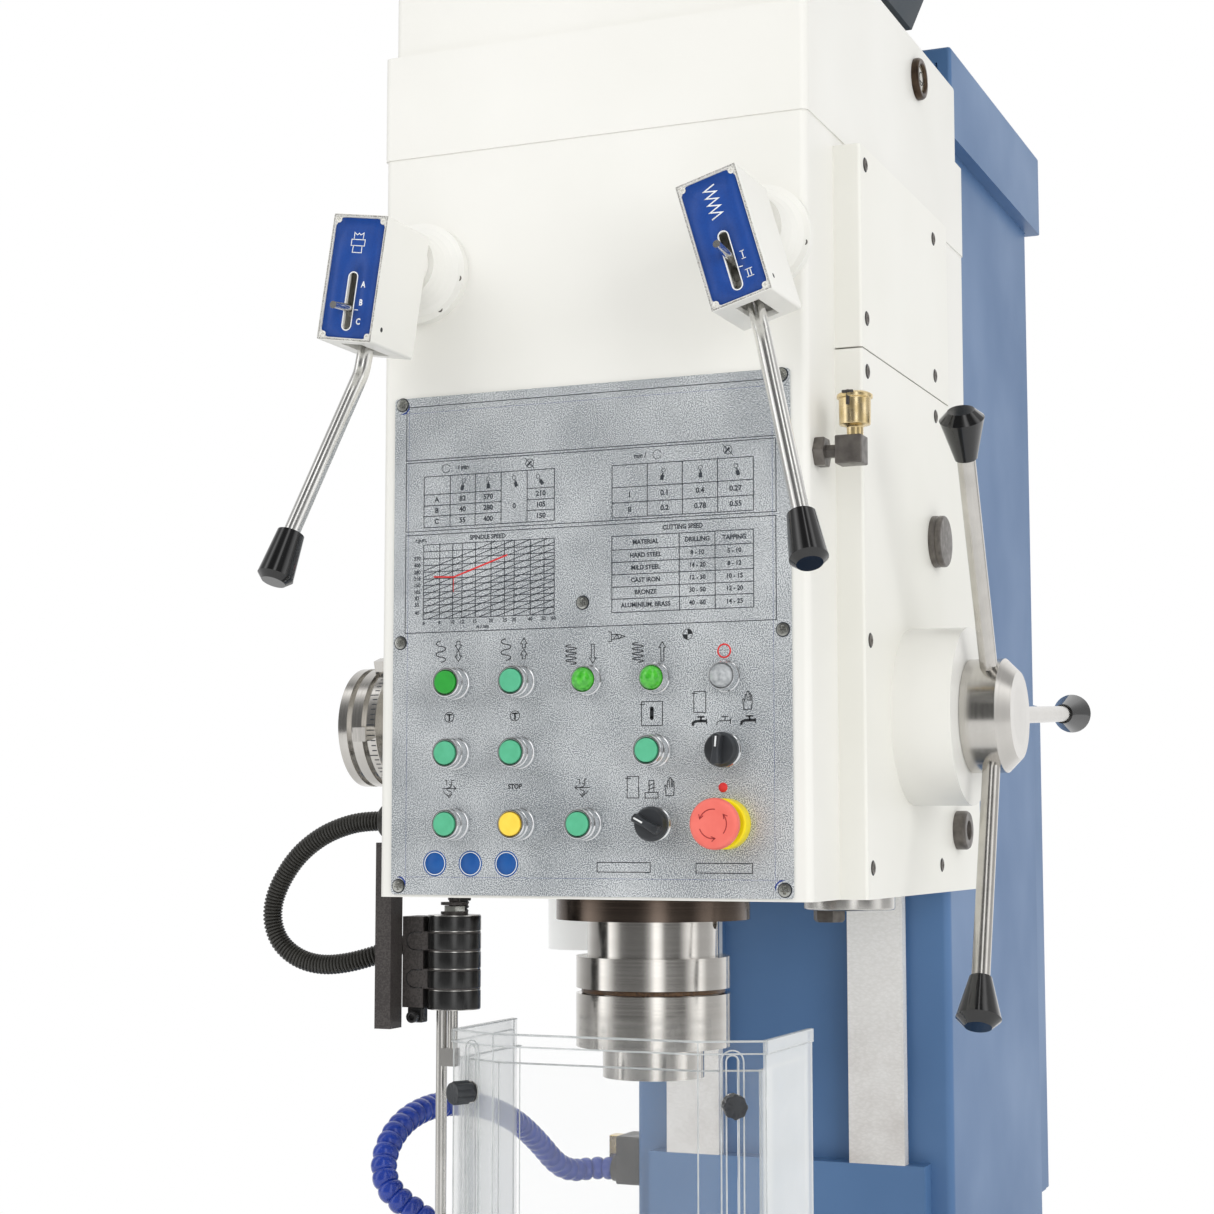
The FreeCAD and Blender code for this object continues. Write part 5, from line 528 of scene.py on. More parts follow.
def filmed(made: Thing, thick: float, side: float) -> Thing:
    """Gives a flat mesh a wall: behind it where side is -1, to both sides where it is 0.

    Args:
        made: the object.
        thick: thickness of the wall, in millimetres.
        side: where the wall lies.

    Returns:
        The same object.
    """
    wall = made.modifiers.new("film", "SOLIDIFY")
    wall.thickness, wall.offset = thick * MM, side
    return made


def printed(name: str, sheet: Sheet, *shapes: Shape, thick: float = 0.1) -> Thing:
    """Prints as one thin closed piece.

    Each triangle's own normal is set against the side that the sheet faces, and its corners
    change order where the two disagree, before a wall is added behind it.

    Args:
        name: name of the piece.
        sheet: the face that it lies on.
        shapes: flat shapes on that sheet.
        thick: thickness of the film, in millimetres.

    Returns:
        The linked object.
    """
    flat = joined(*shapes)
    a, b, c = (flat.points[flat.faces[:, k]] for k in range(3))
    away = np.cross(np.asarray(sheet.across, float), np.asarray(sheet.up, float))
    wrong = np.cross(b - a, c - a) @ away < 0
    flat.faces[wrong] = flat.faces[wrong][:, ::-1]
    return filmed(flat.mesh(name, weld=1e-4, outward=False), thick, -1.0)


# ---- finishes


def linear(colour: str) -> tuple[float, float, float, float]:
    """A six-figure sRGB hex colour as linear red, green, blue and alpha.

    Args:
        colour: the six figures.

    Returns:
        Red, green, blue and 1.
    """
    parts = (int(colour[k : k + 2], 16) / 255 for k in (0, 2, 4))
    red, green, blue = (c / 12.92 if c <= 0.04045 else ((c + 0.055) / 1.055) ** 2.4 for c in parts)
    return red, green, blue, 1.0


def add(tree: Tree, kind: str, inputs: dict | None = None, **settings) -> bpy.types.Node:
    """Adds a node, sets its settings, and sets or links its inputs.

    Args:
        tree: the material's or the world's nodes.
        kind: the node's type.
        inputs: input name or number to a value, or to the output that is linked to it.
        settings: the node's own properties.

    Returns:
        The node.
    """
    made = tree.nodes.new(kind)
    for name, value in settings.items():
        setattr(made, name, value)
    for name, value in (inputs or {}).items():
        if isinstance(value, Socket):
            tree.links.new(value, made.inputs[name])
        else:
            made.inputs[name].default_value = value
    return made


def fresh(owner: bpy.types.Material | bpy.types.World) -> Tree:
    """The emptied nodes of a new material or world.

    Args:
        owner: the material or world.

    Returns:
        Its tree, empty.
    """
    owner.use_nodes = True
    owner.node_tree.nodes.clear()
    return owner.node_tree


def noise(tree: Tree, at: Socket, size: float, detail: float) -> Socket:
    """The level of a noise whose lumps are about size millimetres wide."""
    kind = "ShaderNodeTexNoise"
    return add(tree, kind, {"Vector": at, "Scale": 1000 / size, "Detail": detail}).outputs[0]


def ranged(
    tree: Tree, value: Socket, low: float, high: float, out: Pair = (0.0, 1.0), **settings
) -> Socket:
    """A value carried from the range low to high onto the range out.

    Args:
        tree: the material's or the world's nodes.
        value: the socket that is carried over.
        low: start of its range.
        high: end of its range.
        out: the range that it goes to.
        settings: the node's own properties.

    Returns:
        The socket of the result.
    """
    return add(tree, "ShaderNodeMapRange", {
        "Value": value, "From Min": low, "From Max": high, "To Min": out[0], "To Max": out[1],
    }, **settings).outputs[0]


def maths(tree: Tree, operation: str, *values: Socket | float, **settings) -> Socket:
    """The result of one operation on its values."""
    kind = "ShaderNodeMath"
    return add(tree, kind, dict(enumerate(values)), operation=operation, **settings).outputs[0]


def mixed(tree: Tree, share: Socket, one: Socket | tuple, other: Socket | tuple) -> Socket:
    """Two colours mixed: all of the first where share is 0."""
    inputs = {0: share, 6: one, 7: other}
    return add(tree, "ShaderNodeMix", inputs, data_type="RGBA").outputs[2]


def bumped(tree: Tree, height: Socket, strength: float, relief: float) -> Socket:
    """The normal of a surface that stands out by relief millimetres."""
    inputs = {"Height": height, "Strength": strength, "Distance": relief * MM}
    return add(tree, "ShaderNodeBump", inputs).outputs[0]


def surfaced(tree: Tree, inputs: dict) -> None:
    """Ends a material's tree in one principled surface."""
    shader = add(tree, "ShaderNodeBsdfPrincipled", inputs)
    add(tree, "ShaderNodeOutputMaterial", {"Surface": shader.outputs[0]})


@dataclass(frozen=True)
class Finish:
    """A surface: two tones mixed by a slow cloud, gloss that varies, and a fine relief.

    Sizes are the real ones in millimetres, and a size that the picture can't show is drawn
    coarser, as its own comment says. A veil makes the surface see-through: its opacity is
    veil[0] + veil[1] facing^3, so it closes towards a glancing view.
    """

    name: str
    tone: str
    shade: str
    metallic: float = 0.0
    gloss: Pair = (0.3, 0.4)
    cloud: float = 60.0
    grain: float = 3.0
    relief: float = 0.05
    speckle: float = 0.0
    stretch: Triple = (1.0, 1.0, 1.0)
    coat: float = 0.0
    ior: float = 1.5
    veil: Pair = (1.0, 0.0)
    glow: float = 0.0

    def start(self) -> tuple[bpy.types.Material, Tree, Socket]:
        """Begins the material.

        Returns:
            The new material, its empty tree, and the piece's own coordinates.
        """
        material = bpy.data.materials.new(self.name)
        tree = fresh(material)
        return material, tree, add(tree, "ShaderNodeTexCoord").outputs["Object"]

    def pattern(self, tree: Tree, at: Socket) -> tuple:
        """The sockets that give the mix of the two tones, the roughness and the height.

        Args:
            tree: the material's nodes.
            at: the coordinates.

        Returns:
            Mix, roughness and height, each from 0 to 1 but the roughness.
        """
        where = add(tree, "ShaderNodeMapping", {"Vector": at, "Scale": self.stretch}).outputs[0]
        cloud, fine = noise(tree, at, self.cloud, 3.0), noise(tree, where, self.grain, 2.0)
        mix = cloud
        if self.speckle:
            swing = ranged(tree, fine, 0.35, 0.65, (-self.speckle, self.speckle))
            mix = maths(tree, "ADD", mix, swing, use_clamp=True)
        return mix, ranged(tree, cloud, *NOISE_SPAN, self.gloss), fine

    def build(self) -> bpy.types.Material:
        """Makes the material.

        Returns:
            The material, ready for a piece.
        """
        material, tree, at = self.start()
        mix, rough, height = self.pattern(tree, at)
        share = ranged(tree, mix, *NOISE_SPAN)
        fixed = {
            "Base Color": mixed(tree, share, linear(self.tone), linear(self.shade)),
            "Metallic": self.metallic, "Roughness": rough,
            "Normal": bumped(tree, height, BUMP, self.relief),
            "Coat Weight": self.coat, "Coat Roughness": COAT_GLOSS,
        }
        if self.veil[0] < 1:
            slope = add(tree, "ShaderNodeLayerWeight", {"Blend": 0.5})
            steep = maths(tree, "POWER", slope.outputs["Facing"], 3.0)
            fixed["Alpha"] = maths(tree, "MULTIPLY_ADD", steep, self.veil[1], self.veil[0], use_clamp=True)
        if not self.metallic:
            fixed["IOR"] = self.ior
        if self.glow:
            fixed["Emission Color"], fixed["Emission Strength"] = linear(self.tone), self.glow
        surfaced(tree, fixed)
        return material


@dataclass(frozen=True)
class Turned(Finish):
    """Lathe-turned steel: fine rings round an axis, as the tool leaves them.

    The pattern reads the distance from the axis and the place along it, so the noise is the
    same all the way round.
    """

    axis: int = 2
    centre: Triple = (0.0, 0.0, 0.0)
    pitch: float = 1.6

    def pattern(self, tree: Tree, at: Socket) -> tuple:
        """Rings: noise of (distance from the axis, place along it, 0).

        Args:
            tree: the material's nodes.
            at: the coordinates.

        Returns:
            Mix, roughness and height.
        """
        shift = tuple(-c * MM for c in self.centre)
        moved = add(tree, "ShaderNodeMapping", {"Vector": at, "Location": shift})
        parts = add(tree, "ShaderNodeSeparateXYZ", {0: moved.outputs[0]})
        keep = [1.0, 1.0, 1.0]
        keep[self.axis] = 0.0
        flat = add(tree, "ShaderNodeVectorMath", {0: moved.outputs[0], 1: tuple(keep)},
                   operation="MULTIPLY")
        out = add(tree, "ShaderNodeVectorMath", {0: flat.outputs[0]}, operation="LENGTH")
        place = {0: out.outputs["Value"], 1: parts.outputs[self.axis]}
        rings = add(tree, "ShaderNodeCombineXYZ", place).outputs[0]
        fine, broad = noise(tree, rings, self.pitch, 2.0), noise(tree, rings, self.pitch * 9, 1.0)
        cloud = noise(tree, at, self.cloud, 2.0)
        mix = maths(tree, "MULTIPLY", maths(tree, "ADD", cloud, broad), 0.5)
        return mix, ranged(tree, fine, *NOISE_SPAN, self.gloss), fine


@dataclass(frozen=True)
class Scraped(Finish):
    """Hand-scraped slideway: short overlapping crescents, and an oil stain that grows downwards."""

    flake: float = 5.0
    squash: float = 2.2
    wander: float = 0.006
    stain: str = "6B4A2C"
    stain_level: Pair = (1.12, 1.42)
    stain_share: float = 0.55

    def build(self) -> bpy.types.Material:
        """Crescents from the distance to the nearest of scattered cells, stain by height.

        Returns:
            The material.
        """
        material, tree, at = self.start()
        bent = add(tree, "ShaderNodeTexNoise", {"Vector": at, "Scale": 140.0, "Detail": 1.0})
        push = add(tree, "ShaderNodeVectorMath", {0: bent.outputs[1], 1: (self.wander,) * 3, 2: at},
                   operation="MULTIPLY_ADD")
        scale = (1.0, 1.0, self.squash)
        wide = add(tree, "ShaderNodeMapping", {"Vector": push.outputs[0], "Scale": scale})
        cells = add(tree, "ShaderNodeTexVoronoi", {"Vector": wide.outputs[0], "Scale": 1000 / self.flake})
        edge = ranged(tree, cells.outputs["Distance"], 0.1, 0.75)
        tone = mixed(tree, edge, linear(self.tone), linear(self.shade))
        parts = add(tree, "ShaderNodeSeparateXYZ", {0: at})
        bottom, top = self.stain_level
        low = ranged(tree, parts.outputs[2], top, bottom, (0.0, self.stain_share))
        blot = add(tree, "ShaderNodeTexNoise", {"Vector": at, "Scale": 22.0, "Detail": 4.0})
        amount = maths(tree, "MULTIPLY", low, blot.outputs[0], use_clamp=True)
        surfaced(tree, {
            "Base Color": mixed(tree, amount, tone, linear(self.stain)), "Metallic": self.metallic,
            "Roughness": ranged(tree, cells.outputs["Distance"], 0.0, 1.0, self.gloss),
            "Normal": bumped(tree, edge, 0.5, self.relief),
        })
        return material


def ink(name: str, tone: str, shade: str, cloud: float = 8, gloss: Pair = (0.5, 0.6)) -> Finish:
    """A screen ink: thin and matt."""
    return Finish(name, tone, shade, gloss=gloss, cloud=cloud, grain=0.8, relief=0.004)


def cap_plastic(name: str, tone: str, shade: str) -> Finish:
    """The polycarbonate of a push cap, with a fine matt."""
    return Finish(name, tone, shade, gloss=(0.34, 0.42), cloud=9, grain=1, relief=0.008)


SPINDLE_AXIS = (0.0, -275.0, 0.0)
CAPSTAN_AXIS = (0.0, -194.0, 1613.0)


class Look(Enum):
    """Every finish of the machine."""

    # Two-pack enamel rolled on a casting: soft sheen, and orange peel drawn 6 mm wide to show.
    BLUE_ENAMEL = Finish("blue enamel on cast iron", "5479A6", "496D99", gloss=(0.4, 0.52),
                         cloud=220, grain=6, relief=0.12, coat=0.05)
    # The same enamel in off-white, filled and rubbed smoother than the blue.
    WHITE_ENAMEL = Finish("white enamel on cast iron", "EEEDE8", "E7E6E0", gloss=(0.34, 0.46),
                          cloud=260, grain=7, relief=0.09, coat=0.12)
    # Powder coat on sheet: even, slightly brighter than the castings.
    WHITE_POWDER = Finish("white powder coat on sheet steel", "EFEEE8", "E8E7DF", gloss=(0.38, 0.46),
                          cloud=300, grain=2.5, relief=0.03)
    # Slate enamel on the motor's aluminium: satin and dusty.
    SLATE_ENAMEL = Finish("slate enamel on die-cast aluminium", "2C343B", "39424A", gloss=(0.42, 0.6),
                          cloud=70, grain=2.5, relief=0.06)
    # Face-ground cast iron: bright, with the wheel's straight marks drawn 2 mm apart to show.
    GROUND_IRON = Finish("face-ground cast iron", "B4B5B2", "96989A", 1.0, gloss=(0.26, 0.42), cloud=90,
                         grain=2, relief=0.015, stretch=(1.0, 0.05, 1.0), speckle=0.12)
    # Scraped slideway of the column, wet with oil towards the head. Its near-white tone is painted sheen:
    # it stands in for the lamps' light scattered off the scraped iron.
    SCRAPED_IRON = Scraped("hand-scraped slideway iron", "FDFCFA", "F2F1EE", 0.1, gloss=(0.36, 0.5),
                           relief=0.012)
    # Cold-drawn bar, polished: smooth and bright.
    POLISHED_BAR = Finish("polished steel bar", "F3F2EF", "E4E3E0", 1.0, gloss=(0.18, 0.26), cloud=45,
                          grain=6, relief=0.001)
    # Chromed brass of the push-button bezels.
    CHROME = Finish("bright chrome", "E6E7E8", "D2D4D6", 1.0, gloss=(0.07, 0.14), cloud=12, grain=1,
                    relief=0.002)
    # Spindle nose parts: turned, so rings round the spindle axis, drawn 1.6 mm apart to show.
    TURNED_SPINDLE = Turned("turned steel round the spindle", "D9D6D1", "CDC9C3", 1.0, gloss=(0.13, 0.2),
                            cloud=60, relief=0.003, centre=SPINDLE_AXIS)
    # Hub, pinion shaft and depth dial: the same steel, rings round the feed shaft.
    TURNED_CAPSTAN = Turned("turned steel round the feed shaft", "D4D1CC", "C2BFBA", 1.0,
                            gloss=(0.15, 0.24), cloud=60, relief=0.005, axis=0, centre=CAPSTAN_AXIS)
    # Cut gears and small turned steel with no one axis.
    BRIGHT_STEEL = Finish("bright machined steel", "D2D0CC", "C4C2BE", 1.0, gloss=(0.18, 0.28), cloud=40,
                          grain=3.0, relief=0.002)
    # Plate screws and the hinge's top nut: zinc plated, a little yellow.
    ZINC = Finish("zinc-plated screw steel", "C6C7C3", "A5A69F", 1.0, gloss=(0.2, 0.36), cloud=6,
                  grain=0.8, relief=0.01)
    # Oil-blacked steel of the guard's bracket and the valve block.
    BLACKED_STEEL = Finish("oil-blacked steel", "54504E", "433F3E", 0.35, gloss=(0.32, 0.46), cloud=22,
                           grain=1.6, relief=0.06, speckle=0.3)
    # Bead-blasted silver face plate: a salt-and-pepper sparkle, its grain drawn 0.9 mm to show. The light
    # flecks are partly the blasted texture and partly painted glints, and the broad light clouds are
    # painted highlights.
    BLASTED_PLATE = Finish("bead-blasted silver plate", "858C92", "E6E9EB", 0.35, gloss=(0.32, 0.44),
                           cloud=70, grain=0.9, relief=0.02, speckle=1.0)
    # Turned brass, dull with oil.
    BRASS = Finish("turned brass", "F0DCB2", "DCC48E", 1.0, gloss=(0.2, 0.35), cloud=10, grain=1,
                   relief=0.01)
    # Dark bronze rim of the sight glass.
    BRONZE = Finish("dark bronze rim", "57483A", "3B3028", 0.9, gloss=(0.28, 0.42), cloud=12, grain=1.2,
                    relief=0.02)
    # Phenolic ball and taper knobs: black and glassy.
    PHENOLIC = Finish("polished black phenolic", "0B0B0C", "121213", gloss=(0.08, 0.14), cloud=30,
                      grain=4, relief=0.01, coat=0.5)
    # Glass-filled nylon: black with a fine moulded matt.
    NYLON = Finish("black glass-filled nylon", "292B2E", "36393D", gloss=(0.34, 0.46), cloud=20,
                   grain=1.2, relief=0.03)
    # Corrugated polyamide conduit, slightly shinier on its ribs.
    CONDUIT = Finish("black corrugated polyamide", "2B2A27", "33322E", gloss=(0.3, 0.42), cloud=25,
                     grain=1.5, relief=0.02)
    # Acetal ball-and-socket coolant hose.
    ACETAL_BLUE = Finish("blue acetal hose link", "2342A6", "1B3590", gloss=(0.16, 0.26), cloud=20,
                         grain=2, relief=0.01, coat=0.3)
    # Push-button caps: polycarbonate with a fine matt.
    GREEN_CAP = cap_plastic("green button plastic", "5CBC92", "52B287")
    VIVID_CAP = cap_plastic("bright green button plastic", "2FA63C", "299B36")
    YELLOW_CAP = cap_plastic("yellow button plastic", "FFDC52", "FAD242")
    YELLOW_COLLAR = Finish("yellow collar plastic", "FDE800", "F4DC00", gloss=(0.36, 0.45), cloud=14,
                           grain=1, relief=0.008)
    RED_HEAD = Finish("coral-red stop-button plastic", "F0786C", "E86C60", gloss=(0.36, 0.46), cloud=14,
                      grain=1, relief=0.01)
    # Moulded lamp lenses. The green ones glow faintly: painted light standing in for light caught in the
    # tinted acrylic.
    GREEN_LENS = Finish("green lamp lens", "52C437", "2E9A22", gloss=(0.1, 0.16), cloud=4, grain=2,
                        relief=0.06, coat=0.6, glow=0.05)
    CLEAR_LENS = Finish("clear lamp lens", "C2C5C7", "8E9295", gloss=(0.08, 0.14), cloud=4, grain=2,
                        relief=0.06, coat=0.6)
    # Cast acrylic sheet, 4 mm: nearly colourless, seen by its gloss. Its veil turns whiter towards a
    # glancing view, a painted reflection of the sheet.
    ACRYLIC = Finish("clear acrylic sheet", "EEF0F0", "E6E9E9", gloss=(0.04, 0.08), cloud=80, grain=30,
                     relief=0.02, ior=1.49, veil=(0.035, 1.7))
    # Its sawn and milled edges: frosted, so they show much lighter. The same finish on the folds of the
    # sheet is a painted highlight.
    ACRYLIC_EDGE = Finish("milled acrylic edge", "E3E6E6", "C6CACB", gloss=(0.3, 0.45), cloud=15,
                          grain=1.5, relief=0.03, ior=1.49, veil=(0.62, 0.3))
    GAUGE_GLASS = Finish("gauge glass over oil", "8A8470", "6E6753", gloss=(0.04, 0.07), cloud=14,
                         grain=6, relief=0.01, coat=0.8)
    # Opal lamp housing plastic. Its glow is painted light, lifting the housing out of the shade under the
    # head.
    LAMP_WHITE = Finish("opal lamp housing plastic", "F4F4F2", "E9EAE9", gloss=(0.3, 0.4), cloud=30,
                        grain=2, relief=0.02, glow=0.3)
    # Screen-printed inks.
    DARK_INK = ink("dark screen ink", "2C3137", "383E45", 5)
    BLUE_INK = ink("blue screen ink", "044F9A", "0C58A2", gloss=(0.42, 0.52))
    BORDER_INK = ink("blue border ink", "16388C", "1F4296")
    WHITE_INK = ink("white screen ink", "F2F3F3", "E7E9EA")
    RED_INK = ink("red screen ink", "E23A3A", "D93232")
    BLACK_INK = ink("black screen ink", "1C1F22", "272A2E", 5)
    # Stop-button arrows, moulded in and filled a shade darker than the head.
    DEEP_RED = ink("dark red filling paint", "A83030", "9A2A2A", 5)
    # Anodised instruction sheet in the lever boxes: deep blue with a faint rolling grain.
    BLUE_SHEET = Finish("blue anodised sheet", "0C4394", "0A3B86", gloss=(0.4, 0.5), cloud=30,
                        grain=1.4, relief=0.01, speckle=0.12)
    # Paint worn through to bright metal along the rim of a lever box.
    WORN_EDGE = Finish("worn paint over aluminium", "DEDDD9", "A19E98", 0.5, gloss=(0.35, 0.55), cloud=14,
                       grain=1.0, relief=0.06, speckle=0.4)
    WHITE_SCREW = Finish("painted screw head", "ECEBE6", "D4D2CB", gloss=(0.34, 0.46), cloud=4, grain=1.5,
                         relief=0.04)
    # Oil-blacked steel that has turned brown where it is handled. On the cover screws its darkness is
    # partly painted shade of their holes.
    BRONZED_STEEL = Finish("browned steel", "736E69", "5A5652", 0.5, gloss=(0.3, 0.44), cloud=8, grain=1.5,
                           relief=0.03)
    # Turned and blacked: dark, with sharp highlights along the barrel.
    BLACKED_BRIGHT = Finish("polished blacked steel", "3A3A3A", "464646", 0.8, gloss=(0.16, 0.26), cloud=14,
                            grain=1.5, relief=0.008, stretch=(1.0, 1.0, 6.0))
    # The quill's nose ring: steel browned by oil and heat, so it mirrors dark.
    BROWN_STEEL = Turned("browned turned steel", "6E6259", "584D45", 1.0, gloss=(0.16, 0.26), cloud=60,
                         relief=0.003, centre=SPINDLE_AXIS)
    # Old grease and chip dust.
    GREASE = Finish("brown grease", "4A3524", "6A4E33", gloss=(0.25, 0.5), cloud=7, grain=1.6, relief=0.3,
                    speckle=0.4)


@dataclass
class Dresser:
    """Gives each piece its finish and its body, and keeps one material for each finish."""

    made: dict[Look, bpy.types.Material] = field(default_factory=dict)

    def material(self, look: Look) -> bpy.types.Material:
        """The material of a finish, built the first time that it is asked for.

        Args:
            look: the finish.

        Returns:
            Its one material.
        """
        if look not in self.made:
            self.made[look] = look.value.build()
        return self.made[look]

    def put(self, piece: Thing, body: str, look: Look, replaces: tuple[str, ...] = ()) -> Thing:
        """Dresses a new piece and lets it ride on its body.

        Args:
            piece: the object.
            body: the body that it moves with.
            look: its finish.
            replaces: nodes that it stands for.

        Returns:
            The same object.
        """
        piece.data.materials.clear()
        piece.data.materials.append(self.material(look))
        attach(piece, body)
        if replaces:
            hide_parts(*replaces)
        LOG.info("%s on %s: %s", piece.name, body, look.value.name)
        return piece

    def make(self, shape: Shape, name: str, body: str, look: Look, *nodes: str) -> Thing:
        """Makes one piece of a shape, riding on its body in place of the nodes that are named."""
        return self.put(shape.mesh(name), body, look, nodes)

    def stamp(self, sheet: Sheet, shapes: list[Shape], name: str, body: str, look: Look,
              thick: float = 0.1) -> Thing:
        """Makes one thin piece of the prints on a sheet, riding on its body."""
        return self.put(printed(name, sheet, *shapes, thick=thick), body, look)

    def node(self, name: str, look: Look) -> None:
        """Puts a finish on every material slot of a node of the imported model.

        Args:
            name: the node.
            look: the finish.
        """
        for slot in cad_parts[name].material_slots:
            slot.material = self.material(look)
        LOG.info("%s: %s", name, look.value.name)


# ---- hoses


@dataclass
class FlexibleLine:
    """A hose or conduit on one smooth curve through the route's points, with ribs or links."""

    name: str
    node: str
    route: tuple[Triple, ...]
    crest: float
    root: float
    ribs: int
    length: float
    look: Look
    far_end: str
    body: str
    sharpness: float = 1.0
    stations: int = 8

    def centre_line(self) -> Array:
        """Stations in millimetres on the route's NURBS curve, evenly spaced along it.

        Returns:
            Ribs times stations points, plus the last one.
        """
        data = bpy.data.curves.new(self.name + "_route", "CURVE")
        data.dimensions, data.resolution_u = "3D", 24
        spline = data.splines.new("NURBS")
        spline.points.add(len(self.route) - 1)
        knots = np.ones((len(self.route), 4))
        knots[:, :3] = self.route
        spline.points.foreach_set("co", knots.ravel())
        spline.order_u = 3
        spline.use_endpoint_u = True
        points = drawn(data)[0] / MM
        run = np.concatenate([[0], np.cumsum(np.linalg.norm(np.diff(points, axis=0), axis=1))])
        even = np.linspace(0, run[-1], self.ribs * self.stations + 1)
        return np.stack([np.interp(even, run, points[:, k]) for k in range(3)], -1)

    def build(self, dresser: Dresser) -> Thing:
        """Carries the rib profile along the curve.

        The radius at share t is root + (crest - root) |sin(pi ribs t)|^sharpness.

        Args:
            dresser: gives the finish and the body.

        Returns:
            The line.
        """
        path = self.centre_line()
        t = np.arange(len(path)) / self.stations
        swell = np.abs(np.sin(math.pi * t)) ** self.sharpness
        made = tube(path, self.root + (self.crest - self.root) * swell, 28).mesh(self.name)
        dresser.put(made, self.body, self.look, (self.node,))
        return made

    def declare(self, made: Thing, with_pieces: tuple = ()) -> None:
        """Works out the line's centre line in metres and keeps nothing of it.

        Args:
            made: the line's piece; not used.
            with_pieces: others that end it; not used.
        """
        (self.centre_line() * MM).tolist()


@dataclass
class Assembly:
    """A part of the machine: it holds its sizes, and dresses the pieces that it makes."""

    dresser: Dresser


@dataclass
class Lines(Assembly):
    """The coolant hose with its nozzle, and the guard switch's conduit."""

    hose: FlexibleLine = field(default_factory=lambda: FlexibleLine(
        "coolant_hose_links", "coolant_hose",
        (
            (-0.212, 0.143, 1.133), (-0.236, 0.143, 1.133), (-0.251, 0.122, 1.131),
            (-0.259, 0.093, 1.140), (-0.264, 0.050, 1.172), (-0.264, -0.005, 1.200),
            (-0.262, -0.065, 1.219), (-0.260, -0.125, 1.232), (-0.259, -0.178, 1.238),
            (-0.258, -0.226, 1.239), (-0.260, -0.267, 1.232), (-0.260, -0.299, 1.216),
            (-0.256, -0.320, 1.194), (-0.243, -0.328, 1.173), (-0.219, -0.322, 1.156),
            (-0.196, -0.313, 1.137), (-0.182, -0.307, 1.118),
        ),
        12.5, 9.4, 48, 0.6371, Look.ACETAL_BLUE, "fitting", "stand", 0.55, 9,
    ))
    conduit: FlexibleLine = field(default_factory=lambda: FlexibleLine(
        "guard_switch_conduit", "conduit",
        (
            (-0.231, -0.370, 1.5176), (-0.252, -0.370, 1.5176), (-0.2775, -0.370, 1.5116),
            (-0.2996, -0.370, 1.5019), (-0.3218, -0.370, 1.4855), (-0.3387, -0.370, 1.463),
            (-0.3479, -0.370, 1.4419), (-0.3484, -0.370, 1.4215), (-0.3394, -0.370, 1.4025),
            (-0.3203, -0.369, 1.389), (-0.2962, -0.368, 1.3836), (-0.2691, -0.367, 1.3862),
            (-0.244, -0.363, 1.393), (-0.221, -0.354, 1.402), (-0.200, -0.343, 1.411),
            (-0.182, -0.334, 1.417), (-0.172, -0.330, 1.429), (-0.172, -0.330, 1.444),
        ),
        9.2, 7.4, 118, 0.3938, Look.CONDUIT, "object", "head", 0.8, 6,
    ))

    def build(self) -> None:
        """Makes both lines, and the hose's tapered nozzle with its nut."""
        hose = self.hose.build(self.dresser)
        path = self.hose.centre_line()
        heading = path[-1] - path[-4]
        nozzle = lathe(
            [(-3, 0), (-3, 11.4), (4, 12.4), (9, 12.4), (9.6, 10.8), (14, 10), (31, 5.4), (34, 5),
             (34, 3.1), (20, 2.6), (20, 0)], 0.5, 48,
        ).aimed(tuple(heading), tuple(path[-1]))
        tip = self.dresser.make(nozzle, "coolant_nozzle", "stand", Look.ACETAL_BLUE, "coolant_hose")
        self.hose.declare(hose, (tip,))
        conduit = self.conduit.build(self.dresser)
        self.conduit.declare(conduit)


# ---- carried nodes


@dataclass
class Carcass(Assembly):
    """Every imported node, by the finish that it carries."""

    looks: dict[Look, str] = field(default_factory=lambda: {
        Look.BLUE_ENAMEL: "base column column_cap electric_cabinet table_bracket",
        Look.SCRAPED_IRON: "column_ways",
        Look.SLATE_ENAMEL: "coolant_pump motor",
        Look.BLACKED_STEEL: "coolant_valve oil_cup guard_bracket",
        Look.BRASS: "coolant_tap",
        Look.BRIGHT_STEEL: "elevating_screw table_crank side_fittings spindle_bearings spindle_gear "
                           "motor_gear guard_hinge",
        Look.GROUND_IRON: "table",
        Look.WHITE_ENAMEL: "head_casting gear_case drive_case shaft_bosses left_lever_box right_lever_box",
        Look.WHITE_POWDER: "side_covers",
        Look.BLASTED_PLATE: "control_plate",
        Look.CHROME: "button_bezels",
        Look.GREEN_LENS: "pilot_lamps",
        Look.VIVID_CAP: "button_feed_down",
        Look.GREEN_CAP: "button_feed_up button_tap_left button_tap_right button_magnet "
                        "button_spindle_left button_spindle_right",
        Look.YELLOW_CAP: "button_stop",
        Look.NYLON: "selector_coolant selector_mode guard_knobs conduit_glands",
        Look.RED_HEAD: "emergency_stop",
        Look.POLISHED_BAR: "left_lever right_lever",
        Look.PHENOLIC: "left_knob right_knob capstan_knobs",
        Look.TURNED_SPINDLE: "quill spindle",
        Look.BROWN_STEEL: "spindle_flange",
        Look.TURNED_CAPSTAN: "pinion_shaft capstan depth_dial",
        Look.ACRYLIC: "guard_frame guard_panel",
        Look.LAMP_WHITE: "work_lamp",
        Look.ZINC: "cover_screws",
    })

    def build(self) -> None:
        """Dresses every node of the table."""
        for look, nodes in self.looks.items():
            for name in nodes.split():
                self.dresser.node(name, look)


# ---- studio


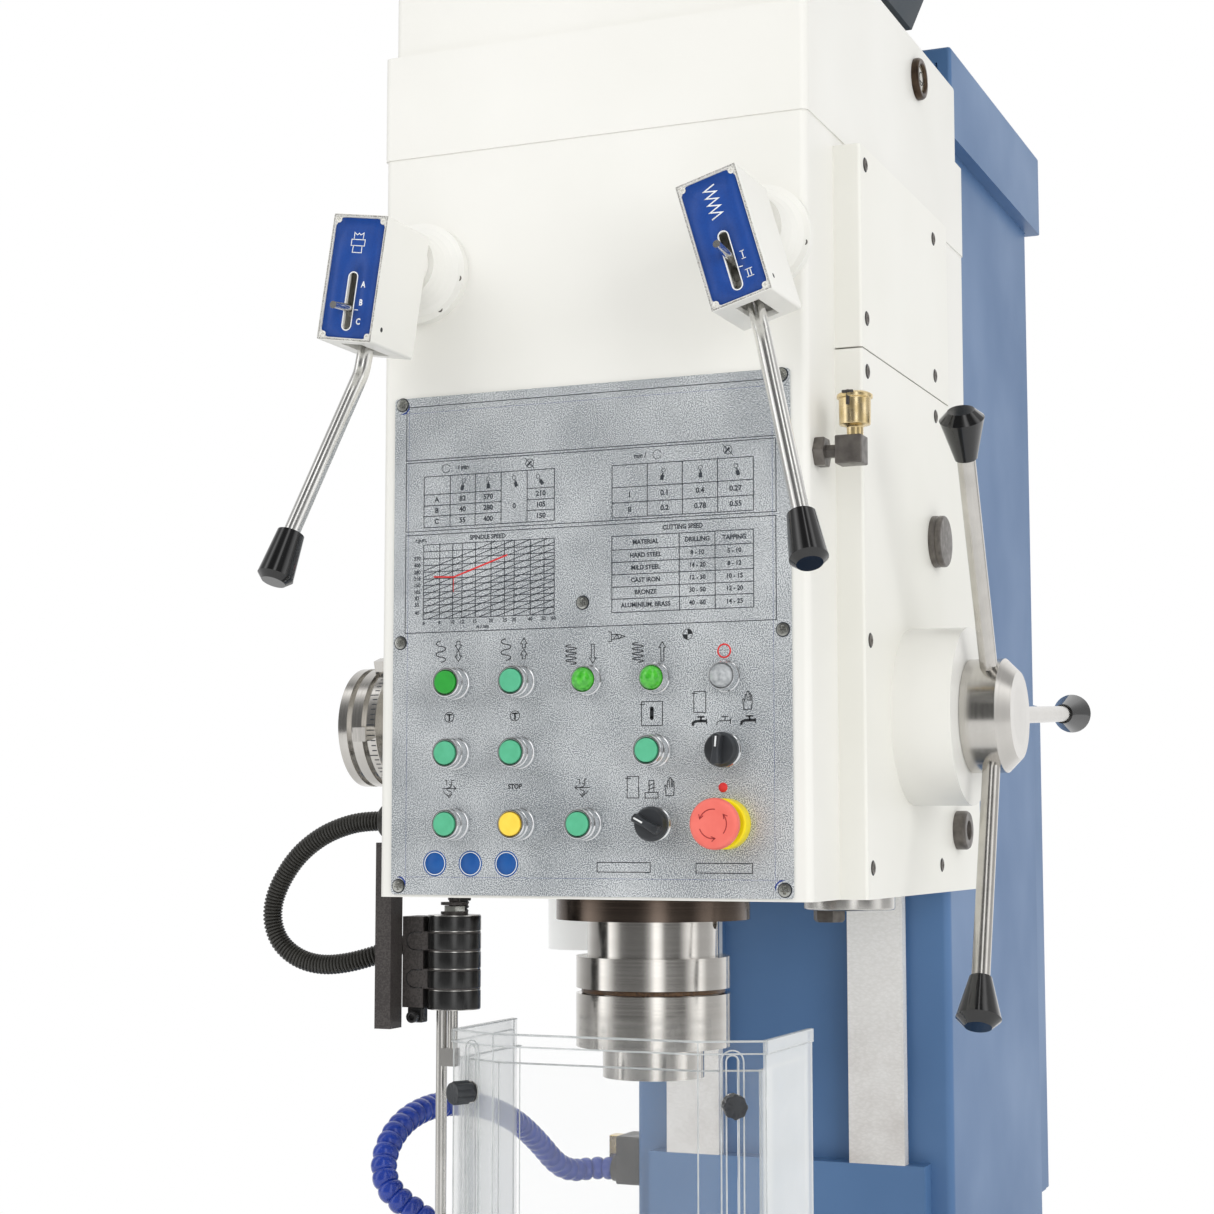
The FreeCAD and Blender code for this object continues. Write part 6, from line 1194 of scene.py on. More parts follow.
@dataclass
class Studio:
    """Camera, floor and lamps: plain soft light on a white ground."""

    eye: Triple = (0.7724, -2.2281, 1.5113)
    pitch: float = 95.59
    yaw: float = 22.74
    lens: float = 66.92
    sensor: float = 36.0
    far_clip: float = 60.0
    ambient: float = 0.75
    half: float = 9.0
    middle: float = 240.0
    fade: Pair = (1.6, 3.4)
    mirror: tuple[Pair, ...] = (
        (-180, 0.3), (-165, 0.5), (-150, 1.7), (-138, 0.9), (-127, 0.2), (-115, 0.13), (-84, 0.14),
        (-74, 0.5), (-66, 1.8), (-58, 1.6), (-49, 0.2), (-22, 0.15), (-7, 1.1), (6, 1.5), (18, 0.5),
        (46, 0.55), (70, 1.1), (100, 1.0), (140, 0.8), (180, 0.3),
    )

    lamps: tuple[tuple[str, Triple, Triple, float, float], ...] = (
        ("key", (-1.6, -3.6, 3.6), (0.0, -0.2, 1.5), 2.2, 40),
        ("fill", (3.4, -2.6, 2.4), (0.0, 0.0, 1.5), 2.4, 58),
        ("rim", (-2.8, 2.6, 3.2), (0.0, 0.2, 1.6), 2.0, 20),
    )

    def camera(self) -> None:
        """Puts the camera where the machine is seen from."""
        data = bpy.data.cameras.new("view")
        data.lens, data.sensor_width, data.clip_end = self.lens, self.sensor, self.far_clip
        camera = linked("view", data)
        camera.location = self.eye
        camera.rotation_euler = (math.radians(self.pitch), 0.0, math.radians(self.yaw))
        bpy.context.scene.camera = camera

    def rays(self, tree: Tree) -> list[Socket]:
        """Whether a ray comes straight from the view, off a gloss, or through a clear sheet."""
        seen = add(tree, "ShaderNodeLightPath")
        return [seen.outputs[k] for k in ("Is Camera Ray", "Is Glossy Ray", "Is Transmission Ray")]

    def floor(self) -> None:
        """A wide pale floor; far from the machine it turns into the white of the ground."""
        edge = np.linspace(-self.half, self.half, 3) / MM
        x, y = np.meshgrid(edge, edge, indexing="xy")
        made = from_grid(np.stack([x, y + self.middle, 0 * x], -1)).mesh("studio_floor", outward=False)
        material = bpy.data.materials.new("pale studio floor")
        tree = fresh(material)
        at = add(tree, "ShaderNodeTexCoord").outputs["Object"]
        far = add(tree, "ShaderNodeVectorMath", {0: at}, operation="LENGTH")
        share = ranged(tree, far.outputs["Value"], *self.fade, interpolation_type="SMOOTHSTEP")
        camera, glossy, through = self.rays(tree)
        some = maths(tree, "MAXIMUM", maths(tree, "MAXIMUM", camera, glossy), through)
        amount = maths(tree, "MULTIPLY", share, some)
        pale = add(tree, "ShaderNodeBsdfPrincipled", {
            "Base Color": linear("F4F4F3"), "Roughness": 0.9, "Specular IOR Level": 0.1,
        })
        white = add(tree, "ShaderNodeEmission", {"Color": WHITE, "Strength": 1.0})
        both = add(tree, "ShaderNodeMixShader", {0: amount, 1: pale.outputs[0], 2: white.outputs[0]})
        add(tree, "ShaderNodeOutputMaterial", {"Surface": both.outputs[0]})
        made.data.materials.append(material)

    def world(self) -> None:
        """White where it is seen; an even level for diffuse light; strips of light in mirrors.

        Polished steel needs bright and dark strips round it to look like steel. Their level is a
        ramp over the compass direction of a mirrored ray, with no picture in it.
        """
        world = bpy.data.worlds.new("studio")
        tree = fresh(world)
        camera, mirrored, through = self.rays(tree)
        some = maths(tree, "MAXIMUM", camera, through)
        level = add(tree, "ShaderNodeMix", {0: some, 2: self.ambient, 3: 1.0})
        way = add(tree, "ShaderNodeSeparateXYZ", {0: add(tree, "ShaderNodeTexCoord").outputs["Generated"]})
        compass = maths(tree, "ARCTAN2", way.outputs[1], way.outputs[0])
        turn = ranged(tree, compass, -math.pi, math.pi)
        strips = add(tree, "ShaderNodeValToRGB", {0: turn})
        for count, (degrees, amount) in enumerate(self.mirror):
            place = (degrees + 180) / 360
            stops = strips.color_ramp.elements
            stop = stops[count] if count < 2 else stops.new(place)
            stop.position, stop.color = place, (amount, amount, amount, 1.0)
        glossy = add(tree, "ShaderNodeMix", {0: mirrored, 2: level.outputs[0], 3: strips.outputs[0]})
        back = add(tree, "ShaderNodeBackground", {"Color": WHITE, "Strength": glossy.outputs[0]})
        add(tree, "ShaderNodeOutputWorld", {"Surface": back.outputs[0]})
        bpy.context.scene.world = world

    def lamp(self, name: str, at: Triple, aim_at: Triple, size: float, power: float) -> None:
        """A square soft box.

        Args:
            name: its name.
            at: where it hangs, in metres.
            aim_at: the point that it faces.
            size: side of the box, in metres.
            power: its power, in watts.
        """
        data = bpy.data.lights.new(name, "AREA")
        data.shape, data.size, data.energy = "SQUARE", size, power
        lamp = linked(name, data)
        lamp.visible_glossy = False
        lamp.location = at
        lamp.rotation_euler = (Vector(at) - Vector(aim_at)).to_track_quat("Z", "Y").to_euler()

    def build(self) -> None:
        """Makes the whole studio."""
        self.camera()
        self.floor()
        self.world()
        for lamp in self.lamps:
            self.lamp(*lamp)
        bpy.context.scene.view_settings.view_transform = "Standard"


# ---- small shapes


DOME_DROP = 0.4         # how much of its height a pan head loses at its rim
RECESS_SHARE = 0.75     # depth of its cross over its height
RECESS_TURN = 0.35      # turn of its cross, in radians


def pan_head(radius: float, height: float, columns: int = 40) -> Shape:
    """A pan head with a cross recess, its seat at the origin and its dome along +Z.

    Height at (r, a): height (1 - DOME_DROP (r/R)^2), less RECESS_SHARE height in the cross. The
    cross is full deep where the smaller of |x| and |y| is under 0.11 R and the larger under
    0.5 R, and it ramps out at 0.2 R and 0.62 R.

    Args:
        radius: of the head, in millimetres.
        height: of the dome.
        columns: cells round the head.

    Returns:
        The head.
    """
    r = np.concatenate([np.linspace(0, 1, 13), [1.0]])[:, None] * radius
    a = np.linspace(0, 2 * math.pi, columns + 1)[None, :] + RECESS_TURN
    x, y = r * np.cos(a), r * np.sin(a)
    small, large = np.minimum(np.abs(x), np.abs(y)), np.maximum(np.abs(x), np.abs(y))
    cut = np.clip((0.2 * radius - small) / (0.09 * radius), 0, 1)
    cut = cut * np.clip((0.62 * radius - large) / (0.12 * radius), 0, 1)
    z = height * (1 - DOME_DROP * (r / radius) ** 2) - RECESS_SHARE * height * cut
    z[-1] = 0.0
    return from_grid(np.stack([x + 0 * z, y + 0 * z, z], -1))


def socket_head(radius: float, height: float) -> Shape:
    """A cap screw with a round socket: a profile turned about +Z."""
    return lathe([(0, 0), (0, radius), (height, radius), (height, radius * 0.52),
                  (height * 0.45, radius * 0.5), (height * 0.45, 0)], 0.35, 32)


def obround(half: float, low: float, high: float) -> Array:
    """Outline of a slot with round ends: two half circles of that half width, one above the other.

    Args:
        half: half the width.
        low: lower end.
        high: upper end.

    Returns:
        The outline, anticlockwise from the right.
    """
    a = np.linspace(0, math.pi, 13)
    top = np.stack([half * np.cos(a), high - half + half * np.sin(a)], -1)
    end = np.stack([-half * np.cos(a), low + half - half * np.sin(a)], -1)
    return np.concatenate([top, end])


def ray_loop(corners: list[Pair], centre: Pair, angles: Array) -> Array:
    """Where rays from centre meet a polygon, for each angle: the nearest crossing with any of its edges.

    Args:
        corners: of the polygon.
        centre: where the rays start, inside it.
        angles: of the rays.

    Returns:
        One point for each angle.
    """
    p = np.asarray(corners, float) - np.asarray(centre, float)
    edge = np.roll(p, -1, axis=0) - p
    d = np.stack([np.cos(angles), np.sin(angles)], -1)[:, None]
    bottom = d[..., 0] * edge[:, 1] - d[..., 1] * edge[:, 0]
    bottom = np.where(np.abs(bottom) < TINY, TINY, bottom)
    along = (p[:, 0] * edge[:, 1] - p[:, 1] * edge[:, 0]) / bottom
    share = (p[:, 0] * d[..., 1] - p[:, 1] * d[..., 0]) / bottom
    along = np.where((share >= -1e-6) & (share <= 1 + 1e-6) & (along > 0), along, FAR)
    return np.asarray(centre, float) + d[:, 0] * along.min(axis=1)[:, None]


# ---- control plate


class Cap(Enum):
    """Each push button of the plate: its column, its row, its node and its finish."""

    FEED_DOWN = (0, 0, "button_feed_down", Look.VIVID_CAP)
    FEED_UP = (1, 0, "button_feed_up", Look.GREEN_CAP)
    TAP_LEFT = (0, 1, "button_tap_left", Look.GREEN_CAP)
    TAP_RIGHT = (1, 1, "button_tap_right", Look.GREEN_CAP)
    MAGNET = (3, 1, "button_magnet", Look.GREEN_CAP)
    SPINDLE_LEFT = (0, 2, "button_spindle_left", Look.GREEN_CAP)
    STOP = (1, 2, "button_stop", Look.YELLOW_CAP)
    SPINDLE_RIGHT = (2, 2, "button_spindle_right", Look.GREEN_CAP)


@dataclass
class ControlPlate(Assembly):
    """The silver face plate with its prints, push buttons, lamps, selectors and stop button."""

    face: float = -432.0
    seat: float = 10.4
    first: Pair = (-124.7, 1638.8)
    step: Pair = (63.4, -62.1)
    lamps: tuple[tuple[int, Look], ...] = (
        (2, Look.GREEN_LENS), (3, Look.GREEN_LENS), (4, Look.CLEAR_LENS),
    )
    selectors: tuple[tuple[str, int, int, float], ...] = (
        ("selector_coolant", 4, 1, 5.0), ("selector_mode", 3, 2, -62.0),
    )
    screws: tuple[Pair, ...] = (
        (-3.4, 1706.6), (-181.8, 1459.8), (-181.8, 1676.9), (-181.8, 1893.9),
        (179.7, 1459.8), (179.7, 1676.9), (179.7, 1893.9),
    )

    def spot(self, column: int, row: int) -> Pair:
        """X and Z of a place in the grid."""
        return self.first[0] + column * self.step[0], self.first[1] + row * self.step[1]

    def at(self, place: Pair, ahead: float = 0.0) -> Triple:
        """A point on the face plate, or ahead of it towards the operator."""
        return place[0], self.face - ahead, place[1]

    def seated(self, shape: Shape, column: int, row: int, ahead: float = 0.0) -> Shape:
        """A turned shape at a place in the grid, its axis towards the operator."""
        return shape.aimed(FRONT, self.at(self.spot(column, row), ahead))

    def sheet(self, lift: float = 0.12) -> Sheet:
        """The plate's face for prints."""
        return Sheet((0.0, self.face, 0.0), lift=lift, pen=0.7)

    def build_bezels(self) -> None:
        """Turned and chromed bezels: a foot, a body and a front ring, with grooves between."""
        body = lathe([
            (0, 10.7), (0, 14.5), (5.2, 14.5), (5.8, 13.2), (7.4, 13.2), (8, 14.0), (16.4, 13.8),
            (17, 12.7), (18.8, 12.7), (19.4, 13.4), (22.9, 13.4), (24, 12.5), (24, 11.1), (22, 10.7),
            (0, 10.7),
        ], 0.35, 56)
        short = lathe([
            (0, 10.2), (0, 13.6), (3.4, 13.6), (4, 12.5), (10.8, 12.3), (13, 11.5), (13, 10.6),
            (11, 10.2), (0, 10.2),
        ], 0.35, 48)
        foot = lathe([(0, 6), (0, 14.6), (4, 14.6), (4.6, 13.4), (10, 13.2), (10, 6), (0, 6)], 0.35, 48)
        parts = [self.seated(body, *cap.value[:2]) for cap in Cap]
        parts += [self.seated(short, column, 0) for column, _ in self.lamps]
        parts += [self.seated(foot, column, row) for _, column, row, _ in self.selectors]
        self.dresser.make(joined(*parts), "bezels", "head", Look.CHROME, "button_bezels")

    def build_caps(self) -> None:
        """Push caps: a flat matt face with a soft edge on a short barrel, and the stem behind it."""
        cap = lathe([
            (4.4, 0), (4.4, 5), (20, 5), (20, 10.2), (25.1, 10.2), (26, 9.3), (25.8, 4), (25.75, 0),
        ], 0.5, 56)
        for control in Cap:
            column, row, name, look = control.value
            self.dresser.make(self.seated(cap, column, row), name + "_cap", name + "_body", look, name)

    def build_lamps(self) -> None:
        """Lamp lenses: a dome with a low step, and faint facets moulded round it."""
        lens = lathe([
            (6, 0), (6, 10.1), (13.2, 10.1), (15.2, 9.7), (17.4, 8.2), (19.4, 5.6), (20.6, 2.6), (21, 0),
        ], 0.8, 48, flutes=16, depth=0.35, span=(13.4, 20.2))
        for column, look in self.lamps:
            shape = self.seated(lens, column, 0)
            self.dresser.make(shape, f"lamp_lens_{column}", "head", look, "pilot_lamps")

    def build_selectors(self) -> None:
        """Selector knobs: a knurled skirt, a waisted grip and a white pointer line."""
        skirt = lathe([(0, 0), (0, 14.9), (4.4, 14.9), (9, 12.9), (9.2, 0)], 0.6, 96, flutes=32,
                      depth=0.5, span=(0.6, 4.2))
        for name, column, row, angle in self.selectors:
            place, turn = self.spot(column, row), about(1, angle)
            grip = self.grip(self.seat + 9.0, 10.0, 12.8, 3.9).turned(turn).moved(self.at(place))
            shape = joined(self.seated(skirt, column, row, self.seat), grip)
            self.dresser.make(shape, name + "_knob", name + "_body", Look.NYLON, name)
            top = Sheet(self.at(place, self.seat + 19.0), tuple(turn[:, 0]), tuple(turn[:, 2]), 0.1)
            line = top.line([(0.0, 2.0), (0.0, 10.8)], 1.5)
            self.dresser.stamp(top, [line], name + "_line", name + "_body", Look.WHITE_INK)

    def grip(self, back: float, tall: float, reach: float, half: float) -> Shape:
        """The bar of a selector.

        Its section at share t along the bar is half (0.72 + 0.28 |2t - 1|) wide, so it has a
        waist for finger and thumb, and its top edges are rolled.

        Args:
            back: where it starts ahead of the plate.
            tall: how far it stands out.
            reach: half its length.
            half: half its width at the ends.

        Returns:
            The bar, upright, its middle on the Y axis.
        """
        t = np.linspace(0, 1, 25)[:, None]
        end = np.sin(np.pi * np.clip(np.minimum(t, 1 - t) * 12, 0, 0.5)) ** 0.5
        wide = half * (0.72 + 0.28 * np.abs(2 * t - 1)) * end
        roll = softened([(-1, 0), (-1, 0.93), (-0.6, 1), (0.6, 1), (1, 0.93), (1, 0), (-1, 0)], 0.12)
        x = wide * roll[None, :, 0]
        y = -(back - 0.3 + (tall + 0.3) * roll[None, :, 1] + 0 * t)
        z = (2 * t - 1) * reach + 0 * x
        return from_grid(np.stack([x, y, z], -1))

    def build_stop(self) -> None:
        """Emergency stop: yellow collar, black neck and a dished red mushroom with turn arrows."""
        turned = (
            ("stop_collar", "head", Look.YELLOW_COLLAR, "button_bezels", 0.6, 72,
             [(0, 6.5), (0, 21.5), (12.5, 21.3), (14, 20.4), (14, 6.5), (0, 6.5)]),
            ("stop_neck", "head", Look.NYLON, "button_bezels", 0.4, 48,
             [(14, 6.5), (14, 15), (19, 15), (19, 6.5), (14, 6.5)]),
            ("stop_mushroom", "stop_head", Look.RED_HEAD, "emergency_stop", 1.2, 88,
             [(25.4, 0), (25.4, 16), (20.4, 16), (20.4, 18.4), (23.5, 20.2), (29.0, 21.6),
              (32.4, 21.5), (34.6, 20.2), (35.3, 17.4), (35.1, 9), (35, 0)]),
            ("stop_stem", "stop_head", Look.BRIGHT_STEEL, "emergency_stop", 0.3, 32,
             [(5.5, 0), (5.5, 5.9), (25.6, 5.9), (25.6, 0)]),
        )
        for name, body, look, node, soften, steps, outline in turned:
            self.dresser.make(self.seated(lathe(outline, soften, steps), 4, 2), name, body, look, node)
        top = Sheet(self.at(self.spot(4, 2), 35.15), lift=0.1)
        marks = []
        for start in (200, 320, 80):
            marks.append(top.ring((0, 0), 11.7, 12.6, (start, start + 78)))
            a = math.radians(start + 80)
            tip = np.array([math.cos(a), math.sin(a)]) * 12.15
            way = np.array([-math.sin(a), math.cos(a)])
            out = np.array([way[1], -way[0]])
            marks.append(top.line([tuple(tip - way * 3.4 + out * 2.0), tuple(tip),
                                   tuple(tip - way * 3.4 - out * 2.0)], 0.8))
        self.dresser.stamp(top, marks, "stop_arrows", "stop_head", Look.DEEP_RED)

    def build_screws(self) -> None:
        """Seven pan-head screws, each with a dark ring round it: painted shadow where the head sits in its
        countersink.
        """
        head = pan_head(5.4, 1.55)
        heads = [head.aimed(FRONT, self.at(s)) for s in self.screws]
        self.dresser.make(joined(*heads), "plate_screws", "head", Look.ZINC, "cover_screws")
        sheet = self.sheet(0.05)
        # The dark rings are painted shadow round the screw heads.
        rings = [sheet.ring(s, 5.3, 6.4) for s in self.screws]
        self.dresser.stamp(sheet, rings, "plate_screw_shadow_rings", "head", Look.DARK_INK, 0.04)

    def tables(self, s: Sheet) -> list[Shape]:
        """The ruled frames and the three tables with their figures.

        Args:
            s: the face of the plate.

        Returns:
            Flat shapes.
        """
        thin, fine = 0.5, 0.42
        frames = (
            ((-177.4, 176.4), (1842.2, 1891.0), fine), ((-177.4, 174.4), (1777.2, 1839.8), fine),
            ((-177.4, 174.0), (1685.4, 1773.8), fine), ((-159.2, -30.6), (1780.2, 1826.4), thin),
            ((24.4, 154.4), (1779.4, 1825.4), thin), ((24.2, 154.0), (1696.8, 1763.2), thin),
            ((-159.2, -30.6), (1697.6, 1764.6), thin),
        )
        shapes = [s.box(*f) for f in frames]
        shapes += s.uprights((-133.0, -108.0, -82.4, -57.0), (1780.2, 1826.4), fine)
        for z in (1790.4, 1800.0, 1810.0):
            shapes += s.levels((z,), (-159.2, -82.4), fine) + s.levels((z,), (-57.0, -30.6), fine)
        shapes += s.uprights((57.4, 89.8, 122.0), (1779.4, 1825.4), fine)
        shapes += s.levels((1792.4, 1805.8), (24.4, 154.4), fine)
        shapes += s.uprights((86.8, 119.4), (1696.8, 1763.2), fine)
        shapes += s.levels((1751.2, 1740.4, 1729.6, 1718.8, 1708.4), (24.2, 154.0), fine)
        rows = (("A", "82", "570", "210"), ("B", "40", "280", "105"), ("C", "55", "400", "150"))
        for row, z in zip(rows, (1805.0, 1795.2, 1785.2)):
            shapes += s.row(row, (-146.4, -120.6, -95.2, -43.8), z, 4.6)
        shapes.append(s.words("0", (-69.6, 1795.2), 4.6))
        for row, z in zip((("I", "0.1", "0.4", "0.27"), ("II", "0.2", "0.78", "0.55")), (1799.0, 1785.8)):
            shapes += s.row(row, (40.8, 73.4, 106.0, 138.2), z, 4.6)
        grid = (
            (("MATERIAL", "DRILLING", "TAPPING"), 1757.2), (("HARD STEEL", "8 - 10", "5 - 10"), 1745.8),
            (("MILD STEEL", "14 - 20", "8 - 12"), 1735.0), (("CAST IRON", "12 - 30", "10 - 15"), 1724.2),
            (("BRONZE", "30 - 50", "12 - 20"), 1713.6),
            (("ALUMINIUM, BRASS", "40 - 60", "14 - 25"), 1702.6),
        )
        for row, z in grid:
            shapes += s.row(row, (55.6, 103.2, 136.8), z, 4.0, 0.95)
        shapes.append(s.words("CUTTING SPEED", (90.0, 1768.6), 4.2, 0.85))
        shapes.append(s.words("/ min", (-120.0, 1833.0), 4.2, 0.9))
        shapes.append(s.words("mm /", (50.6, 1832.6), 4.2, 0.9))
        shapes.append(s.ring((-137.4, 1833.0), 3.6, 4.1, (20, 350)))
        shapes.append(s.ring((66.6, 1832.8), 3.6, 4.1, (20, 350)))
        for x in (-54.6, 131.4):
            shapes.append(s.ring((x, 1832.6), 3.5, 4.1))
            shapes.append(s.line([(x - 4.6, 1837.4), (x + 4.6, 1827.8)], 0.6))
            shapes.append(s.line([(x - 2.4, 1830.4), (x + 1.6, 1834.4)], 1.6))
        for x, z, lean in ((-120.6, 1818.0, 12), (-95.2, 1818.0, 0), (-68.4, 1818.0, -16),
                           (-43.8, 1818.2, -32), (71.4, 1815.8, 12), (106.4, 1815.8, 0),
                           (140.0, 1815.6, -16)):
            c, n = math.cos(math.radians(lean)), math.sin(math.radians(lean))
            shapes.append(s.line([(x - 3.6 * n, z - 3.6 * c - 2), (x + 0.6 * n, z + 0.6 * c - 2)], 3.2))
            shapes.append(s.line([(x + 0.6 * n, z + 0.6 * c - 2), (x + 2.6 * n, z + 2.6 * c - 2)], 1.2))
            shapes.append(s.ring((x + 5 * n, z + 5 * c - 2), 1.5, 2.0))
        return shapes

    def chart(self, s: Sheet) -> list[Shape]:
        """The speed chart: ruled grid, a fan of parallel speed lines, and the figures round it.

        Args:
            s: the face of the plate.

        Returns:
            Flat shapes.
        """
        x0, x1, z0, z1 = -159.2, -30.6, 1697.6, 1764.6
        columns = (-143.0, -130.0, -120.6, -107.4, -92.0, -78.8, -69.4, -53.6, -40.4)
        levels = (1758.4, 1752.0, 1746.0, 1740.0, 1733.6, 1728.0, 1721.6, 1716.0, 1710.0, 1703.6)
        shapes = s.uprights(columns, (z0, z1), 0.4) + s.levels(levels, (x0, x1), 0.4)
        slope = 0.33
        for start in np.arange(1657.0, 1745.0, 5.6):
            a = max(x0, x0 + (z0 - start) / slope)
            b = min(x1, x0 + (z1 - start) / slope)
            shapes.append(s.line([(a, start + (a - x0) * slope), (b, start + (b - x0) * slope)], 0.45))
        for word, z in zip(("570", "400", "280", "210", "150", "105", "82", "55", "40"),
                           (1752.4, 1746.2, 1740.0, 1734.0, 1728.2, 1722.0, 1716.4, 1710.6, 1703.2)):
            shapes.append(s.words(word, (-165.6, z), 3.4, 0.95))
        speeds = ("6", "8", "10", "12", "15", "20", "25", "30", "40", "50", "60")
        places = (-158.6, -143.0, -130.2, -120.6, -108.0, -92.0, -78.2, -69.4, -53.6, -40.6, -31.2)
        shapes += s.row(speeds, places, 1694.0, 3.2, 0.95)
        shapes.append(s.words("r.p.m.", (-162.0, 1769.0), 4.0, 0.9))
        shapes.append(s.words("SPINDLE SPEED", (-95.6, 1769.0), 4.0, 0.95))
        shapes.append(s.words("m / min", (-100.0, 1689.2), 3.2, 0.9))
        return shapes

    def hand(self, s: Sheet, x: float, z: float) -> list[Shape]:
        """An outlined open hand, for operation by hand.

        Args:
            s: the face of the plate.
            x: its middle across.
            z: its middle up.

        Returns:
            Flat shapes.
        """
        edge = [(-4.2, -6), (-4.4, -1), (-5.2, 2.4), (-4.2, 3), (-3, 0.6), (-2.6, 6.6), (-1.4, 6.8),
                (-1, 9), (0.2, 9.2), (0.6, 7.6), (1.6, 7.8), (2, 5.8), (3, 6), (3.4, 0), (2.6, -6)]
        loop = [(x + a, z + b) for a, b in edge]
        fingers = [s.line([(x + a, z + b), (x + a + 0.1, z + 1)], 0.4) for a, b in
                   ((-1.1, 6.6), (0.6, 7.4), (2.0, 5.6))]
        return [s.line(loop, 0.55, True), *fingers]

    def tap(self, s: Sheet, x: float, z: float, bold: bool) -> list[Shape]:
        """A water tap: spout, body and cross handle.

        Args:
            s: the face of the plate.
            x: its middle across.
            z: its middle up.
            bold: draws it with heavy lines.

        Returns:
            Flat shapes.
        """
        w = 2.2 if bold else 0.7
        return [
            s.line([(x - 6, z - 3.4), (x - 5.6, z - 0.8), (x - 3, z + 0.4), (x + 6.4, z + 0.4)], w),
            s.line([(x + 1.4, z), (x + 1.4, z + 4)], w * 0.7),
            s.line([(x - 1.8, z + 4), (x + 4.6, z + 4)], w * 0.6),
            s.line([(x + 6.4, z + 2.2), (x + 6.4, z - 2.2)], max(0.8, w * 0.5)),
        ]

    def drill(self, s: Sheet, x: float, z: float, mirror: float) -> list[Shape]:
        """A turning drill: shank, two lips of the helix, the point, and an arrow round it.

        Args:
            s: the face of the plate.
            x: its middle across.
            z: its middle up.
            mirror: 1 puts the arrow's head on the right, -1 on the left.

        Returns:
            Flat shapes.
        """
        tip = x + 6.8 * mirror
        barb = x + 4.4 * mirror
        return [
            *[s.line([(x + 4.4 * k, z + 7.6), (x + 2.4 * k, z + 7.6), (x + 2.4 * k, z + 3.4)], 0.55)
              for k in (-1, 1)],
            s.wave((x, z - 0.4), 2.1, 9.0, 1.5, 0.7),
            s.line([(x - 2.6, z - 4.6), (x, z - 7.6), (x + 2.6, z - 4.6)], 0.7),
            s.ring((x, z), 5.6, 6.2, (200 if mirror > 0 else 260, 280 if mirror > 0 else 340)),
            s.line([(x - 6.8, z + 0.4), (x + 6.8, z + 0.4)], 0.6),
            s.line([(barb, z + 2.4), (tip, z + 0.4), (barb, z - 1.6)], 0.6),
        ]

    def symbols(self, s: Sheet) -> list[Shape]:
        """The small signs above the controls: springs and arrows, taps, hands, drills, frames.

        Args:
            s: the face of the plate.

        Returns:
            Flat shapes.
        """
        shapes = []
        for x, up in ((-141.2, -1), (-77.0, 1)):
            shapes.append(s.wave((x, 1667.8), 4.8, 19.0, 2.0, 0.85))
            tips = (1668.2, 1658.6) if up < 0 else (1677.4, 1667.6)
            shapes += [s.arrow((x + 17.4, t), 8.6 * up, 3.3) for t in tips]
        for x, up in ((-14.4, -1), (48.4, 1)):
            shapes.append(s.wave((x, 1661.6), 5.0, 17.0, 4.0, 0.85))
            tip = 1653.4 if up < 0 else 1670.0
            shapes.append(s.arrow((x + (20.6 if up < 0 else 22.6), tip), 16.6 * up, 3.1))
        shapes += [
            s.line([(20.8, 1680.2), (23.6, 1680.2), (23.6, 1671.6), (20.8, 1671.6)], 0.55),
            s.line([(24.0, 1678.0), (31.0, 1677.6), (36.6, 1675.8), (31.0, 1674.0), (24.0, 1673.6)], 0.55),
            s.line([(26.0, 1673.8), (28.6, 1677.8), (31.2, 1674.0), (33.8, 1677.0)], 0.5),
            s.ring((94.2, 1675.8), 4.2, 4.7), s.ring((94.2, 1675.8), 0.0, 4.2, (0, 90)),
            s.ring((94.2, 1675.8), 0.0, 4.2, (180, 270)),
        ]
        for x in (-132.4, -68.0):
            shapes += [
                s.ring((x, 1609.2), 4.1, 4.8), s.line([(x, 1605.6), (x, 1612.0)], 1.5),
                s.line([(x - 2.7, 1611.4), (x + 2.7, 1611.4)], 1.3),
            ]
        shapes += [
            s.box((51.8, 71.0), (1598.4, 1619.0), 0.5), s.line([(49.8, 1616.8), (55.0, 1616.8)], 0.5),
            s.line([(61.2, 1604.8), (61.2, 1613.0)], 3.4), s.ring((61.2, 1604.8), 0, 1.7),
            s.ring((61.2, 1613.0), 0, 1.7),
            s.box((99.6, 110.4), (1608.8, 1626.6), 0.5), s.line([(97.6, 1625.0), (102.6, 1625.0)], 0.5),
            s.box((38.4, 49.0), (1536.8, 1555.2), 0.5), s.line([(36.4, 1553.6), (41.4, 1553.6)], 0.5),
            s.box((54.8, 66.8), (1536.6, 1541.4), 0.5), s.box((58.6, 63.0), (1541.4, 1551.6), 0.5),
            s.line([(57.6, 1543.6), (64.0, 1546.0)], 0.5), s.line([(57.6, 1547.0), (64.0, 1549.4)], 0.5),
            s.words("STOP", (-67.8, 1547.2), 4.2, 0.95),
            s.box((10.4, 59.4), (1473.6, 1481.8), 0.35), s.box((101.0, 151.4), (1473.4, 1481.6), 0.35),
        ]
        shapes += self.hand(s, 148.6, 1616.6) + self.hand(s, 78.2, 1544.6)
        shapes += self.tap(s, 104.6, 1601.0, True) + self.tap(s, 126.2, 1601.0, False)
        shapes += self.tap(s, 148.2, 1601.0, True)
        shapes += self.drill(s, -132.0, 1545.6, 1.0) + self.drill(s, -3.6, 1545.6, -1.0)
        return shapes

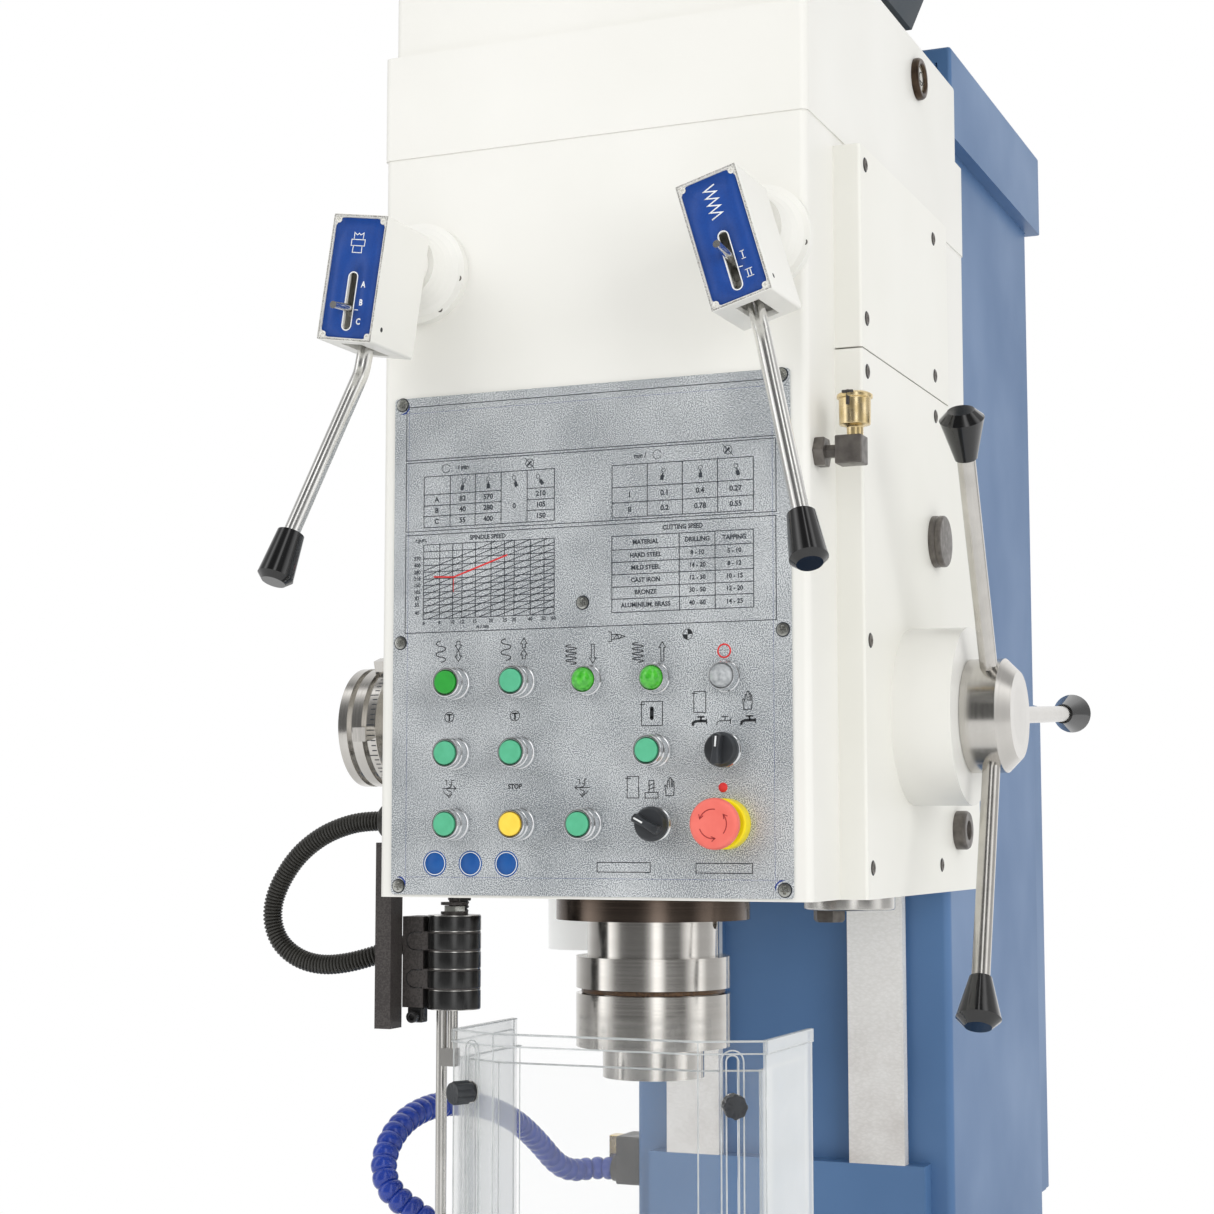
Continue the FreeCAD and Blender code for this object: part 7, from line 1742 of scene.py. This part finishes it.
    def build_prints(self) -> None:
        """Screen prints: tables, symbols, border, red marks, and the discs with their rims."""
        s = self.sheet()
        self.dresser.stamp(s, [*self.tables(s), *self.chart(s)], "plate_tables", "head", Look.DARK_INK)
        self.dresser.stamp(s, self.symbols(s), "plate_symbols", "head", Look.BLACK_INK)
        a = np.radians(np.linspace(0, 90, 9))
        bite = np.stack([np.cos(a), np.sin(a)], -1) * 7.5
        x0, x1, z0, z1 = -182.4, 178.8, 1460.4, 1892.8
        loop = np.concatenate([
            (x0, z0) + bite * (1, 1), ((x1, z0) + bite * (-1, 1))[::-1],
            (x1, z1) + bite * (-1, -1), ((x0, z1) + bite * (1, -1))[::-1],
        ])
        self.dresser.stamp(s, [s.line(loop[::-1], 1.25, True)], "plate_border", "head", Look.BORDER_INK)
        guide = Sheet(s.origin, lift=0.2)
        red = [
            s.ring((127.2, 1660.6), 4.9, 6.3), s.ring((125.6, 1545.2), 0.0, 4.1),
            guide.line([(-149.0, 1735.4), (-129.0, 1734.4), (-76.0, 1752.0)], 1.5),
            guide.line([(-129.2, 1734.0), (-129.2, 1721.0)], 0.6),
        ]
        self.dresser.stamp(s, red, "plate_red_marks", "head", Look.RED_INK)
        discs, rims = [], []
        over = Sheet(s.origin, lift=0.24)
        for x in (-145.8, -110.8, -75.8):
            discs.append(s.ring((x, 1480.0), 0.0, 11.4))
            rims.append(over.ring((x, 1480.0), 9.6, 10.3))
        self.dresser.stamp(s, discs, "plate_blue_discs", "head", Look.BLUE_INK)
        self.dresser.stamp(over, rims, "plate_disc_rims", "head", Look.WHITE_INK)

    def build(self) -> None:
        """Makes everything on the plate."""
        self.build_prints()
        self.build_bezels()
        self.build_caps()
        self.build_lamps()
        self.build_selectors()
        self.build_stop()
        self.build_screws()


# ---- lever boxes


class Side(Enum):
    """Left or right lever box: sign of X, tilt, body of the box, and body of the lever."""

    LEFT = (-1, 8.6, "left_box", "left_lever_body")
    RIGHT = (1, -16.4, "right_box", "right_lever_body")


@dataclass
class LeverBox(Assembly):
    """The dressed face of a lever box: worn rim, blue sheet with marks, and four small screws."""

    axis: Pair = (163.0, 2013.0)
    face: float = -553.0
    half: float = 27.0
    up: float = 25.5
    down: float = 85.5
    inset: float = 2.5
    corner: float = 6.0
    slot: Triple = (4.4, -75.8, -24.8)
    recess: float = 1.5
    rim: float = 1.3
    screw_inset: float = 5.2
    pin_hole: Pair = (15.0, -71.0)

    def sheet(self, side: Side, ahead: float, lift: float) -> Sheet:
        """The box's face, leaning with the box about the axis of its boss.

        Args:
            side: which box.
            ahead: how far in front of the face.
            lift: of the prints off the sheet.

        Returns:
            The sheet.
        """
        sign, tilt = side.value[0], side.value[1]
        turn = about(1, tilt)
        return Sheet((sign * self.axis[0], self.face - ahead, self.axis[1]), tuple(turn[:, 0]),
                     tuple(turn[:, 2]), lift)

    def cut_corners(self, inset: float) -> list[Pair]:
        """Outline of the face at an inset, its four corners cut at 45 degrees.

        Args:
            inset: from the edges of the face.

        Returns:
            Its eight corners.
        """
        x, top, low, c = self.half - inset, self.up - inset, -self.down + inset, self.corner
        return [(x, low + c), (x, top - c), (x - c, top), (-x + c, top), (-x, top - c), (-x, low + c),
                (-x + c, low), (x - c, low)]

    def numeral(self, marks: Sheet, x: float, z: float, strokes: int) -> list[Shape]:
        """I or II with serifs: uprights between two short bars.

        Args:
            marks: the sheet.
            x: its middle across.
            z: its middle up.
            strokes: 1 or 2.

        Returns:
            Flat shapes.
        """
        half = 0.6 + 1.3 * strokes
        bars = [marks.line([(x - half, z + k), (x + half, z + k)], 0.6) for k in (-3.2, 3.2)]
        places = [x + 2.6 * (k - (strokes - 1) / 2) for k in range(strokes)]
        return bars + [marks.line([(p, z - 3.2), (p, z + 3.2)], 0.8) for p in places]

    def build_side(self, side: Side) -> None:
        """Dresses one box.

        The blue sheet is the strip between the slot's outline and the cut-corner outline, both
        met by the same rays from the slot's middle.

        Args:
            side: which box.
        """
        tag, body = side.name.lower(), side.value[2]
        middle = (0.0, (self.slot[1] + self.slot[2]) / 2)
        angles = np.linspace(0, 2 * math.pi, 181)
        slot_loop = obround(*self.slot)
        inner = ray_loop([tuple(p) for p in slot_loop], middle, angles)
        outer = ray_loop(self.cut_corners(self.inset + 0.6), middle, angles)
        floor = self.sheet(side, -self.recess, 0.5)
        blue = between(floor.lay(inner), floor.lay(outer))
        self.dresser.stamp(floor, [blue], f"{tag}_box_sheet", body, Look.BLUE_SHEET, 0.45)
        marks = self.sheet(side, -self.recess, 0.62)
        shapes = [marks.line(slot_loop, 1.0, True)]
        if side is Side.LEFT:
            for word, z in (("A", -35.4), ("B", -51.2), ("C", -67.8)):
                shapes.append(marks.words(word, (11.0, z), 5.4, 0.8))
            shapes += [
                marks.line([(5.4, -57.6), (9.4, -57.6)], 0.7),
                marks.box((-6.6, 6.6), (-1.8, 3.6), 0.7),
                marks.line([(-4.4, 3.6), (-4.6, 9.6), (-1.6, 7.6), (0, 9.2), (1.6, 7.6), (4.6, 9.6),
                            (4.4, 3.6)], 0.7),
                marks.line([(-4.2, -1.8), (-4.6, -7.8), (4.6, -7.8), (4.2, -1.8)], 0.7),
            ]
        else:
            turns = [(-5.0 if k % 2 else 5.0, 16.0 - 3.1 * k) for k in range(10)]
            shapes += [
                marks.line([(x, z - 0.9) for x, z in turns], 1.2),
                *self.numeral(marks, 11.2, -49.6, 1), *self.numeral(marks, 12.4, -65.6, 2),
                marks.line([(5.0, -58.2), (8.6, -58.6)], 0.8),
            ]
        self.dresser.stamp(marks, shapes, f"{tag}_box_marks", body, Look.WHITE_INK)
        edge = self.sheet(side, 0.0, 0.12)
        rim = edge.box((-self.half + self.rim, self.half - self.rim),
                       (-self.down + self.rim, self.up - self.rim), 1.5)
        self.dresser.stamp(edge, [rim], f"{tag}_box_worn_rim", body, Look.WORN_EDGE)
        seat = self.sheet(side, -self.recess, 0.0)
        inset = self.screw_inset
        x, top, low = self.half - inset, self.up - inset, -self.down + inset
        spots = np.array([(x, top), (-x, top), (x, low), (-x, low)])
        head = pan_head(2.7, 1.5, 24).turned(aim(FRONT)).copies(seat.lay(spots))
        self.dresser.make(head, f"{tag}_box_screws", body, Look.WHITE_SCREW)
        turn = about(1, side.value[1])
        corner = np.array([side.value[0] * self.axis[0], 0.0, self.axis[1]]) + turn[:, 0] * self.half
        flank = Sheet(tuple(corner), ALONG, tuple(turn[:, 2]), 0.06)
        # A black disc stands for the pin hole: painted shade of the hole.
        hole = flank.ring((self.face + self.pin_hole[0], self.pin_hole[1]), 0.0, 2.1)
        self.dresser.stamp(flank, [hole], f"{tag}_box_pin_hole_shade", body, Look.BLACK_INK)

    def build(self) -> None:
        """Dresses both boxes."""
        for side in Side:
            self.build_side(side)


# ---- right-hand side of the head


@dataclass
class SideTrim(Assembly):
    """Cover screws, oil cup, plugs and sight glass on the head's right side."""

    cover: float = 228.1
    wall: float = 203.0
    glass: Triple = (204.3, -65.0, 2262.9)
    front_column: float = -337.0
    back_column: float = -100.0
    front_levels: tuple[float, ...] = (1476.9, 1673.5, 1910.7, 1958.0, 2096.7)
    back_levels: tuple[float, ...] = (1476.0, 1910.7, 1951.0, 2087.6)

    def build_screws(self) -> None:
        """Nine cover screws in dark browned steel, dark partly in their own colour and partly as painted
        shade of their holes, each with a dark ring round it that is painted shadow.
        """
        spots = [(self.front_column, z) for z in self.front_levels]
        spots += [(self.back_column, z) for z in self.back_levels]
        head = pan_head(5.3, 1.5)
        heads = [head.aimed(RIGHT, (self.cover, y, z)) for y, z in spots]
        self.dresser.make(joined(*heads), "cover_screw_heads", "head", Look.BRONZED_STEEL, "cover_screws")
        # The dark rings are painted shadow of the clearance holes round the heads.
        sheet = Sheet((self.cover, 0.0, 0.0), ALONG, UP, 0.06)
        rings = [sheet.ring(s, 5.2, 6.6) for s in spots]
        self.dresser.stamp(sheet, rings, "cover_screw_shadow_rings", "head", Look.DARK_INK, 0.05)

    def build_oil_cup(self) -> None:
        """Oil cup: hexagon nut and elbow in browned steel, brass neck, cup and spring lid."""
        y, z, x = -408.0, 1829.2, 237.1
        nut = lathe([(0, 0), (0, 13.2), (1.2, 13.9), (8.3, 13.9), (9.5, 13.2), (9.5, 6), (20, 6), (20, 0)],
                    0.3, 6).aimed(RIGHT, (self.wall, y, z))
        elbow = bar((23.4, 21.0, 24.4), (233.6, y, 1829.25), 1.4)
        self.dresser.make(joined(nut, elbow), "oil_cup_elbow", "head", Look.BRONZED_STEEL, "oil_cup")
        cup = lathe([
            (0, 0), (0, 7), (7.4, 7), (8.6, 8.6), (9.6, 13.2), (26.2, 13.5), (31.8, 13.5), (32.2, 15.2),
            (34.6, 15.4), (35.6, 15.0), (36.4, 13.6), (37.6, 11.0), (38, 0),
        ], 0.6, 56).moved((x, y, 1841.0))
        self.dresser.make(cup, "oil_cup_bowl", "head", Look.BRASS, "oil_cup")
        clip = joined(bar((3.0, 2.4, 13.0), (x - 2.0, y - 13.9, 1872.4), 0.8),
                      bar((10.0, 2.4, 2.6), (x - 2.0, y - 14.4, 1877.2), 0.8))
        self.dresser.make(clip, "oil_cup_clip", "head", Look.BLACKED_STEEL)

    def build_plugs(self) -> None:
        """Large, low and drain plugs, lower shaft flange, and sight glass with rim and oil marks."""
        big = lathe([(0, 0), (0, 25), (4.6, 25), (5.2, 24.2), (6.2, 24.2), (6.8, 25), (10.8, 24.8),
                     (12, 23.6), (12.0, 0)], 0.5, 72)
        low = lathe([(0, 0), (0, 19), (9.6, 19), (12, 17.4), (12, 9.5), (7, 9.2), (7, 0)], 0.6, 56)
        drop = lathe([(0, 0), (0, 16), (9.5, 16), (12, 13.6), (12, 7), (8, 6.6), (8, 0)], 0.6, 6)
        parts = [
            big.aimed(RIGHT, (self.cover, -112.0, 1786.0)),
            low.aimed(RIGHT, (self.cover, -38.0, 1509.0)),
            drop.aimed(DOWN, (108.0, -77.0, 1431.0)),
        ]
        self.dresser.make(joined(*parts), "side_plugs", "head", Look.BRONZED_STEEL, "side_fittings")
        turned = (
            ("lower_shaft_flange", Look.BRIGHT_STEEL, 0.6, 80, DOWN, (124.0, -61.0, 1450.0),
             [(0, 0), (0, 44.4), (1.2, 45), (17.6, 45), (19, 43.6), (19, 0)]),
            ("sight_glass_rim", Look.BRONZE, 0.7, 72, RIGHT, self.glass,
             [(0, 14), (0, 21), (4.6, 21), (7, 19.4), (7, 15.4), (5.2, 14.4), (0, 14)]),
            ("sight_glass_pane", Look.GAUGE_GLASS, 0.3, 56, RIGHT, self.glass,
             [(0.2, 0), (0.2, 14.6), (4.2, 14.6), (4.9, 8), (5.2, 0)]),
        )
        for name, look, soften, steps, way, centre, outline in turned:
            shape = lathe(outline, soften, steps).aimed(way, centre)
            self.dresser.make(shape, name, "head", look, "side_fittings")
        x, y, z = self.glass
        face = Sheet((x + 5.0, y, z), ALONG, UP, 0.3)
        marks = [face.ring((0, 0), 6.2, 7.0), face.line([(-7, -3.4), (7, -3.4)], 0.9)]
        self.dresser.stamp(face, marks, "sight_glass_marks", "head", Look.DARK_INK)

    def build(self) -> None:
        """Makes the whole side."""
        self.build_screws()
        self.build_oil_cup()
        self.build_plugs()


# ---- guard and its hinge


@dataclass
class GuardTrim(Assembly):
    """Clear guard: bright edges, raised slot borders, fluted knobs; hinge sleeves and gland."""

    half: float = 148.0
    rear: float = -262.0
    corner: float = -389.0
    front: float = -416.0
    inner: float = 96.0
    levels: Pair = (1120.0, 1332.0)
    panel: Pair = (1095.8, 1306.4)
    rim: float = 1321.0
    slot: Triple = (4.5, 1140.0, 1319.0)
    knob_level: float = 1279.0
    hinge: Pair = (-157.0, -370.0)
    gap: float = 1.3
    sleeves: tuple[float, ...] = (1433.0, 1417.6, 1400.8, 1384.0, 1366.3, 1347.7)

    def outline(self, offset: float) -> Array:
        """Plan of the guard from its right rear round the front to its left rear, moved inwards.

        Args:
            offset: how far inwards.

        Returns:
            Six corners, in X and Y.
        """
        h, f = self.half - offset, self.front + offset
        c, i = self.corner + offset * 0.52, self.inner - offset * 0.42
        return np.array([(h, self.rear), (h, c), (i, f), (-i, f), (-h, c), (-h, self.rear)], float)

    def edge(self, offset: float, level: float, radius: float) -> Shape:
        """A thin bright edge carried round the plan at one level.

        Args:
            offset: how far inwards.
            level: its height.
            radius: of the edge.

        Returns:
            The edge.
        """
        plan = self.outline(offset)
        path = np.concatenate([plan, np.full((len(plan), 1), level)], axis=1)
        return tube(path, radius, 8)

    def posts(self, offset: float, low: float, high: float, radius: float) -> list[Shape]:
        """The upright folds of the plan, as thin bright lines: painted highlights of the bends.

        Args:
            offset: how far inwards.
            low: their lower end.
            high: their upper end.
            radius: of the lines.

        Returns:
            One line for each fold.
        """
        return [
            tube(np.array([(x, y, low), (x, y, high)], float), radius, 8) for x, y in self.outline(offset)
        ]

    def slant(self, sign: int, level: float) -> Triple:
        """The middle of a slanting face, at a level."""
        return sign * (self.half + self.inner) / 2, (self.corner + self.front) / 2, level

    def build_edges(self) -> None:
        """Edges of the fixed frame and of the sliding panel, which catch the light, and light lines at the
        folds, which are painted highlights.
        """
        low, high = self.levels
        frame_lines = [self.edge(0.4, high - 0.7, 0.95), self.edge(3.6, high - 0.7, 0.7),
                       self.edge(-0.9, self.rim, 0.75), self.edge(0.6, low + 0.8, 0.8)]
        frame_lines += self.posts(0.6, low, high, 0.7)
        self.dresser.make(joined(*frame_lines), "guard_frame_edges", "guard", Look.ACRYLIC_EDGE)
        low, high = self.panel
        panel_lines = [self.edge(6.0, high, 0.8), self.edge(8.4, high, 0.6), self.edge(7.0, low, 0.8)]
        panel_lines += self.posts(7.0, 1095.4, 1306.6, 0.5)
        self.dresser.make(joined(*panel_lines), "guard_panel_edges", "guard_slider", Look.ACRYLIC_EDGE)

    def build_slots(self) -> None:
        """Two raised round-ended borders about each slot, on both slanting faces."""
        for sign, tag in ((1, "right"), (-1, "left")):
            along = np.array([self.half - self.inner, sign * (self.corner - self.front), 0.0])
            along /= np.linalg.norm(along)
            sheet = Sheet(self.slant(sign, 0.0), tuple(along), UP, 0.9)
            half, low, high = self.slot
            shapes = [
                sheet.line(obround(half + 0.8, low - 1, high + 1), 1.3, True),
                sheet.line(obround(half + 5.2, low - 6, high + 5), 1.3, True),
            ]
            self.dresser.stamp(sheet, shapes, f"guard_slot_border_{tag}", "guard", Look.ACRYLIC_EDGE, 0.85)

    def build_knobs(self) -> None:
        """Clamp knobs: eight flutes, a dished end, and a steel washer behind."""
        grip = lathe([
            (0.6, 0), (0.6, 8.0), (3.2, 8.4), (5, 10.5), (20.4, 10.5), (22, 9.3), (21.2, 6.6), (20.6, 0),
        ], 0.5, 96, flutes=8, depth=1.7, span=(4.6, 21.8))
        washer = lathe([(0.42, 3), (0.42, 9.6), (1.6, 9.6), (1.6, 3), (0.42, 3)], 0.2, 40)
        grips, washers = [], []
        for sign in (1, -1):
            out = (sign * (self.corner - self.front), -(self.half - self.inner), 0.0)
            grips.append(grip.aimed(out, self.slant(sign, self.knob_level)))
            washers.append(washer.aimed(out, self.slant(sign, self.knob_level)))
        self.dresser.make(joined(*grips), "guard_clamp_knobs", "guard_slider", Look.NYLON, "guard_knobs")
        self.dresser.make(joined(*washers), "guard_clamp_washers", "guard_slider", Look.BRIGHT_STEEL)

    def build_hinge(self) -> None:
        """Blacked sleeves over the barrel, their joints left bright, and the block's cast marks."""
        x, y = self.hinge
        fixed, swinging = [], []
        for count, (high, low) in enumerate(zip(self.sleeves[:-1], self.sleeves[1:])):
            tall = high - low - self.gap
            sleeve = lathe([(0, 19), (0, 23.6), (0.8, 24.35), (tall - 0.8, 24.35), (tall, 23.6), (tall, 19),
                            (0, 19)], 0.5, 72).moved((x, y, low + self.gap / 2))
            (fixed if count % 2 else swinging).append(sleeve)
        self.dresser.make(joined(*fixed), "hinge_sleeves_fixed", "head", Look.BLACKED_BRIGHT)
        self.dresser.make(joined(*swinging), "hinge_sleeves_swinging", "guard", Look.BLACKED_BRIGHT)
        face = Sheet((-192.5, -383.0, 0.0), lift=0.35)
        marks = []
        bow = np.radians(np.linspace(90.0, 270.0, 17))
        bow = np.stack([8.0 * np.cos(bow) + 2.0, 8.0 * np.sin(bow)], -1)
        bow = np.concatenate([[(9.6, 8.0)], bow, [(9.6, -8.0)]])
        for level in (1409.0, 1375.0):
            marks.append(face.line(bow + (0.0, level), 0.9))
        self.dresser.stamp(face, marks, "hinge_block_marks", "head", Look.BLACKED_BRIGHT, 0.3)
        screw = socket_head(5.4, 7.0).aimed(FRONT, (-190.0, -383.0, 1341.0))
        lug = bar((15.0, 12.0, 14.0), (-190.5, -376.6, 1342.5), 1.5)
        self.dresser.make(joined(screw, lug), "hinge_block_screw", "head", Look.BLACKED_BRIGHT)
        nut = lathe([(0, 5.4), (0, 10.4), (6.2, 10.4), (6.2, 5.4), (0, 5.4)], 0.5, 6)
        self.dresser.make(nut.moved((x, y, 1434.6)), "hinge_top_nut", "head", Look.ZINC)

    def build_gland(self) -> None:
        """Snap gland of the conduit: ribbed grip, latch window, and the lower gland."""
        grip = lathe([
            (0, 9.4), (0, 15.2), (2, 15.8), (7.8, 15.8), (8.6, 14.4), (9.6, 14.4), (10.4, 15.6),
            (26.0, 15.4), (28, 13.6), (28, 9.4), (0, 9.4),
        ], 0.6, 72, flutes=24, depth=0.7, span=(0.4, 8.2)).aimed((-1, 0, 0), (-203.0, -370.0, 1517.6))
        lower = lathe([(0, 9.4), (0, 12), (5.2, 12), (6, 11.2), (6, 9.4), (0, 9.4)], 0.4, 6).aimed(
            (0, 0, -1), (-172.0, -330.0, 1450.0))
        bodies = joined(grip, lower)
        self.dresser.make(bodies, "conduit_gland_bodies", "head", Look.CONDUIT, "conduit_glands")
        latch = joined(
            bar((8.4, 1.4, 9.6), (-221.0, -370.0 - 15.5, 1517.6), 0.5),
            bar((5.6, 1.4, 6.4), (-221.0, -370.0 - 16.1, 1517.6), 0.5),
        )
        self.dresser.make(latch, "conduit_gland_latch", "head", Look.NYLON)

    def build(self) -> None:
        """Makes the guard's details."""
        self.build_edges()
        self.build_slots()
        self.build_knobs()
        self.build_hinge()
        self.build_gland()


# ---- feed and spindle details


@dataclass
class FeedTrim(Assembly):
    """Depth scale on the dial, grease on the spindle, and the screws of the lever bosses."""

    axis: Pair = (-194.0, 1613.0)
    dial: Triple = (-346.0, -304.0, 60.0)
    ticks: int = 72
    short_tick: float = 5.0
    long_tick: float = 9.0
    grease: Triple = (0.0, -275.0, 1361.2)
    boss: Triple = (163.0, -439.0, 2013.0)
    screw_circle: float = 41.5

    def build_scale(self) -> None:
        """Engraved divisions round the dial: 72 ticks, every sixth one longer.

        A tick is a thin patch of the drum at angle a from its axis; all of them are laid out as
        one array and bent round the drum together.
        """
        x0, x1, radius = self.dial
        count = np.arange(self.ticks)[:, None, None]
        step = np.radians(count * (360.0 / self.ticks))
        long = np.where(count % 6 == 0, self.long_tick, self.short_tick)
        across = np.array([-0.5, 0.5])[None, None, :] / radius
        along = np.array([0.0, 1.0])[None, :, None]
        a = step + across + 0 * along
        x = x1 - 1.0 - along * long + 0 * a
        r = radius + 0.1
        patch = np.stack([x, self.axis[0] + r * np.cos(a), self.axis[1] + r * np.sin(a)], -1)
        ticks = joined(*[from_grid(p) for p in patch])
        made = filmed(ticks.mesh("dial_divisions", weld=1e-4), 0.08, 0.0)
        self.dresser.put(made, "capstan_body", Look.DARK_INK)

    def build_grease(self) -> None:
        """Brown grease left in the groove of the spindle."""
        collar = lathe([
            (0, 60), (0, 64.9), (0.6, 66.2), (4.2, 65.8), (4.6, 64.9), (4.6, 60), (0, 60),
        ], 0.5, 88)
        self.dresser.make(collar.moved(self.grease), "spindle_grease", "spindle_body", Look.GREASE)

    def build_boss_screws(self) -> None:
        """Small socket screws in the rims of the lever bosses."""
        screw = socket_head(3.0, 0.9)
        x, y, z = self.boss
        parts = []
        for sign in (-1, 1):
            for degrees in (-12.0, -58.0, 122.0, 168.0):
                a = math.radians(degrees)
                across, up = self.screw_circle * math.cos(a), self.screw_circle * math.sin(a)
                parts.append(screw.aimed(FRONT, (sign * x + across, y, z + up)))
        self.dresser.make(joined(*parts), "boss_screws", "head", Look.BRONZED_STEEL)

    def build(self) -> None:
        """Makes the small details of feed, spindle and bosses."""
        self.build_scale()
        self.build_grease()
        self.build_boss_screws()


ASSEMBLIES = (Lines, Carcass, ControlPlate, LeverBox, SideTrim, GuardTrim, FeedTrim)


def main() -> None:
    """Builds the machine's pieces in order."""
    logging.basicConfig(level=logging.INFO, format="%(message)s")
    dresser = Dresser()
    Studio().build()
    for part in ASSEMBLIES:
        part(dresser).build()


if __name__ == "__main__":
    main()
